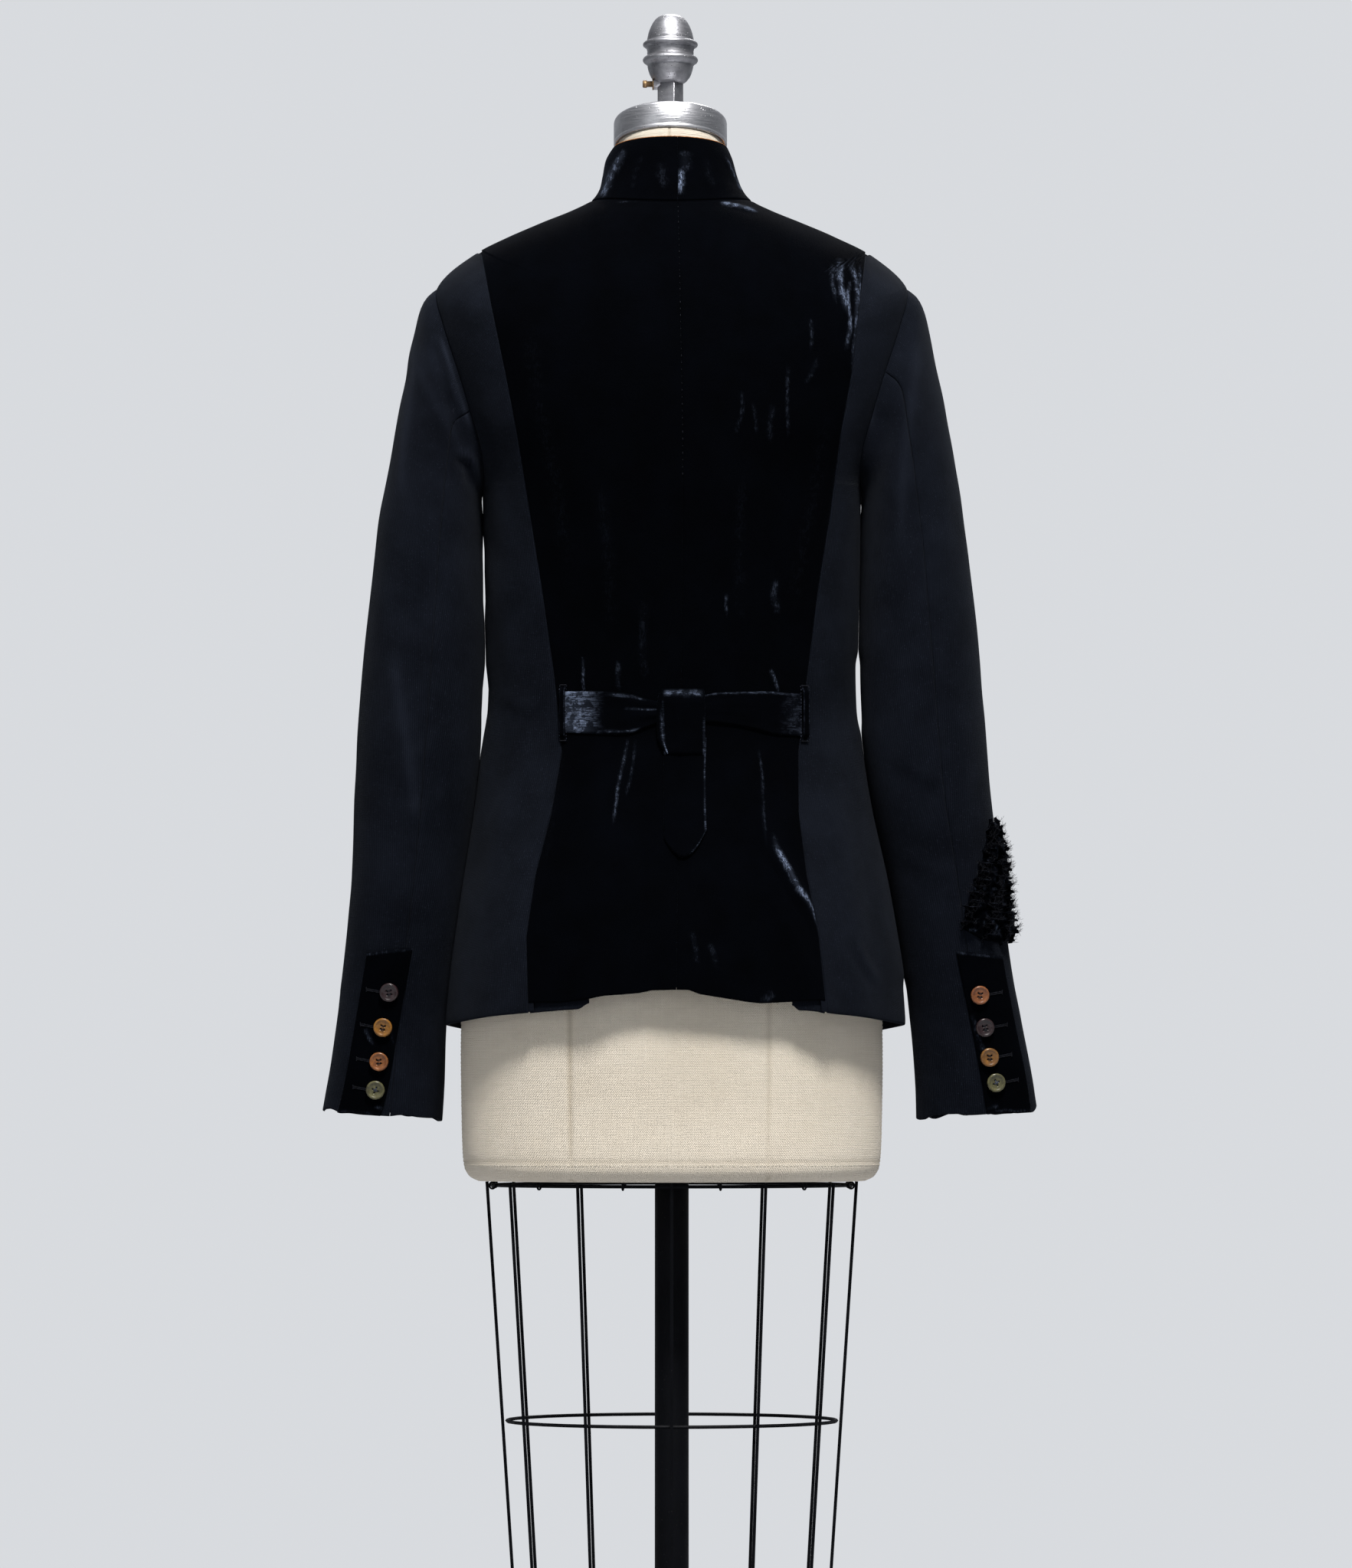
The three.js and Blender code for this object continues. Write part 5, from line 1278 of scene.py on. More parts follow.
def tape(name, lines, outs, material, closed=False):
    # a thin strip within the cloth that backs a seam, as its allowance does
    face, out = np.stack(np.broadcast_arrays(*lines)), unit(np.stack(np.broadcast_arrays(*outs)))
    return thinShell(name, face, out, tapes["thickness"], material, np.full(face.shape[:2], -tapes["within"]),
        closedAcross=closed)


def bodyTape(name, angles, rows, material):
    return tape(name, [bodyPoint(a, r) for a, r in zip(angles, rows)], [bodyOut(a, r) for a, r in zip(angles, rows)],
        material)


def makeSeamTapes():
    rows = np.linspace(0.1, 22.9, 170)
    middle = centreBack(rows)
    angles = [middle + across * angleFor(1.0, middle, rows) for across in (-5, 0, 5)]
    onVelvet = [bodyTape("seam.back", angles, [rows] * 3, velvetCloth)]
    onWool = []
    for side in (left, right):
        rows = np.linspace(5.2, 23.88, 160)
        edge = velvetEdge(side, rows)
        angles = [edge + across * angleFor(1.0, edge, rows) for across in (-5, 0, 5)]
        onWool.append(bodyTape("seam.side", angles, [rows] * 3, woolCloth))
        for low, high in ((4.1, abovePit), (belowPit, 23.95)):
            rows = np.linspace(low, high, 90)
            angles = [sideAngle(side, across * angleFor(1.0, np.zeros(90), rows)) for across in (-5, 0, 5)]
            onWool.append(bodyTape("seam.underarm", angles, [rows] * 3, woolCloth))
        turns = np.linspace(0, 2 * math.pi, 181)[:-1]
        line, into = armholePoint(side, turns), intoArmhole(side, turns)
        out = bodyOut(sideAngle(side, armholeAngle * np.sin(turns)), armholeMiddle - armholeHalf * np.cos(turns))
        lines = [line - into * 7, line - into * 3, line]
        lines += [sleevePoint(side, turns, np.full(180, r)) for r in (0.1, 0.3)]
        outs = [out, out, out] + [sleeveOut(side, turns, np.full(180, r)) for r in (0.1, 0.3)]
        onWool.append(tape("seam.armhole", lines, outs, woolCloth, closed=True))
        rows = np.linspace(0.15, lastCuffRow - 0.1, 150)
        for seam in sleeveSeams[side]:
            turns = [seam + across / sleeves["radius"] for across in (-4, 0, 4)]
            onWool.append(tape("seam.sleeve", [sleevePoint(side, t, rows) for t in turns],
                [sleeveOut(side, t, rows) for t in turns], woolCloth))
        start, end = float(centreBack(np.full(1, 4.0))[0]), float(centreFront(side, np.full(1, 4.0))[0])
        if side == right and end < math.pi / 2:
            end += 2 * math.pi
        angles = np.linspace(start, end, 150)
        places = [np.full(150, seamRow["neck"] + across) for across in (-0.3, 0.0, 0.15)]
        onVelvet.append(bodyTape("seam.neck", [angles] * 3, places, velvetCloth))
    for name, things, panelName, slotName in (("seam.velvetTapes", onVelvet, "velvetBack.left", "velvet"),
            ("seam.woolTapes", onWool, "woolSide.left", "wool")):
        strips = joined(name, things)
        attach(strips, "root")
        goingWith.setdefault(panelName, []).append(strips)
    print("seams backed")


goingWith = {}  # small pieces sewn to a larger one, by its name
makeSeamTapes()


def treeWithInputs(name, inputs):
    through = ("Geometry", "Geometry", None)
    return effectGroup(name, [through] + inputs, [through[:2]], "GeometryNodeTree")


def startRow(tree, given):
    # spots at an even spacing along the lines that the tree is given
    line = put(tree, "GeometryNodeMeshToCurve", {0: given.outputs["Geometry"]})
    spacing = {"Curve": line.outputs[0], "Length": given.outputs["Spacing"]}
    return put(tree, "GeometryNodeResampleCurve", spacing, mode="LENGTH").outputs[0]


def endRow(tree, given, result, placed):
    # the copies are made real and get their material
    real = put(tree, "GeometryNodeRealizeInstances", {0: placed.outputs[0]})
    done = put(tree, "GeometryNodeSetMaterial", {"Geometry": real.outputs[0], "Material": given.outputs["Material"]})
    tree.links.new(done.outputs[0], result.inputs[0])
    return tree


def makeStitchTree():
    # small plump stitches laid one after another along a line
    tree, given, result = treeWithInputs("stitchRow", [
        ("Spacing", "Float", 0.003), ("Stitch Length", "Float", 0.002), ("Thread", "Float", 0.0004),
        ("Unevenness", "Float", 0.2), ("Seed", "Int", 3), ("Material", "Material", None),
    ])
    spots = startRow(tree, given)
    turn = put(tree, "FunctionNodeAlignRotationToVector", {"Vector": put(tree, "GeometryNodeInputTangent").outputs[0]},
        axis="X")
    stitch = put(tree, "GeometryNodeMeshUVSphere", {"Segments": 6, "Rings": 5, "Radius": 0.5})
    size = put(tree, "ShaderNodeCombineXYZ", {0: given.outputs["Stitch Length"], 1: given.outputs["Thread"],
        2: given.outputs["Thread"]})
    uneven = put(tree, "FunctionNodeRandomValue", {2: 1.0, 3: 1.0, "Seed": given.outputs["Seed"]}, data_type="FLOAT")
    tree.links.new(calc(tree, "SUBTRACT", 1.0, given.outputs["Unevenness"]), uneven.inputs[2])
    tree.links.new(calc(tree, "ADD", 1.0, given.outputs["Unevenness"]), uneven.inputs[3])
    scaled = put(tree, "ShaderNodeVectorMath", {0: size.outputs[0]}, operation="SCALE")
    tree.links.new(uneven.outputs[1], scaled.inputs["Scale"])
    placed = put(tree, "GeometryNodeInstanceOnPoints", {"Points": spots, "Instance": stitch.outputs[0],
        "Rotation": turn.outputs[0], "Scale": scaled.outputs[0]})
    return endRow(tree, given, result, placed)


def makeFringeTree():
    # loose threads that stand out from a torn edge, each bent and turned its own way
    tree, given, result = treeWithInputs("fringe", [
        ("Spacing", "Float", 0.0012), ("Thread Length", "Float", 0.005), ("Thread", "Float", 0.00012),
        ("Spread", "Float", 0.9), ("Out", "Vector", (0, 0, 1)), ("Seed", "Int", 5), ("Material", "Material", None),
    ])
    spots = startRow(tree, given)
    low = put(tree, "ShaderNodeVectorMath", {0: (-1, -1, -1)}, operation="SCALE")
    high = put(tree, "ShaderNodeVectorMath", {0: (1, 1, 1)}, operation="SCALE")
    for limit in (low, high):
        tree.links.new(given.outputs["Spread"], limit.inputs["Scale"])
    stray = put(tree, "FunctionNodeRandomValue", {0: low.outputs[0], 1: high.outputs[0],
        "Seed": given.outputs["Seed"]}, data_type="FLOAT_VECTOR")
    ahead = put(tree, "ShaderNodeVectorMath", {0: given.outputs["Out"], 1: stray.outputs[0]}, operation="ADD")
    turn = put(tree, "FunctionNodeAlignRotationToVector", {"Vector": ahead.outputs[0]}, axis="Z")
    bend = put(tree, "GeometryNodeCurveQuadraticBezier", {"Resolution": 4, "Start": (0, 0, 0),
        "Middle": (0.05, 0, 0.6), "End": (0.4, 0.1, 0.95)})
    section = put(tree, "GeometryNodeCurvePrimitiveCircle", {"Resolution": 4})
    tree.links.new(calc(tree, "DIVIDE", given.outputs["Thread"], given.outputs["Thread Length"]),
        section.inputs["Radius"])
    thread = put(tree, "GeometryNodeCurveToMesh", {"Curve": bend.outputs[0], "Profile Curve": section.outputs[0],
        "Fill Caps": True})
    length = put(tree, "FunctionNodeRandomValue", {2: 0.3, 3: 1.0, "Seed": given.outputs["Seed"]}, data_type="FLOAT")
    scale = times(tree, length.outputs[1], given.outputs["Thread Length"])
    placed = put(tree, "GeometryNodeInstanceOnPoints", {"Points": spots, "Instance": thread.outputs[0],
        "Rotation": turn.outputs[0], "Scale": scale})
    return endRow(tree, given, result, placed)


stitchTree, fringeTree = makeStitchTree(), makeFringeTree()


def grown(name, tree, lines, settings):
    # run a tree along one or more lines and keep the result as a plain mesh
    points, edges = [], []
    for line in lines:
        start = len(points)
        points += [tuple(np.asarray(p, float) * metre) for p in line]
        edges += [(start + i, start + i + 1) for i in range(len(line) - 1)]
    guide = bpy.data.meshes.new(name + "Guide")
    guide.from_pydata(points, edges, [])
    thing = bpy.data.objects.new(name, guide)
    bpy.context.scene.collection.objects.link(thing)
    modifier = thing.modifiers.new("grow", "NODES")
    modifier.node_group = tree
    for item in tree.interface.items_tree:
        if item.item_type == "SOCKET" and item.in_out == "INPUT" and item.name in settings:
            modifier[item.identifier] = settings[item.name]
    bpy.context.view_layer.update()
    plain = bpy.data.meshes.new_from_object(thing.evaluated_get(bpy.context.evaluated_depsgraph_get()))
    thing.modifiers.clear()
    thing.data = plain
    plain.name = name
    if "Material" in settings and not plain.materials:
        plain.materials.append(settings["Material"])
    plain.polygons.foreach_set("use_smooth", [True] * len(plain.polygons))
    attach(thing, "root")
    return thing


def onBody(x, z, off):
    angle, row = bodySpot(x, z)
    return bodyPoint(angle, row) + bodyOut(angle, row) * np.asarray(off)[..., None]


def onSleeve(side, turn, row, off):
    turn, row = np.broadcast_arrays(np.asarray(turn, float), np.asarray(row, float))
    return sleevePoint(side, turn, row) + sleeveOut(side, turn, row) * np.asarray(off)[..., None]


# belt bands: x, lower edge, upper edge and distance off the cloth; pleats run along the band
beltBands = {
    "belt.left": {"node": "belt_left", "flat": (0.1, 0.036), "thickness": 1.6, "stations": [
        [91, 971, 1005, 0.7], [84, 971, 1005, 0.6], [66, 970, 1005, 0.8], [48, 969, 1004, 0.9], [32, 970, 1002, 0.9],
        [20, 975, 998, 1.0], [8, 979, 996, 1.0], [-6, 980, 996, 1.0]],
        "pleats": [(0.25, 0.42, 0.7, 1.0), (0.62, 0.35, 0.45, 0.7), (0.8, 0.8, 0.9, 0.5)],
        "shine": [(86, 56, 0.04, 1.0, 0.9), (54, 22, 0.93, 0.07, 0.45), (38, 10, 0.62, 0.07, 0.5),
            (58, 26, 0.06, 0.07, 0.35)]},
    "belt.right": {"node": "belt_right", "flat": (0.104, 0.034), "thickness": 1.6, "stations": [
        [-105, 969, 1004, 0.7], [-96, 969, 1004, 0.6], [-82, 970, 1005, 0.8], [-66, 974, 1004.5, 0.9],
            [-50, 977, 1004, 0.9],
        [-34, 979, 1003, 1.0], [-22, 980, 1000, 1.0], [-6.4, 981, 996, 1.0]],
        "pleats": [(0.3, 0.45, 0.6, 1.0), (0.7, 0.55, 0.5, 0.8)],
        "shine": [(-104, -86, 0.1, 0.95, 0.16), (-100, -12, 0.97, 0.06, 0.4)]},
}


def band(name, look, acrossCount=40, alongCount=110):
    table = np.array(look["stations"], float)
    if table[0, 0] < table[-1, 0]:
        table = table[::-1]
    padded = np.concatenate([table, np.zeros((len(table), 4))], 1)
    spots = along(padded, np.linspace(0, len(table) - 1, alongCount))[:, :4]
    share = np.linspace(0, 1, acrossCount)
    x = np.broadcast_to(spots[:, :1], (alongCount, acrossCount))
    z = spots[:, 1:2] + (spots[:, 2:3] - spots[:, 1:2]) * share
    off = spots[:, 3:4] + look["thickness"] + 0 * x
    nap = np.zeros_like(x)
    # pleats: place across at the loop, place across at the knot, height, sharpness
    nearKnot = np.clip(1 - np.abs(x + 6) / 95, 0, 1)
    for loopPlace, knotPlace, height, sharp in look["pleats"]:
        at = loopPlace + (knotPlace - loopPlace) * nearKnot
        off = off + height * (0.25 + 0.9 * nearKnot) * np.exp(-((share - at) / (0.1 + 0.06 * sharp)) ** 2)
    angle, row = bodySpot(x, z)
    face = bodyPoint(angle, row)
    out = bodyOut(angle, row)
    edge = fromSides(face)
    off = off + 0.35 * softNoise(face * [0.5, 1, 1.6], 9, 4)
    # painted highlights: each shine entry (from x, to x, place across, reach, strength) brightens the band's base
    # colour
    for fromX, toX, place, reach, strength in look["shine"]:
        low, high = min(fromX, toX), max(fromX, toX)
        lit = smooth((x - low) / 6 + 0.4) * smooth((high - x) / 10 + 0.2)
        if reach >= 0.9:  # a whole patch of painted highlight, strongest at the loop
            outer = np.abs(x - (fromX if abs(fromX) > abs(toX) else toX)) / abs(toX - fromX)
            nap = np.maximum(nap, strength * smooth((high - x) / 4 + 0.6) * smooth(1.25 - outer * 1.1)
                * np.clip(1.0 - 0.25 * softNoise(face * [1, 1, 2.5], 6, 8), 0, 1))
        else:
            nap = np.maximum(nap, strength * lit * np.exp(-((share - place) / max(reach * 0.45, 0.03)) ** 2))
    thing = thinShell(name, face, out, look["thickness"], beltVelvet, off, rolled(edge, 1.6, look["thickness"] * 0.55),
        nap)
    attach(thing, "root")
    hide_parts(look["node"])
    return thing


for name, look in beltBands.items():
    band(name, look)

# the strap that covers the crossing, and the long end that hangs on from it with a rounded tip
knotLook = {
    "knot": {"flat": (0.037, 0.062), "thickness": 1.8, "left": [8, 8.4, 8, 7.5, 6.4],
        "right": [-26.4, -27, -27, -27, -27], "z": [1006.5, 995, 980, 964, 951],
        "off": [4.0, 5.8, 5.6, 5.0, 3.6]},
    "end": {"flat": (0.036, 0.104), "thickness": 1.6},
}


def makeKnot():
    look = knotLook["knot"]
    down = np.linspace(0, 1, 60)[:, None]
    share = np.linspace(0, 1, 44)[None]
    knots = np.linspace(0, 1, 5)
    leftX, rightX = np.interp(down, knots, look["left"]), np.interp(down, knots, look["right"])
    z = np.interp(down, knots, look["z"]) + 0 * share
    x = leftX + (rightX - leftX) * share
    off = np.interp(down, knots, look["off"]) * (0.55 + 0.45 * np.sin(np.pi * np.clip(share, 0.02, 0.98)) ** 0.45)
    off = off + 0.5 * np.exp(-((share - 0.3 - 0.1 * down) / 0.07) ** 2) - 0.35 * np.exp(-((share - 0.7) / 0.08) ** 2)
    angle, row = bodySpot(x, z)
    face, out = bodyPoint(angle, row), bodyOut(angle, row)
    fromTop, fromFoot = travelled(face, 0), travelled(face, 0)[-1:] - travelled(face, 0)
    tucked = rolled(fromTop, 3.0, 2.2) + rolled(fromFoot, 3.0, 2.2)
    sides = rolled(fromSides(face), 2.2, 1.4)
    # painted highlights: along the knot's top and down both side edges
    nap = (0.85 * np.exp(-((down - 0.08) / 0.05) ** 2) * (0.75 + 0.25 * softNoise(face, 4, 3)) * smooth(share * 8)
        * smooth((1 - share) * 8))
    nap = np.maximum(nap, 0.45 * np.exp(-((share - 0.97) / 0.025) ** 2) * smooth((down - 0.42) * 5))
    nap = np.maximum(nap, 0.4 * np.exp(-((share - 0.03) / 0.025) ** 2) * smooth(down * 1.4))
    thing = thinShell("belt.knot", face, out, look["thickness"], beltVelvet,
        off + look["thickness"] + 0.2 * softNoise(face, 7, 5), tucked + sides, nap)
    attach(thing, "root")
    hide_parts("belt_knot")

    look = knotLook["end"]
    down = np.linspace(0, 1, 96)[:, None]
    share = np.linspace(0, 1, 44)[None]
    # the lower edge is cut to a round tip that leans to one side
    tip = 867 + 23 * np.abs((share - 0.45) / 0.55) ** 1.9
    z = 966 - (966 - tip) * down
    x = 6.2 + (-28.2 - 6.2) * share + 0.8 * np.sin(3.2 * down)
    angle, row = bodySpot(x, z)
    face, out = bodyPoint(angle, row), bodyOut(angle, row)
    off = (2.8 + 0.5 * np.sin(np.pi * share) + 0.9 * np.exp(-((share - 0.12 - 0.05 * down) / 0.07) ** 2) * (1 - down)
        + 0.3 * softNoise(face, 14, 6))
    sideDistance = fromSides(face)
    footDistance = travelled(face, 0)[-1:] - travelled(face, 0)
    edge = rolled(np.minimum(sideDistance, footDistance), 1.8, 1.1)
    # painted highlights: down one side edge and along the foot of the long end
    nap = 0.6 * np.exp(-((share - 0.975) / 0.02) ** 2) * (0.75 + 0.25 * softNoise(face, 6, 9))
    nap = np.maximum(nap, 0.5 * np.exp(-((footDistance - 0.9) / 0.8) ** 2) * smooth((share - 0.55) * 5))
    thing = thinShell("belt.end", face, out, look["thickness"], beltVelvet, off, edge, nap)
    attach(thing, "root")
    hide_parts("belt_end")


makeKnot()

# the short end shows as a thin folded sliver beside the knot
shortEnd = {"path": [(8.6, 1003), (8.8, 992), (8, 978), (6.6, 964), (3.4, 952)], "width": [1.6, 3.2, 4.2, 4.6, 1.4],
    "off": 3.4, "thickness": 1.2}


def makeShortEnd():
    path = smoothPath(shortEnd["path"], 10)
    width = np.interp(np.linspace(0, 1, len(path)), np.linspace(0, 1, 5), shortEnd["width"])[:, None]
    share = np.linspace(-1, 1, 9)[None]
    x, z = path[:, :1] + width * share, path[:, 1:] + 0 * share
    angle, row = bodySpot(x, z)
    face, out = bodyPoint(angle, row), bodyOut(angle, row)
    # painted highlight down the middle of the folded sliver
    nap = 0.9 * np.exp(-((share + 0.1) / 0.3) ** 2) * smooth(np.linspace(0, 1, len(path)) * 1.6 - 0.3)[:, None]
    thing = thinShell("belt.shortEnd", face, out, shortEnd["thickness"], beltVelvet,
        shortEnd["off"] + 1.6 * np.sqrt(1 - 0.95 * share ** 2) + 0 * x, 0 * x, nap)
    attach(thing, "root")
    goingWith.setdefault("belt.knot", []).append(thing)


makeShortEnd()

beltLoops = {"left": (88, 4.4), "right": (-108, 5.6)}  # distance from the middle and width


def makeBeltLoops():
    stitches, pale = [], []
    for key, (x, width) in beltLoops.items():
        heights = np.array([964, 966.4, 968.3, 970, 987, 1004.5, 1006.6, 1008.6, 1011])
        stand = np.array([0.5, 0.9, 2.6, 3.6, 3.8, 3.6, 2.6, 0.9, 0.5])
        down = np.linspace(0, 8, 64)
        z = np.interp(down, range(9), heights)[:, None]
        off = along(np.stack([stand] * 8, -1), down)[:, :1]
        share = np.linspace(-0.5, 0.5, 17)[None]
        xs = x + width * share + 0 * z
        angle, row = bodySpot(xs, z + 0 * xs)
        face, out = bodyPoint(angle, row), bodyOut(angle, row)
        edge = rolled(width * (0.5 - np.abs(share)) + 0 * z, 1.2, 0.8)
        # painted highlights down the loops' side edges
        nap = (0.22 * np.exp(-((share + 0.36) / 0.08) ** 2)
            + (0.2 if key == "right" else 0.08) * np.exp(-((share - 0.36) / 0.08) ** 2) + 0 * z)
        thing = thinShell(f"belt.loop.{key}", face, out, 1.2, beltVelvet, off + 1.3 + 0 * xs, edge, nap)
        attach(thing, "root")
        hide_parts(f"belt_loop_{key}")
        goingWith.setdefault(f"velvetBack.{key}", []).append(thing)
        for across in (-0.5, 0.5):
            z = np.linspace(966, 1009.5, 24)
            lift = np.interp(z, heights, stand) + 0.7
            stitches.append(onBody(np.full(24, x + across * (width + 1.2)), z, np.minimum(lift, 2.4)))
        for z in (964.5, 1010.5):
            pale.append(onBody(np.linspace(x - width / 2, x + width / 2, 5), np.full(5, z), np.full(5, 1.9)))
    grown("belt.loopStitches", stitchTree, stitches, {"Spacing": 0.0026, "Stitch Length": 0.0012, "Thread": 0.0003,
        "Unevenness": 0.35, "Seed": 4, "Material": greyThread})
    grown("belt.loopBars", stitchTree, pale, {"Spacing": 0.0007, "Stitch Length": 0.0013, "Thread": 0.0007,
        "Unevenness": 0.2, "Seed": 5, "Material": darkThread})


makeBeltLoops()
print("belt made")

# cuff plackets: angles and heights of their corners, as on the plain solid
plackets = {
    "thickness": 1.3, "off": 2.1, "swell": 0.35,
    left: {"topOuter": 58, "topInner": 107, "cuffOuter": 47, "cuffInner": 91, "top": 793, "folds": [
        fold([(233, 737), (230, 722), (222, 706), (216, 700)], 3, 0.5, 0.1, 1.2),
        fold([(252, 732), (249, 724), (245, 717)], 3, 0.5, 0.5, 1.3),
        fold([(246, 668), (236, 664), (228, 663)], 3, 0.3, 0.25, 1.6)]},
    right: {"topOuter": 38, "topInner": 92, "cuffOuter": 33, "cuffInner": 83, "top": 790, "folds": [
        fold([(-246, 746), (-254, 720), (-262, 700)], 4, 0.5, 0.22, 1.6),
        fold([(-270, 668), (-256, 664)], 3, 0.3, 0.2, 1.6)]},
}
# place of each button on its cuff, its horn, how its thread crosses, and how it is turned
buttonPlaces = {
    left: [(232.6, 761.3, "maroon", "bars", 8), (237.7, 732.5, "amber", "bars", -12),
        (241, 704.4, "orange", "bars", 5), (244, 681, "olive", "cross", 20)],
    right: [(253, 759, "copper", "bars", -6), (257.3, 732.3, "maroon", "bars", 14),
        (261.2, 707.8, "brownAmber", "bars", 3), (266.6, 687, "olive", "cross", -18)],
}


def placketGrid(side, down, share):
    look = plackets[side]
    middle = math.radians((look["topOuter"] + look["topInner"]) / 2)
    topRow = float(solve(lambda r: look["top"] - sleevePoint(side, middle, r)[..., 2], 4.0, float(lastCuffRow)))
    row = topRow + (lastCuffRow - topRow) * down
    outer = look["topOuter"] + (look["cuffOuter"] - look["topOuter"]) * down
    inner = look["topInner"] + (look["cuffInner"] - look["topInner"]) * down
    return np.radians(outer + (inner - outer) * share), row - 0.1 * (1 - down) * share


def makeCuffs():
    stitches, holes, holeEdges = [], [], []
    for side in (left, right):
        key = sideName[side]
        down, share = np.linspace(0, 1, 110)[:, None], np.linspace(0, 1, 56)[None]
        turn, row = placketGrid(side, down, share)
        face, out = sleevePoint(side, turn, row), sleeveOut(side, turn, row)
        face = face + hemWave(face)
        lift, nap = clothOffsets(face, plackets[side]["folds"], face[..., 1] > -40, plackets["swell"], 33)
        sideDistance = fromSides(face)
        headDistance = travelled(face, 0)
        footDistance = headDistance[-1:] - headDistance
        edge = rolled(np.minimum(np.minimum(sideDistance, headDistance), footDistance), 1.5, 0.9)
        # painted highlights along the placket's top edge and just above its foot
        topLine = np.exp(-((headDistance - 1.1) / 0.9) ** 2)
        nap = np.maximum(nap, 0.3 * topLine)
        nap = np.maximum(nap, 0.2 * np.exp(-((footDistance - 1.6) / 1.6) ** 2) * (0.6 + 0.4 * softNoise(face, 5, 3)))
        held = smooth(np.minimum(sideDistance, headDistance) / 5)
        thing = thinShell(f"cuffPlacket.{key}", face, out, plackets["thickness"], velvetCloth,
            plackets["off"] + np.clip(lift, -0.3, 0.7) * held, edge, nap)
        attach(thing, "root")
        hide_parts(f"cuff_placket_{key}")
        for x, z, *_ in buttonPlaces[side]:
            # each buttonhole runs from its button towards the placket's outer edge
            xs = np.linspace(x + 6, x + 17.5, 14)
            zs = z + np.linspace(0, 2.2, 14)
            turn, row = sleeveSpot(side, xs, zs)
            holes.append(onSleeve(side, turn, row, np.full(14, 2.35)))
            for offset in (-0.7, 0.7):
                turn, row = sleeveSpot(side, xs, zs + offset)
                stitches.append(onSleeve(side, turn, row, np.full(14, 2.5)))
            turn, row = sleeveSpot(side, np.full(5, xs[-1] + 0.6), zs[-1] + np.linspace(-1.5, 1.5, 5))
            holeEdges.append(onSleeve(side, turn, row, np.full(5, 2.55)))
    grown("cuff.buttonholeThread", stitchTree, stitches + holeEdges,
        {"Spacing": 0.0007, "Stitch Length": 0.0006, "Thread": 0.0008, "Unevenness": 0.25, "Seed": 8,
        "Material": darkThread})
    grown("cuff.buttonholeSlits", stitchTree, holes, {"Spacing": 0.0012, "Stitch Length": 0.002, "Thread": 0.0003,
        "Unevenness": 0.1, "Seed": 9, "Material": darkThread})
    # blind stitches that hold the plackets' side edges
    sides = []
    for side in (left, right):
        for share in (0.02, 0.98):
            down = np.linspace(0.02, 0.98, 60)
            turn, row = placketGrid(side, down, np.full(60, share))
            sides.append(onSleeve(side, turn, row, np.full(60, 1.7)))
    grown("cuff.edgeStitches", stitchTree, sides, {"Spacing": 0.0042, "Stitch Length": 0.0016, "Thread": 0.0004,
        "Unevenness": 0.3, "Seed": 10, "Material": darkThread})
    print("cuffs made")


makeCuffs()

buttonLook = {"radius": 7.8, "height": 3.2, "dish": 5.0, "well": 2.15, "holeRadius": 0.85, "holeOff": 2.1}


def buttonShape():
    # one button as points and faces: a turned disc with a raised rim and four through holes
    look = buttonLook
    radius, height = look["radius"], look["height"]
    profile = [(0, 0), (5.4, 0), (6.6, 0.25), (7.4, 0.9), (radius, 1.6), (7.75, 2.3), (7.4, 2.9), (6.9, height),
        (6.3, 3.15), (5.7, 2.8), (look["dish"], 2.35),
               (4.2, look["well"]), (2.5, 2.1), (0, 2.1)]
    disc = lathed("buttonDisc", profile, 48, None)
    outwards(disc)
    cutters = []
    for angle in (45, 135, 225, 315):
        x, y = look["holeOff"] * math.cos(math.radians(angle)), look["holeOff"] * math.sin(math.radians(angle))
        cutters.append(lathed("holeCutter", [(0, -1), (look["holeRadius"], -1), (look["holeRadius"], 5), (0, 5)], 14,
            None, (x, y, 0)))
    cutter = outwards(joined("holeCutters", cutters))
    boolean = disc.modifiers.new("holes", "BOOLEAN")
    boolean.operation, boolean.solver, boolean.object = "DIFFERENCE", "EXACT", cutter
    bpy.context.view_layer.update()
    plain = bpy.data.meshes.new_from_object(disc.evaluated_get(bpy.context.evaluated_depsgraph_get()))
    points = np.array([v.co for v in plain.vertices]) / metre
    faces = [list(p.vertices) for p in plain.polygons]
    for thing in (disc, cutter):
        bpy.data.objects.remove(thing)
    return points, faces


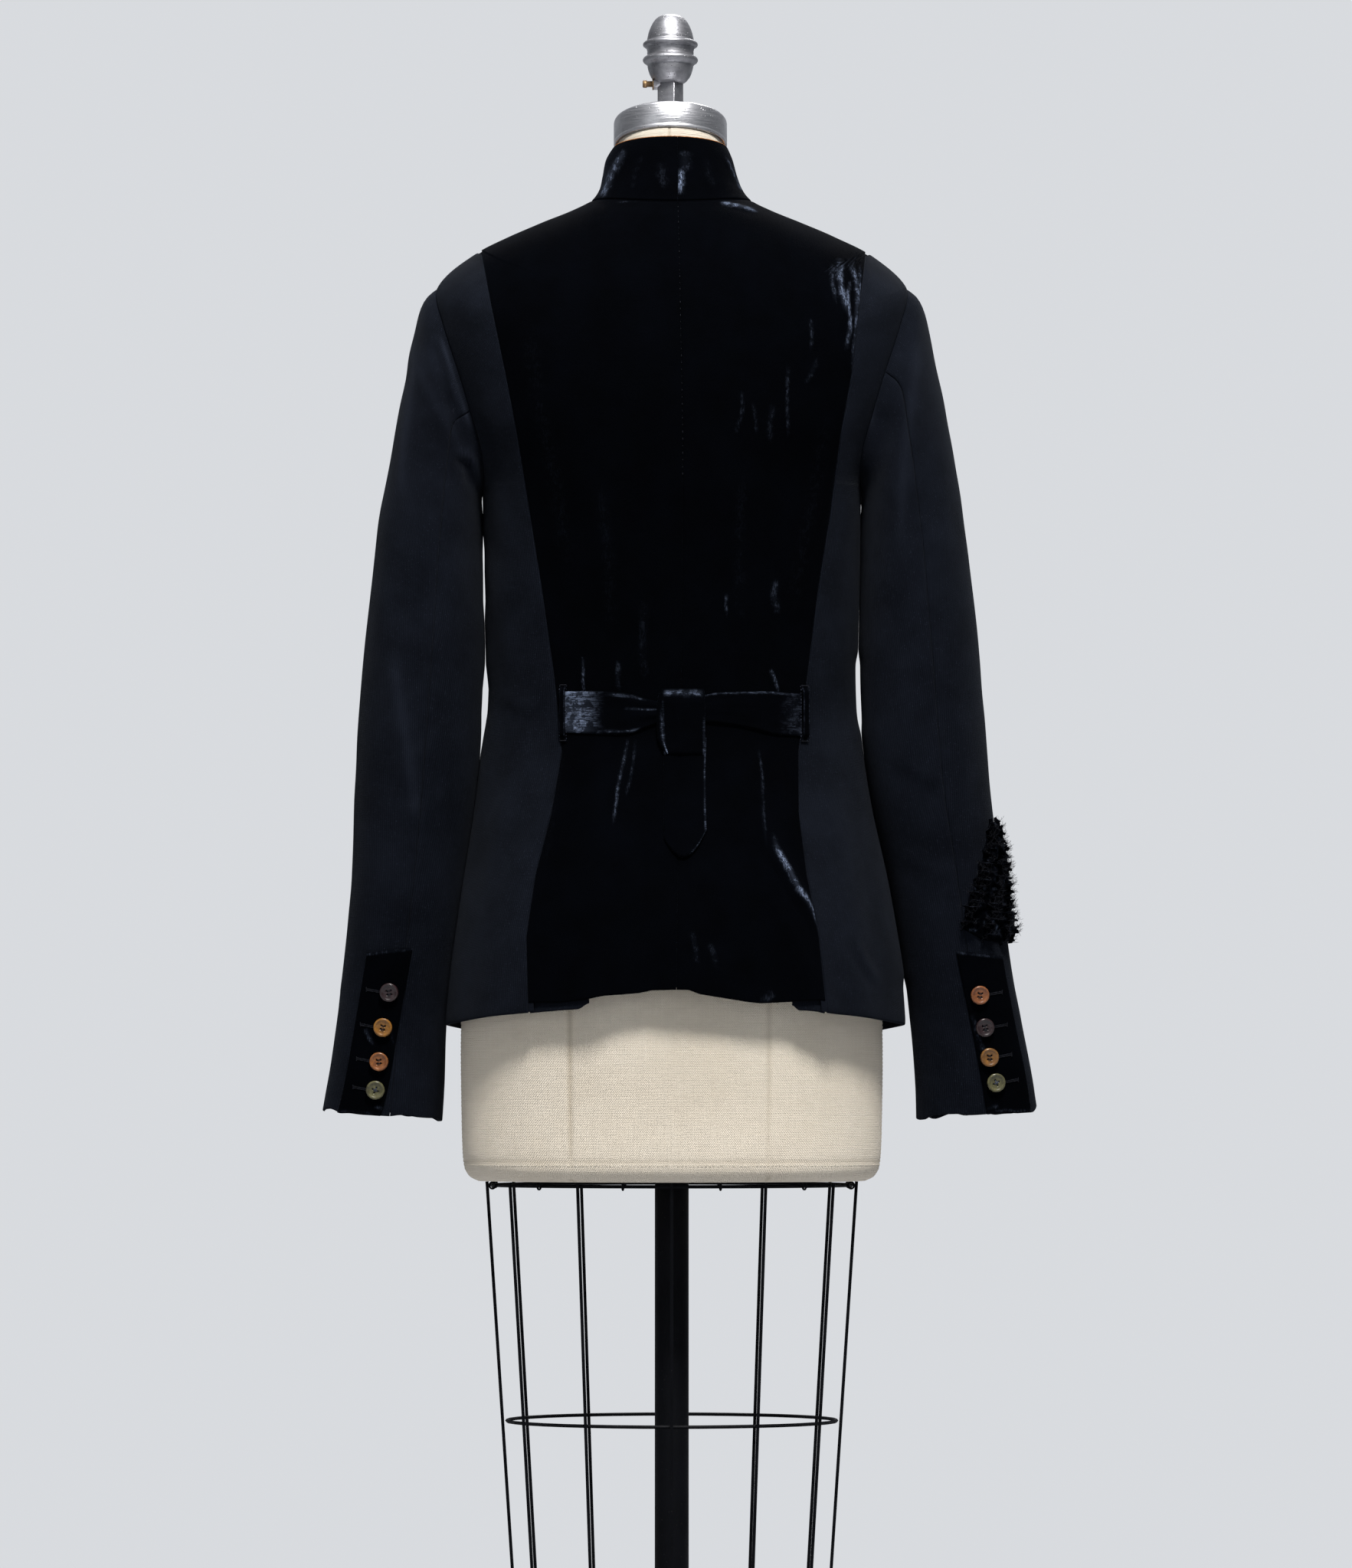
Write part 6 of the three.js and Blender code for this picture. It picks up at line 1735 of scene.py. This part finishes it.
def makeButtons():
    points, faces = buttonShape()
    for side in (left, right):
        for i, (x, z, horn, crossing, turned) in enumerate(buttonPlaces[side]):
            turn, row = sleeveSpot(side, np.array(float(x)), np.array(float(z)))
            out = sleeveOut(side, turn, row)
            base = sleevePoint(side, turn, row) + out * 2.75
            up = unit(np.array([0, 0, 1.0]) - out * out[2])
            across = np.cross(up, out)
            spin = math.radians(turned)
            a, b = math.cos(spin) * across + math.sin(spin) * up, -math.sin(spin) * across + math.cos(spin) * up
            def place(local):
                local = np.atleast_2d(np.asarray(local, float))
                return base + local[:, :1] * a + local[:, 1:2] * b + local[:, 2:3] * out
            name = f"button.{sideName[side]}.{i + 1}"
            disc = addMesh(name, place(points), faces, material=hornLooks[horn])
            hole = buttonLook["holeOff"] * math.sqrt(0.5)
            pairs = [((-hole, hole), (hole, hole)), ((-hole, -hole), (hole, -hole))]
            if crossing == "cross":
                pairs = [((-hole, hole), (hole, -hole)), ((-hole, -hole), (hole, hole))]
            strands = []
            for k, (p, q) in enumerate(pairs):
                for shift in (-0.22, 0.22):
                    p3, q3 = np.array([*p, 0]), np.array([*q, 0])
                    sideways = np.array([-(q3 - p3)[1], (q3 - p3)[0], 0]) / np.linalg.norm(q3 - p3) * shift
                    heights = [0.4, 1.6, 2.25 + 0.22 * k, 2.45 + 0.25 * k, 2.25 + 0.22 * k, 1.6, 0.4]
                    shares = [0, 0.01, 0.12, 0.5, 0.88, 0.99, 1]
                    path = [p3 + (q3 - p3) * s + sideways + [0, 0, h] for s, h in zip(shares, heights)]
                    strands.append(tube("strand", place(path), 0.24, greyThread if horn == "olive" else darkThread,
                        sides=6))
            shank = lathed("shank", [(0, -0.9), (1.6, -0.9), (1.3, 0.1), (0, 0.1)], 12, darkThread)
            reshaped(shank, place)
            thread = outwards(joined(name + ".thread", strands))
            for thing in (disc, thread, shank):
                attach(thing, "root")
            shank.name = name + ".shank"
            outwards(shank)
            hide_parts(f"button_{sideName[side]}_{i + 1}")
    print("buttons made")


makeButtons()

# gathered and torn velvet strips on the right forearm: low angle and height, high angle and height, waves
ruffles = {"strips": [(84, 812, 30, 904, 12), (64, 802, 8, 906, 13), (40, 800, -14, 894, 12), (14, 802, -38, 878, 10)],
    "height": 10.5, "thickness": 0.9}


def makeRuffles():
    edges = []
    for n, (lowAngle, lowZ, highAngle, highZ, waves) in enumerate(ruffles["strips"]):
        waves = round(waves * 1.35)
        count = waves * 14
        t = np.linspace(0, 1, count)
        turn = np.radians(lowAngle + (highAngle - lowAngle) * t)
        z = lowZ + (highZ - lowZ) * t
        row = solve(lambda r: z - sleevePoint(right, turn, r)[..., 2], 8 + 0 * t, lastCuffRow + 0 * t)
        foot, out = sleevePoint(right, turn, row), sleeveOut(right, turn, row)
        ahead = unit(np.gradient(foot, axis=0))
        across = unit(np.cross(out, ahead))
        end = smooth(np.minimum(t, 1 - t) * 8)
        strip = lambda k: np.stack([t * 40, 0 * t + k * n, 0 * t], -1)
        wobble = softNoise(strip(7), 2.2, 12)
        phase = t * waves * 2 * math.pi + 1.3 * wobble
        foot = foot + across * (2.6 * end * np.sin(0.45 * phase + n))[:, None]
        up = np.linspace(0, 1, 12)
        fuller = 0.75 + 0.45 * softNoise(strip(3), 4.1, 17)
        wave = (np.sin(phase)[:, None] * (0.8 + (7.2, 6.6, 5.0, 3.8)[n] * up * fuller[:, None])
            + 1.6 * np.sin(2.7 * phase + 2)[:, None] * up ** 2)
        wave = wave + (3.4 if n < 2 else 1.2) * np.sin(0.37 * phase + n)[:, None] * up ** 1.5
        torn = 0.14 * softNoise(strip(5), 0.7, 23)[:, None] * smooth(up * 3 - 2)
        height = ruffles["height"] * up * (0.36 + 0.52 * end + 0.2 * wobble)[:, None] * (1 + torn)
        face = (foot[:, None] + out[:, None] * (0.5 + height)[..., None]
            + across[:, None] * (wave * end[:, None])[..., None])
        # the top edge curls over
        face = face + out[:, None] * (-1.9 * np.clip(up - 0.72, 0, 1) * 4 * (0.5 + 0.5 * np.cos(phase))[:, None])[...,
            None]
        normal = gridOut(face, np.broadcast_to(across[:, None], face.shape))
        # painted glints on the strips' upper halves
        nap = 0.5 * smooth((up - 0.4) * 3)[None] * np.clip(-0.05 + 1.1 * softNoise(face, 4, 14 + n), 0, 1)
        thing = thinShell(f"ruffle.{n + 1}", face, normal, ruffles["thickness"], velvetCloth, 0 * face[..., 0],
            0 * face[..., 0], nap)
        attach(thing, "root")
        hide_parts(f"sleeve_ruffle_{n + 1}")
        edges.append((face[:, -1], out[count // 2]))
    # between the strips the velvet is gathered into a crumpled ground
    table = np.array(ruffles["strips"], float)
    across, t = np.linspace(0, 3, 44)[None], np.linspace(0.02, 0.96, 84)[:, None]
    columns = [np.interp(across, range(4), table[:, k]) for k in range(4)]
    turn = np.radians(columns[0] + (columns[2] - columns[0]) * t)
    z = columns[1] + (columns[3] - columns[1]) * t
    row = solve(lambda r: z - sleevePoint(right, turn, r)[..., 2], 8 + 0 * z, lastCuffRow + 0 * z)
    face, out = sleevePoint(right, turn, row), sleeveOut(right, turn, row)
    inner = np.minimum(np.minimum(across, 3 - across) * 4, np.minimum(t, 1 - t) * 12)
    folds = 0.5 + 0.5 * softNoise(face * [1, 1, 0.8], 5.5, 31) + 0.35 * softNoise(face, 2.6, 32)
    lift = 1.2 + smooth(inner) * np.clip(4.4 * folds, 0, 4.6)
    # painted glints scattered over the ground
    nap = 0.45 * np.clip(1.5 * softNoise(face, 3.4, 33) - 0.2, 0, 1) + 0 * z
    ground = thinShell("ruffle.ground", face, out, ruffles["thickness"], velvetCloth, lift, 0.5 * (1 - smooth(inner)),
        nap)
    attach(ground, "root")
    for n, (edge, out) in enumerate(edges):
        goingWith[f"ruffle.{n + 1}"] = [grown(f"ruffle.fringe.{n + 1}", fringeTree, [edge],
            {"Spacing": 0.0007, "Thread Length": 0.0052, "Thread": 0.0001, "Spread": 1.0,
                       "Out": tuple(float(v) for v in out), "Seed": 20 + n, "Material": darkThread})]
    print("ruffles made")


makeRuffles()


def makeCollarEdge():
    # a narrow bias edge runs round the collar's top
    lines = []
    for side in (left, right):
        start, end = float(centreBack(np.array([0.0]))[0]), float(centreFront(side, np.array([0.0]))[0])
        if side == right and end < math.pi / 2:
            end += 2 * math.pi
        angles = np.linspace(start, end, 120)
        lines.append(bodyPoint(angles, np.zeros(120)) - bodyOut(angles, np.full(120, 0.05)) * 0.9
            + np.array([0, 0, 0.15]))
    grown("collar.edging", stitchTree, lines, {"Spacing": 0.0011, "Stitch Length": 0.002, "Thread": 0.0009,
        "Unevenness": 0.15, "Seed": 2, "Material": collarEdgeThread})
    # loose stitches along the centre back seam
    x = np.interp(np.linspace(1405, 1180, 90), velvetCut[::-1, 0], velvetCut[::-1, 2])
    seam = onBody(x, np.linspace(1405, 1180, 90), np.full(90, 0.05))
    grown("back.seamStitches", stitchTree, [seam], {"Spacing": 0.0056, "Stitch Length": 0.0014, "Thread": 0.00035,
        "Unevenness": 0.5, "Seed": 6, "Material": darkThread})


makeCollarEdge()

formLook = {
    "around": 288, "rowPitch": 4.0, "socketRadius": 14.6, "socketDepth": 78,
    "seamWidth": 0.9, "seamDepth": 0.5, "hipHalf": 172, "rim": 622, "footStitches": 619.4, "foot": 605.2,
    # seams at these distances from the middle at the hip, behind and in front, and what they close to above
    "backSeams": [(2, 1.0), (82, 0.62), (-79, 0.62)], "frontSeams": [(0, 1.0), (78, 0.6), (-78, 0.6)],
}
neckTop, neckTilt = np.array([1.2, -1.5, 1466.6]), math.radians(11.2)


def onNeck(points):
    # points measured from the middle of the tilted neck cut
    x, y, z = np.moveaxis(np.asarray(points, float), -1, 0)
    c, s = math.cos(neckTilt), math.sin(neckTilt)
    return np.stack([x, y * c - z * s, y * s + z * c], -1) + neckTop


def makeTorso():
    look = formLook
    angles = np.linspace(0, 2 * math.pi, look["around"] + 1)
    across = np.array([0, -math.sin(neckTilt), math.cos(neckTilt)])
    lastRow = len(formRings) - 1.0
    start = solve(lambda r: -((ringPoint(formRings, angles, r) - neckTop) @ across), 0 * angles, 4 + 0 * angles)
    share = np.concatenate([np.linspace(0, 1, 210)[:-12], np.linspace(0.947, 1, 26)])
    share = np.unique(np.round(share, 5))
    rows = start + (lastRow - start) * share[:, None]
    face = ringPoint(formRings, angles[None], rows)
    out = gridOut(face, face * [1, 1, 0])
    seam = np.zeros(face.shape[:2])
    girth = np.abs(ringPoint(formRings, np.zeros(1), rows[:, :1])[..., 0])
    for behind, group in ((True, look["backSeams"]), (False, look["frontSeams"])):
        half = (face[..., 1] > 0) == behind
        for place, narrow in group:
            line = place * (narrow + (1 - narrow) * girth / look["hipHalf"]) if abs(place) > 5 else place + 0 * girth
            seam = np.maximum(seam, np.where(half, np.exp(-((face[..., 0] - line) / look["seamWidth"]) ** 2), 0))
    for angle in (0.0, math.pi, 2 * math.pi):
        seam = np.maximum(seam, np.exp(-((angles - angle)[None] * girth / look["seamWidth"]) ** 2))
    # the cloth's gentle puckers beside its seams, and the doubled band round the foot
    face = face + out * (-look["seamDepth"] * seam + 0.12 * softNoise(face * [1, 1, 0.4], 16, 51))[..., None]
    rim = np.exp(-((face[..., 2] - look["rim"]) / 0.8) ** 2)
    face = face - out * (0.25 * rim)[..., None]
    face = face[:, :-1]
    mask = np.maximum(seam, 0.6 * rim)[:, :-1]
    count, down = face.shape[1], face.shape[0]
    points = list(face.reshape(-1, 3))
    values = list(mask.ravel())
    faces = [[r * count + i, (r + 1) * count + i, (r + 1) * count + (i + 1) % count, r * count + (i + 1) % count]
        for r in range(down - 1) for i in range(count)]
    socketTop = look["foot"] + look["socketDepth"]
    # the underside runs in to the pole's socket, the top is closed under the cap
    for ringRadius, z in ((None, 606.0), (60, look["foot"]), (look["socketRadius"], look["foot"]),
            (look["socketRadius"], socketTop)):
        base = len(points) - count
        for i in range(count):
            x, y = face[-1, i, :2]
            if ringRadius is None:
                x, y = x * 0.985, y * 0.985
            else:
                x, y = ringRadius * np.cos(angles[i]), ringRadius * np.sin(angles[i])
            points.append((x, y, z))
            values.append(0.0)
        faces += [[base + i, base + count + i, base + count + (i + 1) % count, base + (i + 1) % count]
            for i in range(count)]
    points += [(0, 0, socketTop), tuple(face[0].mean(0))]
    values += [0.0, 0.0]
    last = len(points) - 2
    faces += [[last - count + i, last, last - count + (i + 1) % count] for i in range(count)]
    faces += [[i, (i + 1) % count, last + 1] for i in range(count)]
    # the weave runs straight up and round; its join lies beside one arm
    uvs = []
    for face in faces:
        turned = [math.atan2(points[k][1], points[k][0]) for k in face]
        turned = [t + 2 * math.pi if t < -1.5 and max(turned) > 1.5 else t for t in turned]
        uvs += [(t * 165, points[k][2]) for t, k in zip(turned, face)]
    torso = addMesh("formTorso", np.array(points), faces, uvs=uvs, values={"nap": values}, material=linenCloth)
    outwards(torso)
    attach(torso, "root")
    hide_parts("form_torso")
    # stitched lines beside the side seams and round the foot
    lines = []
    for side in (0.0, math.pi):
        for beside in (-3.4, 3.4):
            z = np.linspace(616, 800, 60)
            row = solve(lambda r: z - ringPoint(formRings, np.full(60, side), r)[..., 2], 12 + 0 * z, lastRow + 0 * z)
            angle = side + beside / look["hipHalf"]
            spot = ringPoint(formRings, np.full(60, angle), row)
            lines.append(spot + unit(spot * [1, 1, 0]) * 0.1)
    footRow = solve(lambda r: look["footStitches"] - ringPoint(formRings, np.zeros(1), r)[..., 2], np.full(1, 12.0),
        np.full(1, lastRow))
    spot = ringPoint(formRings, np.linspace(0, 2 * math.pi, 361), np.full(361, float(footRow[0])))
    lines.append(spot + unit(spot * [1, 1, 0]) * 0.1)
    grown("form.stitches", stitchTree, lines, {"Spacing": 0.0032, "Stitch Length": 0.0022, "Thread": 0.0005,
        "Unevenness": 0.2, "Seed": 31, "Material": linenThread})


linenThread = makeThread("linenThread", colour(226, 219, 204), colour(190, 180, 160))
makeTorso()

# the turned cap and the knob above it
finialProfile = [
    (0, 1520.5), (7.2, 1520.5), (8.6, 1521.0), (12.6, 1522.3), (13.6, 1523.2), (16.2, 1526.4), (17.6, 1529.4),
        (18.6, 1532.8), (19.2, 1535.4), (19.0, 1536.2), (19.9, 1537.0),
    (20.9, 1538.0), (22.3, 1538.9), (23.0, 1540.1), (23.1, 1541.2), (22.6, 1542.4), (21.2, 1543.6), (19.6, 1544.6),
        (19.2, 1545.2), (19.5, 1546.6), (19.3, 1548.2), (19.8, 1550.0),
    (20.3, 1551.0), (20.2, 1551.5), (21.6, 1552.0), (22.7, 1552.8), (23.0, 1554.0), (22.7, 1555.1), (21.6, 1556.0),
        (20.2, 1556.7), (19.3, 1557.2), (19.5, 1558.4), (19.1, 1560.4),
    (18.5, 1563.2), (17.6, 1566.0), (16.2, 1569.4), (14.6, 1572.4), (12.8, 1574.9), (10.6, 1576.9), (8.0, 1578.2),
        (4.8, 1578.9), (2.0, 1579.1), (0, 1579.1),
]
capProfile = [(0, 0.4), (46.6, 0.4), (47.1, 0.9), (47.3, 2.0), (47.3, 3.1), (47.0, 3.5), (47.0, 4.1), (47.3, 4.6),
    (47.3, 20.2), (47.0, 21.6), (46.3, 22.8), (45.2, 23.5), (43.5, 23.9), (40, 24.05), (0, 24.05)]
plumb = np.array([1.2, -6.16, 0])
screwHeight = 1520.8


def boxAt(name, half, low, high, turned, bevel, material):
    # an upright square bar with eased edges
    c, s = math.cos(turned), math.sin(turned)
    corners = []
    for x, y in ((1, 1), (-1, 1), (-1, -1), (1, -1)):
        for k in range(5):
            t = math.atan2(y, x) - math.pi / 4 + math.pi / 2 * k / 4
            corners.append((x * (half - bevel) + bevel * math.cos(t), y * (half - bevel) + bevel * math.sin(t)))
    ring = np.array(corners) @ np.array([[c, s], [-s, c]])
    points, faces, count = [], [], len(ring)
    for z, inset in ((low, bevel), (low + bevel, 0), (high - bevel, 0), (high, bevel)):
        points += [(*(p * (1 - inset / half)), z) for p in ring]
    for k in range(3):
        faces += [[k * count + i, k * count + (i + 1) % count, (k + 1) * count + (i + 1) % count, (k + 1) * count + i]
            for i in range(count)]
    faces += [list(range(count))[::-1], [3 * count + i for i in range(count)]]
    return addMesh(name, np.array(points) + plumb, faces, material=material)


def laidFlat(points):
    # turns an upright piece on to its side, at the set screw's height
    return np.stack([-points[:, 2], points[:, 1], points[:, 0] + screwHeight], -1) + plumb


def makeCapAndKnob():
    cap = reshaped(outwards(lathed("neckCap", capProfile, 160, brightCap)), onNeck)
    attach(cap, "root")
    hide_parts("form_neck_cap")
    knob = outwards(lathed("finialKnob", finialProfile, 96, darkCap, plumb))
    stem = outwards(boxAt("finialStem", 8.15, 1481, 1524, math.radians(-28), 0.9, darkCap))
    boss = lathed("finialBoss", [(0, -14.4), (4.3, -14.4), (4.8, -13.6), (4.8, 0), (0, 0)], 40, darkCap)
    outwards(reshaped(boss, laidFlat))
    for thing in (knob, stem, boss):
        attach(thing, "root")
    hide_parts("form_finial")
    screw = lathed("setScrew", [(0, -23.2), (2.4, -23.2), (3.1, -22.6), (3.2, -20.2), (2.9, -19.6), (2.5, -19.4),
        (2.5, -15.0), (0, -15.0)], 32, rustyScrew)
    outwards(reshaped(screw, laidFlat))
    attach(screw, "root")
    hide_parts("form_finial_screw")
    # a brown ring of rust where the screw enters
    rust = []
    for k in range(36):
        t = 2 * math.pi * k / 36
        rust.append((14.5, 4.5 * math.cos(t), 4.5 * math.sin(t) + screwHeight))
    stain = tube("rustRing", np.array(rust) + plumb, 0.55 + 0.2 * np.sin(np.arange(36) * 1.7), rustyScrew, sides=6,
        closed=True)
    outwards(stain)
    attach(stain, "root")


makeCapAndKnob()

cageEyes = {"count": 12, "halfWidth": 152.3, "halfDepth": 99.8, "middle": 3.9, "height": 602.5, "radius": 2.6,
    "wire": 0.85}


def makeStand():
    pole = outwards(lathed("standPole", [(0, 12.6), (13.6, 12.6), (14.0, 13.2), (14.0, 684.6), (13.4, 685.4),
        (0, 685.4)], 64, blackSteel))
    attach(pole, "root")
    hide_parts("stand_pole")
    base = outwards(lathed("standBase", [
        (0, 0), (213.8, 0), (215, 1.2), (215, 7.4), (213.5, 10.6), (209, 12.9), (198, 13.6), (150, 16.6), (92, 20),
            (70, 21.8), (52, 24.6), (40, 28.6), (33.5, 33.6), (29.4, 40), (28, 46),
        (27.4, 52), (26.6, 62), (25.8, 65.2), (24.4, 66), (14.5, 66), (14.5, 12.1), (0, 12.1)], 144, castIron))
    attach(base, "root")
    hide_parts("stand_base")
    for name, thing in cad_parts.items():
        if name.startswith("cage_"):
            for holder in thing.material_slots:
                holder.material = blackSteel
    # each wire's end is hooked round the rim ring as a small eye
    look, eyes = cageEyes, []
    for i in range(look["count"]):
        t = 2 * math.pi * (i + 0.5) / look["count"]
        spot = np.array([look["halfWidth"] * math.cos(t), look["middle"] + look["halfDepth"] * math.sin(t),
            look["height"]])
        out = unit(np.array([math.cos(t) / 152, math.sin(t) / 100, 0]))
        turns = np.linspace(0, 2 * math.pi, 25)[:-1]
        ring = spot + look["radius"] * (np.cos(turns)[:, None] * out + np.sin(turns)[:, None] * np.array([0, 0, 1.0]))
        eyes.append(tube("eye", ring, look["wire"], blackSteel, sides=8, closed=True))
    eye = outwards(joined("cageEyes", eyes))
    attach(eye, "root")
    print("form and stand made")


makeStand()

studio = {
    "seen": (0.69, 0.708, 0.737, 1), "air": (0.72, 0.75, 0.8, 1), "airAbove": 0.58, "airBeside": 0.2, "airBelow": 0.22,
        "floor": -0.4,
    "lamps": [  # place in metres, width, power, colour
        ("keyLamp", (-0.45, 2.5, 4.6), 0.9, 285, (1.0, 0.985, 0.965)),
        ("fillLamp", (2.4, 3.2, 1.6), 1.8, 7, (0.97, 0.985, 1.0)),
        ("topLamp", (0.0, 0.6, 3.6), 1.6, 36, (1.0, 1.0, 1.0)),
        ("frontLamp", (-0.4, -2.7, 4.2), 1.6, 70, (1.0, 0.99, 0.98)),
    ],
}


def makeStudio():
    # the pale ground that is seen, and a softer air that lights the cloth: brighter above, darker beside
    world = bpy.data.worlds.new("studioAir")
    world.use_nodes = True
    tree = world.node_tree
    tree.nodes.clear()
    sky = put(tree, "ShaderNodeSeparateXYZ", {0: put(tree, "ShaderNodeTexCoord").outputs["Generated"]})
    beside = calc(tree, "POWER", calc(tree, "ABSOLUTE", sky.outputs[0]), 1.5)
    level = blendColour(tree, beside, (studio["airAbove"],) * 3 + (1,), (studio["airBeside"],) * 3 + (1,))
    level = blendColour(tree, spread(tree, sky.outputs[2], -0.1, -0.6), level, (studio["airBelow"],) * 3 + (1,))
    lighting = put(tree, "ShaderNodeBackground", {0: studio["air"], 1: level})
    seen = put(tree, "ShaderNodeBackground", {0: studio["seen"], 1: 1.0})
    mixed = put(tree, "ShaderNodeMixShader", {0: put(tree, "ShaderNodeLightPath").outputs["Is Camera Ray"],
        1: lighting.outputs[0], 2: seen.outputs[0]})
    put(tree, "ShaderNodeOutputWorld", {0: mixed.outputs[0]})
    bpy.context.scene.world = world
    bpy.context.scene.view_settings.view_transform = "Standard"
    for name, place, width, power, tint in studio["lamps"]:
        data = bpy.data.lights.new(name, "AREA")
        data.shape, data.size, data.energy, data.color = "DISK", width, power, tint
        lamp = bpy.data.objects.new(name, data)
        lamp.location = place
        lamp.rotation_euler = (Vector((0, 0, 1.05)) - Vector(place)).to_track_quat("-Z", "Y").to_euler()
        bpy.context.scene.collection.objects.link(lamp)
    turns = 2 * math.pi * np.arange(96) / 96
    rings = [0.0, 400, 1200, 2200, 3100]
    points = [[0, 0, studio["floor"]]] + [[r * math.cos(t), r * math.sin(t), studio["floor"]] for r in rings[1:]
        for t in turns]
    faces = [[0, 1 + i, 1 + (i + 1) % 96] for i in range(96)]
    for k in range(len(rings) - 2):
        faces += [[1 + k * 96 + i, 1 + (k + 1) * 96 + i, 1 + (k + 1) * 96 + (i + 1) % 96, 1 + k * 96 + (i + 1) % 96]
            for i in range(96)]
    addMesh("studioFloor", points, faces, material=makeFloor("paleFloor"))


makeStudio()
print("studio made")
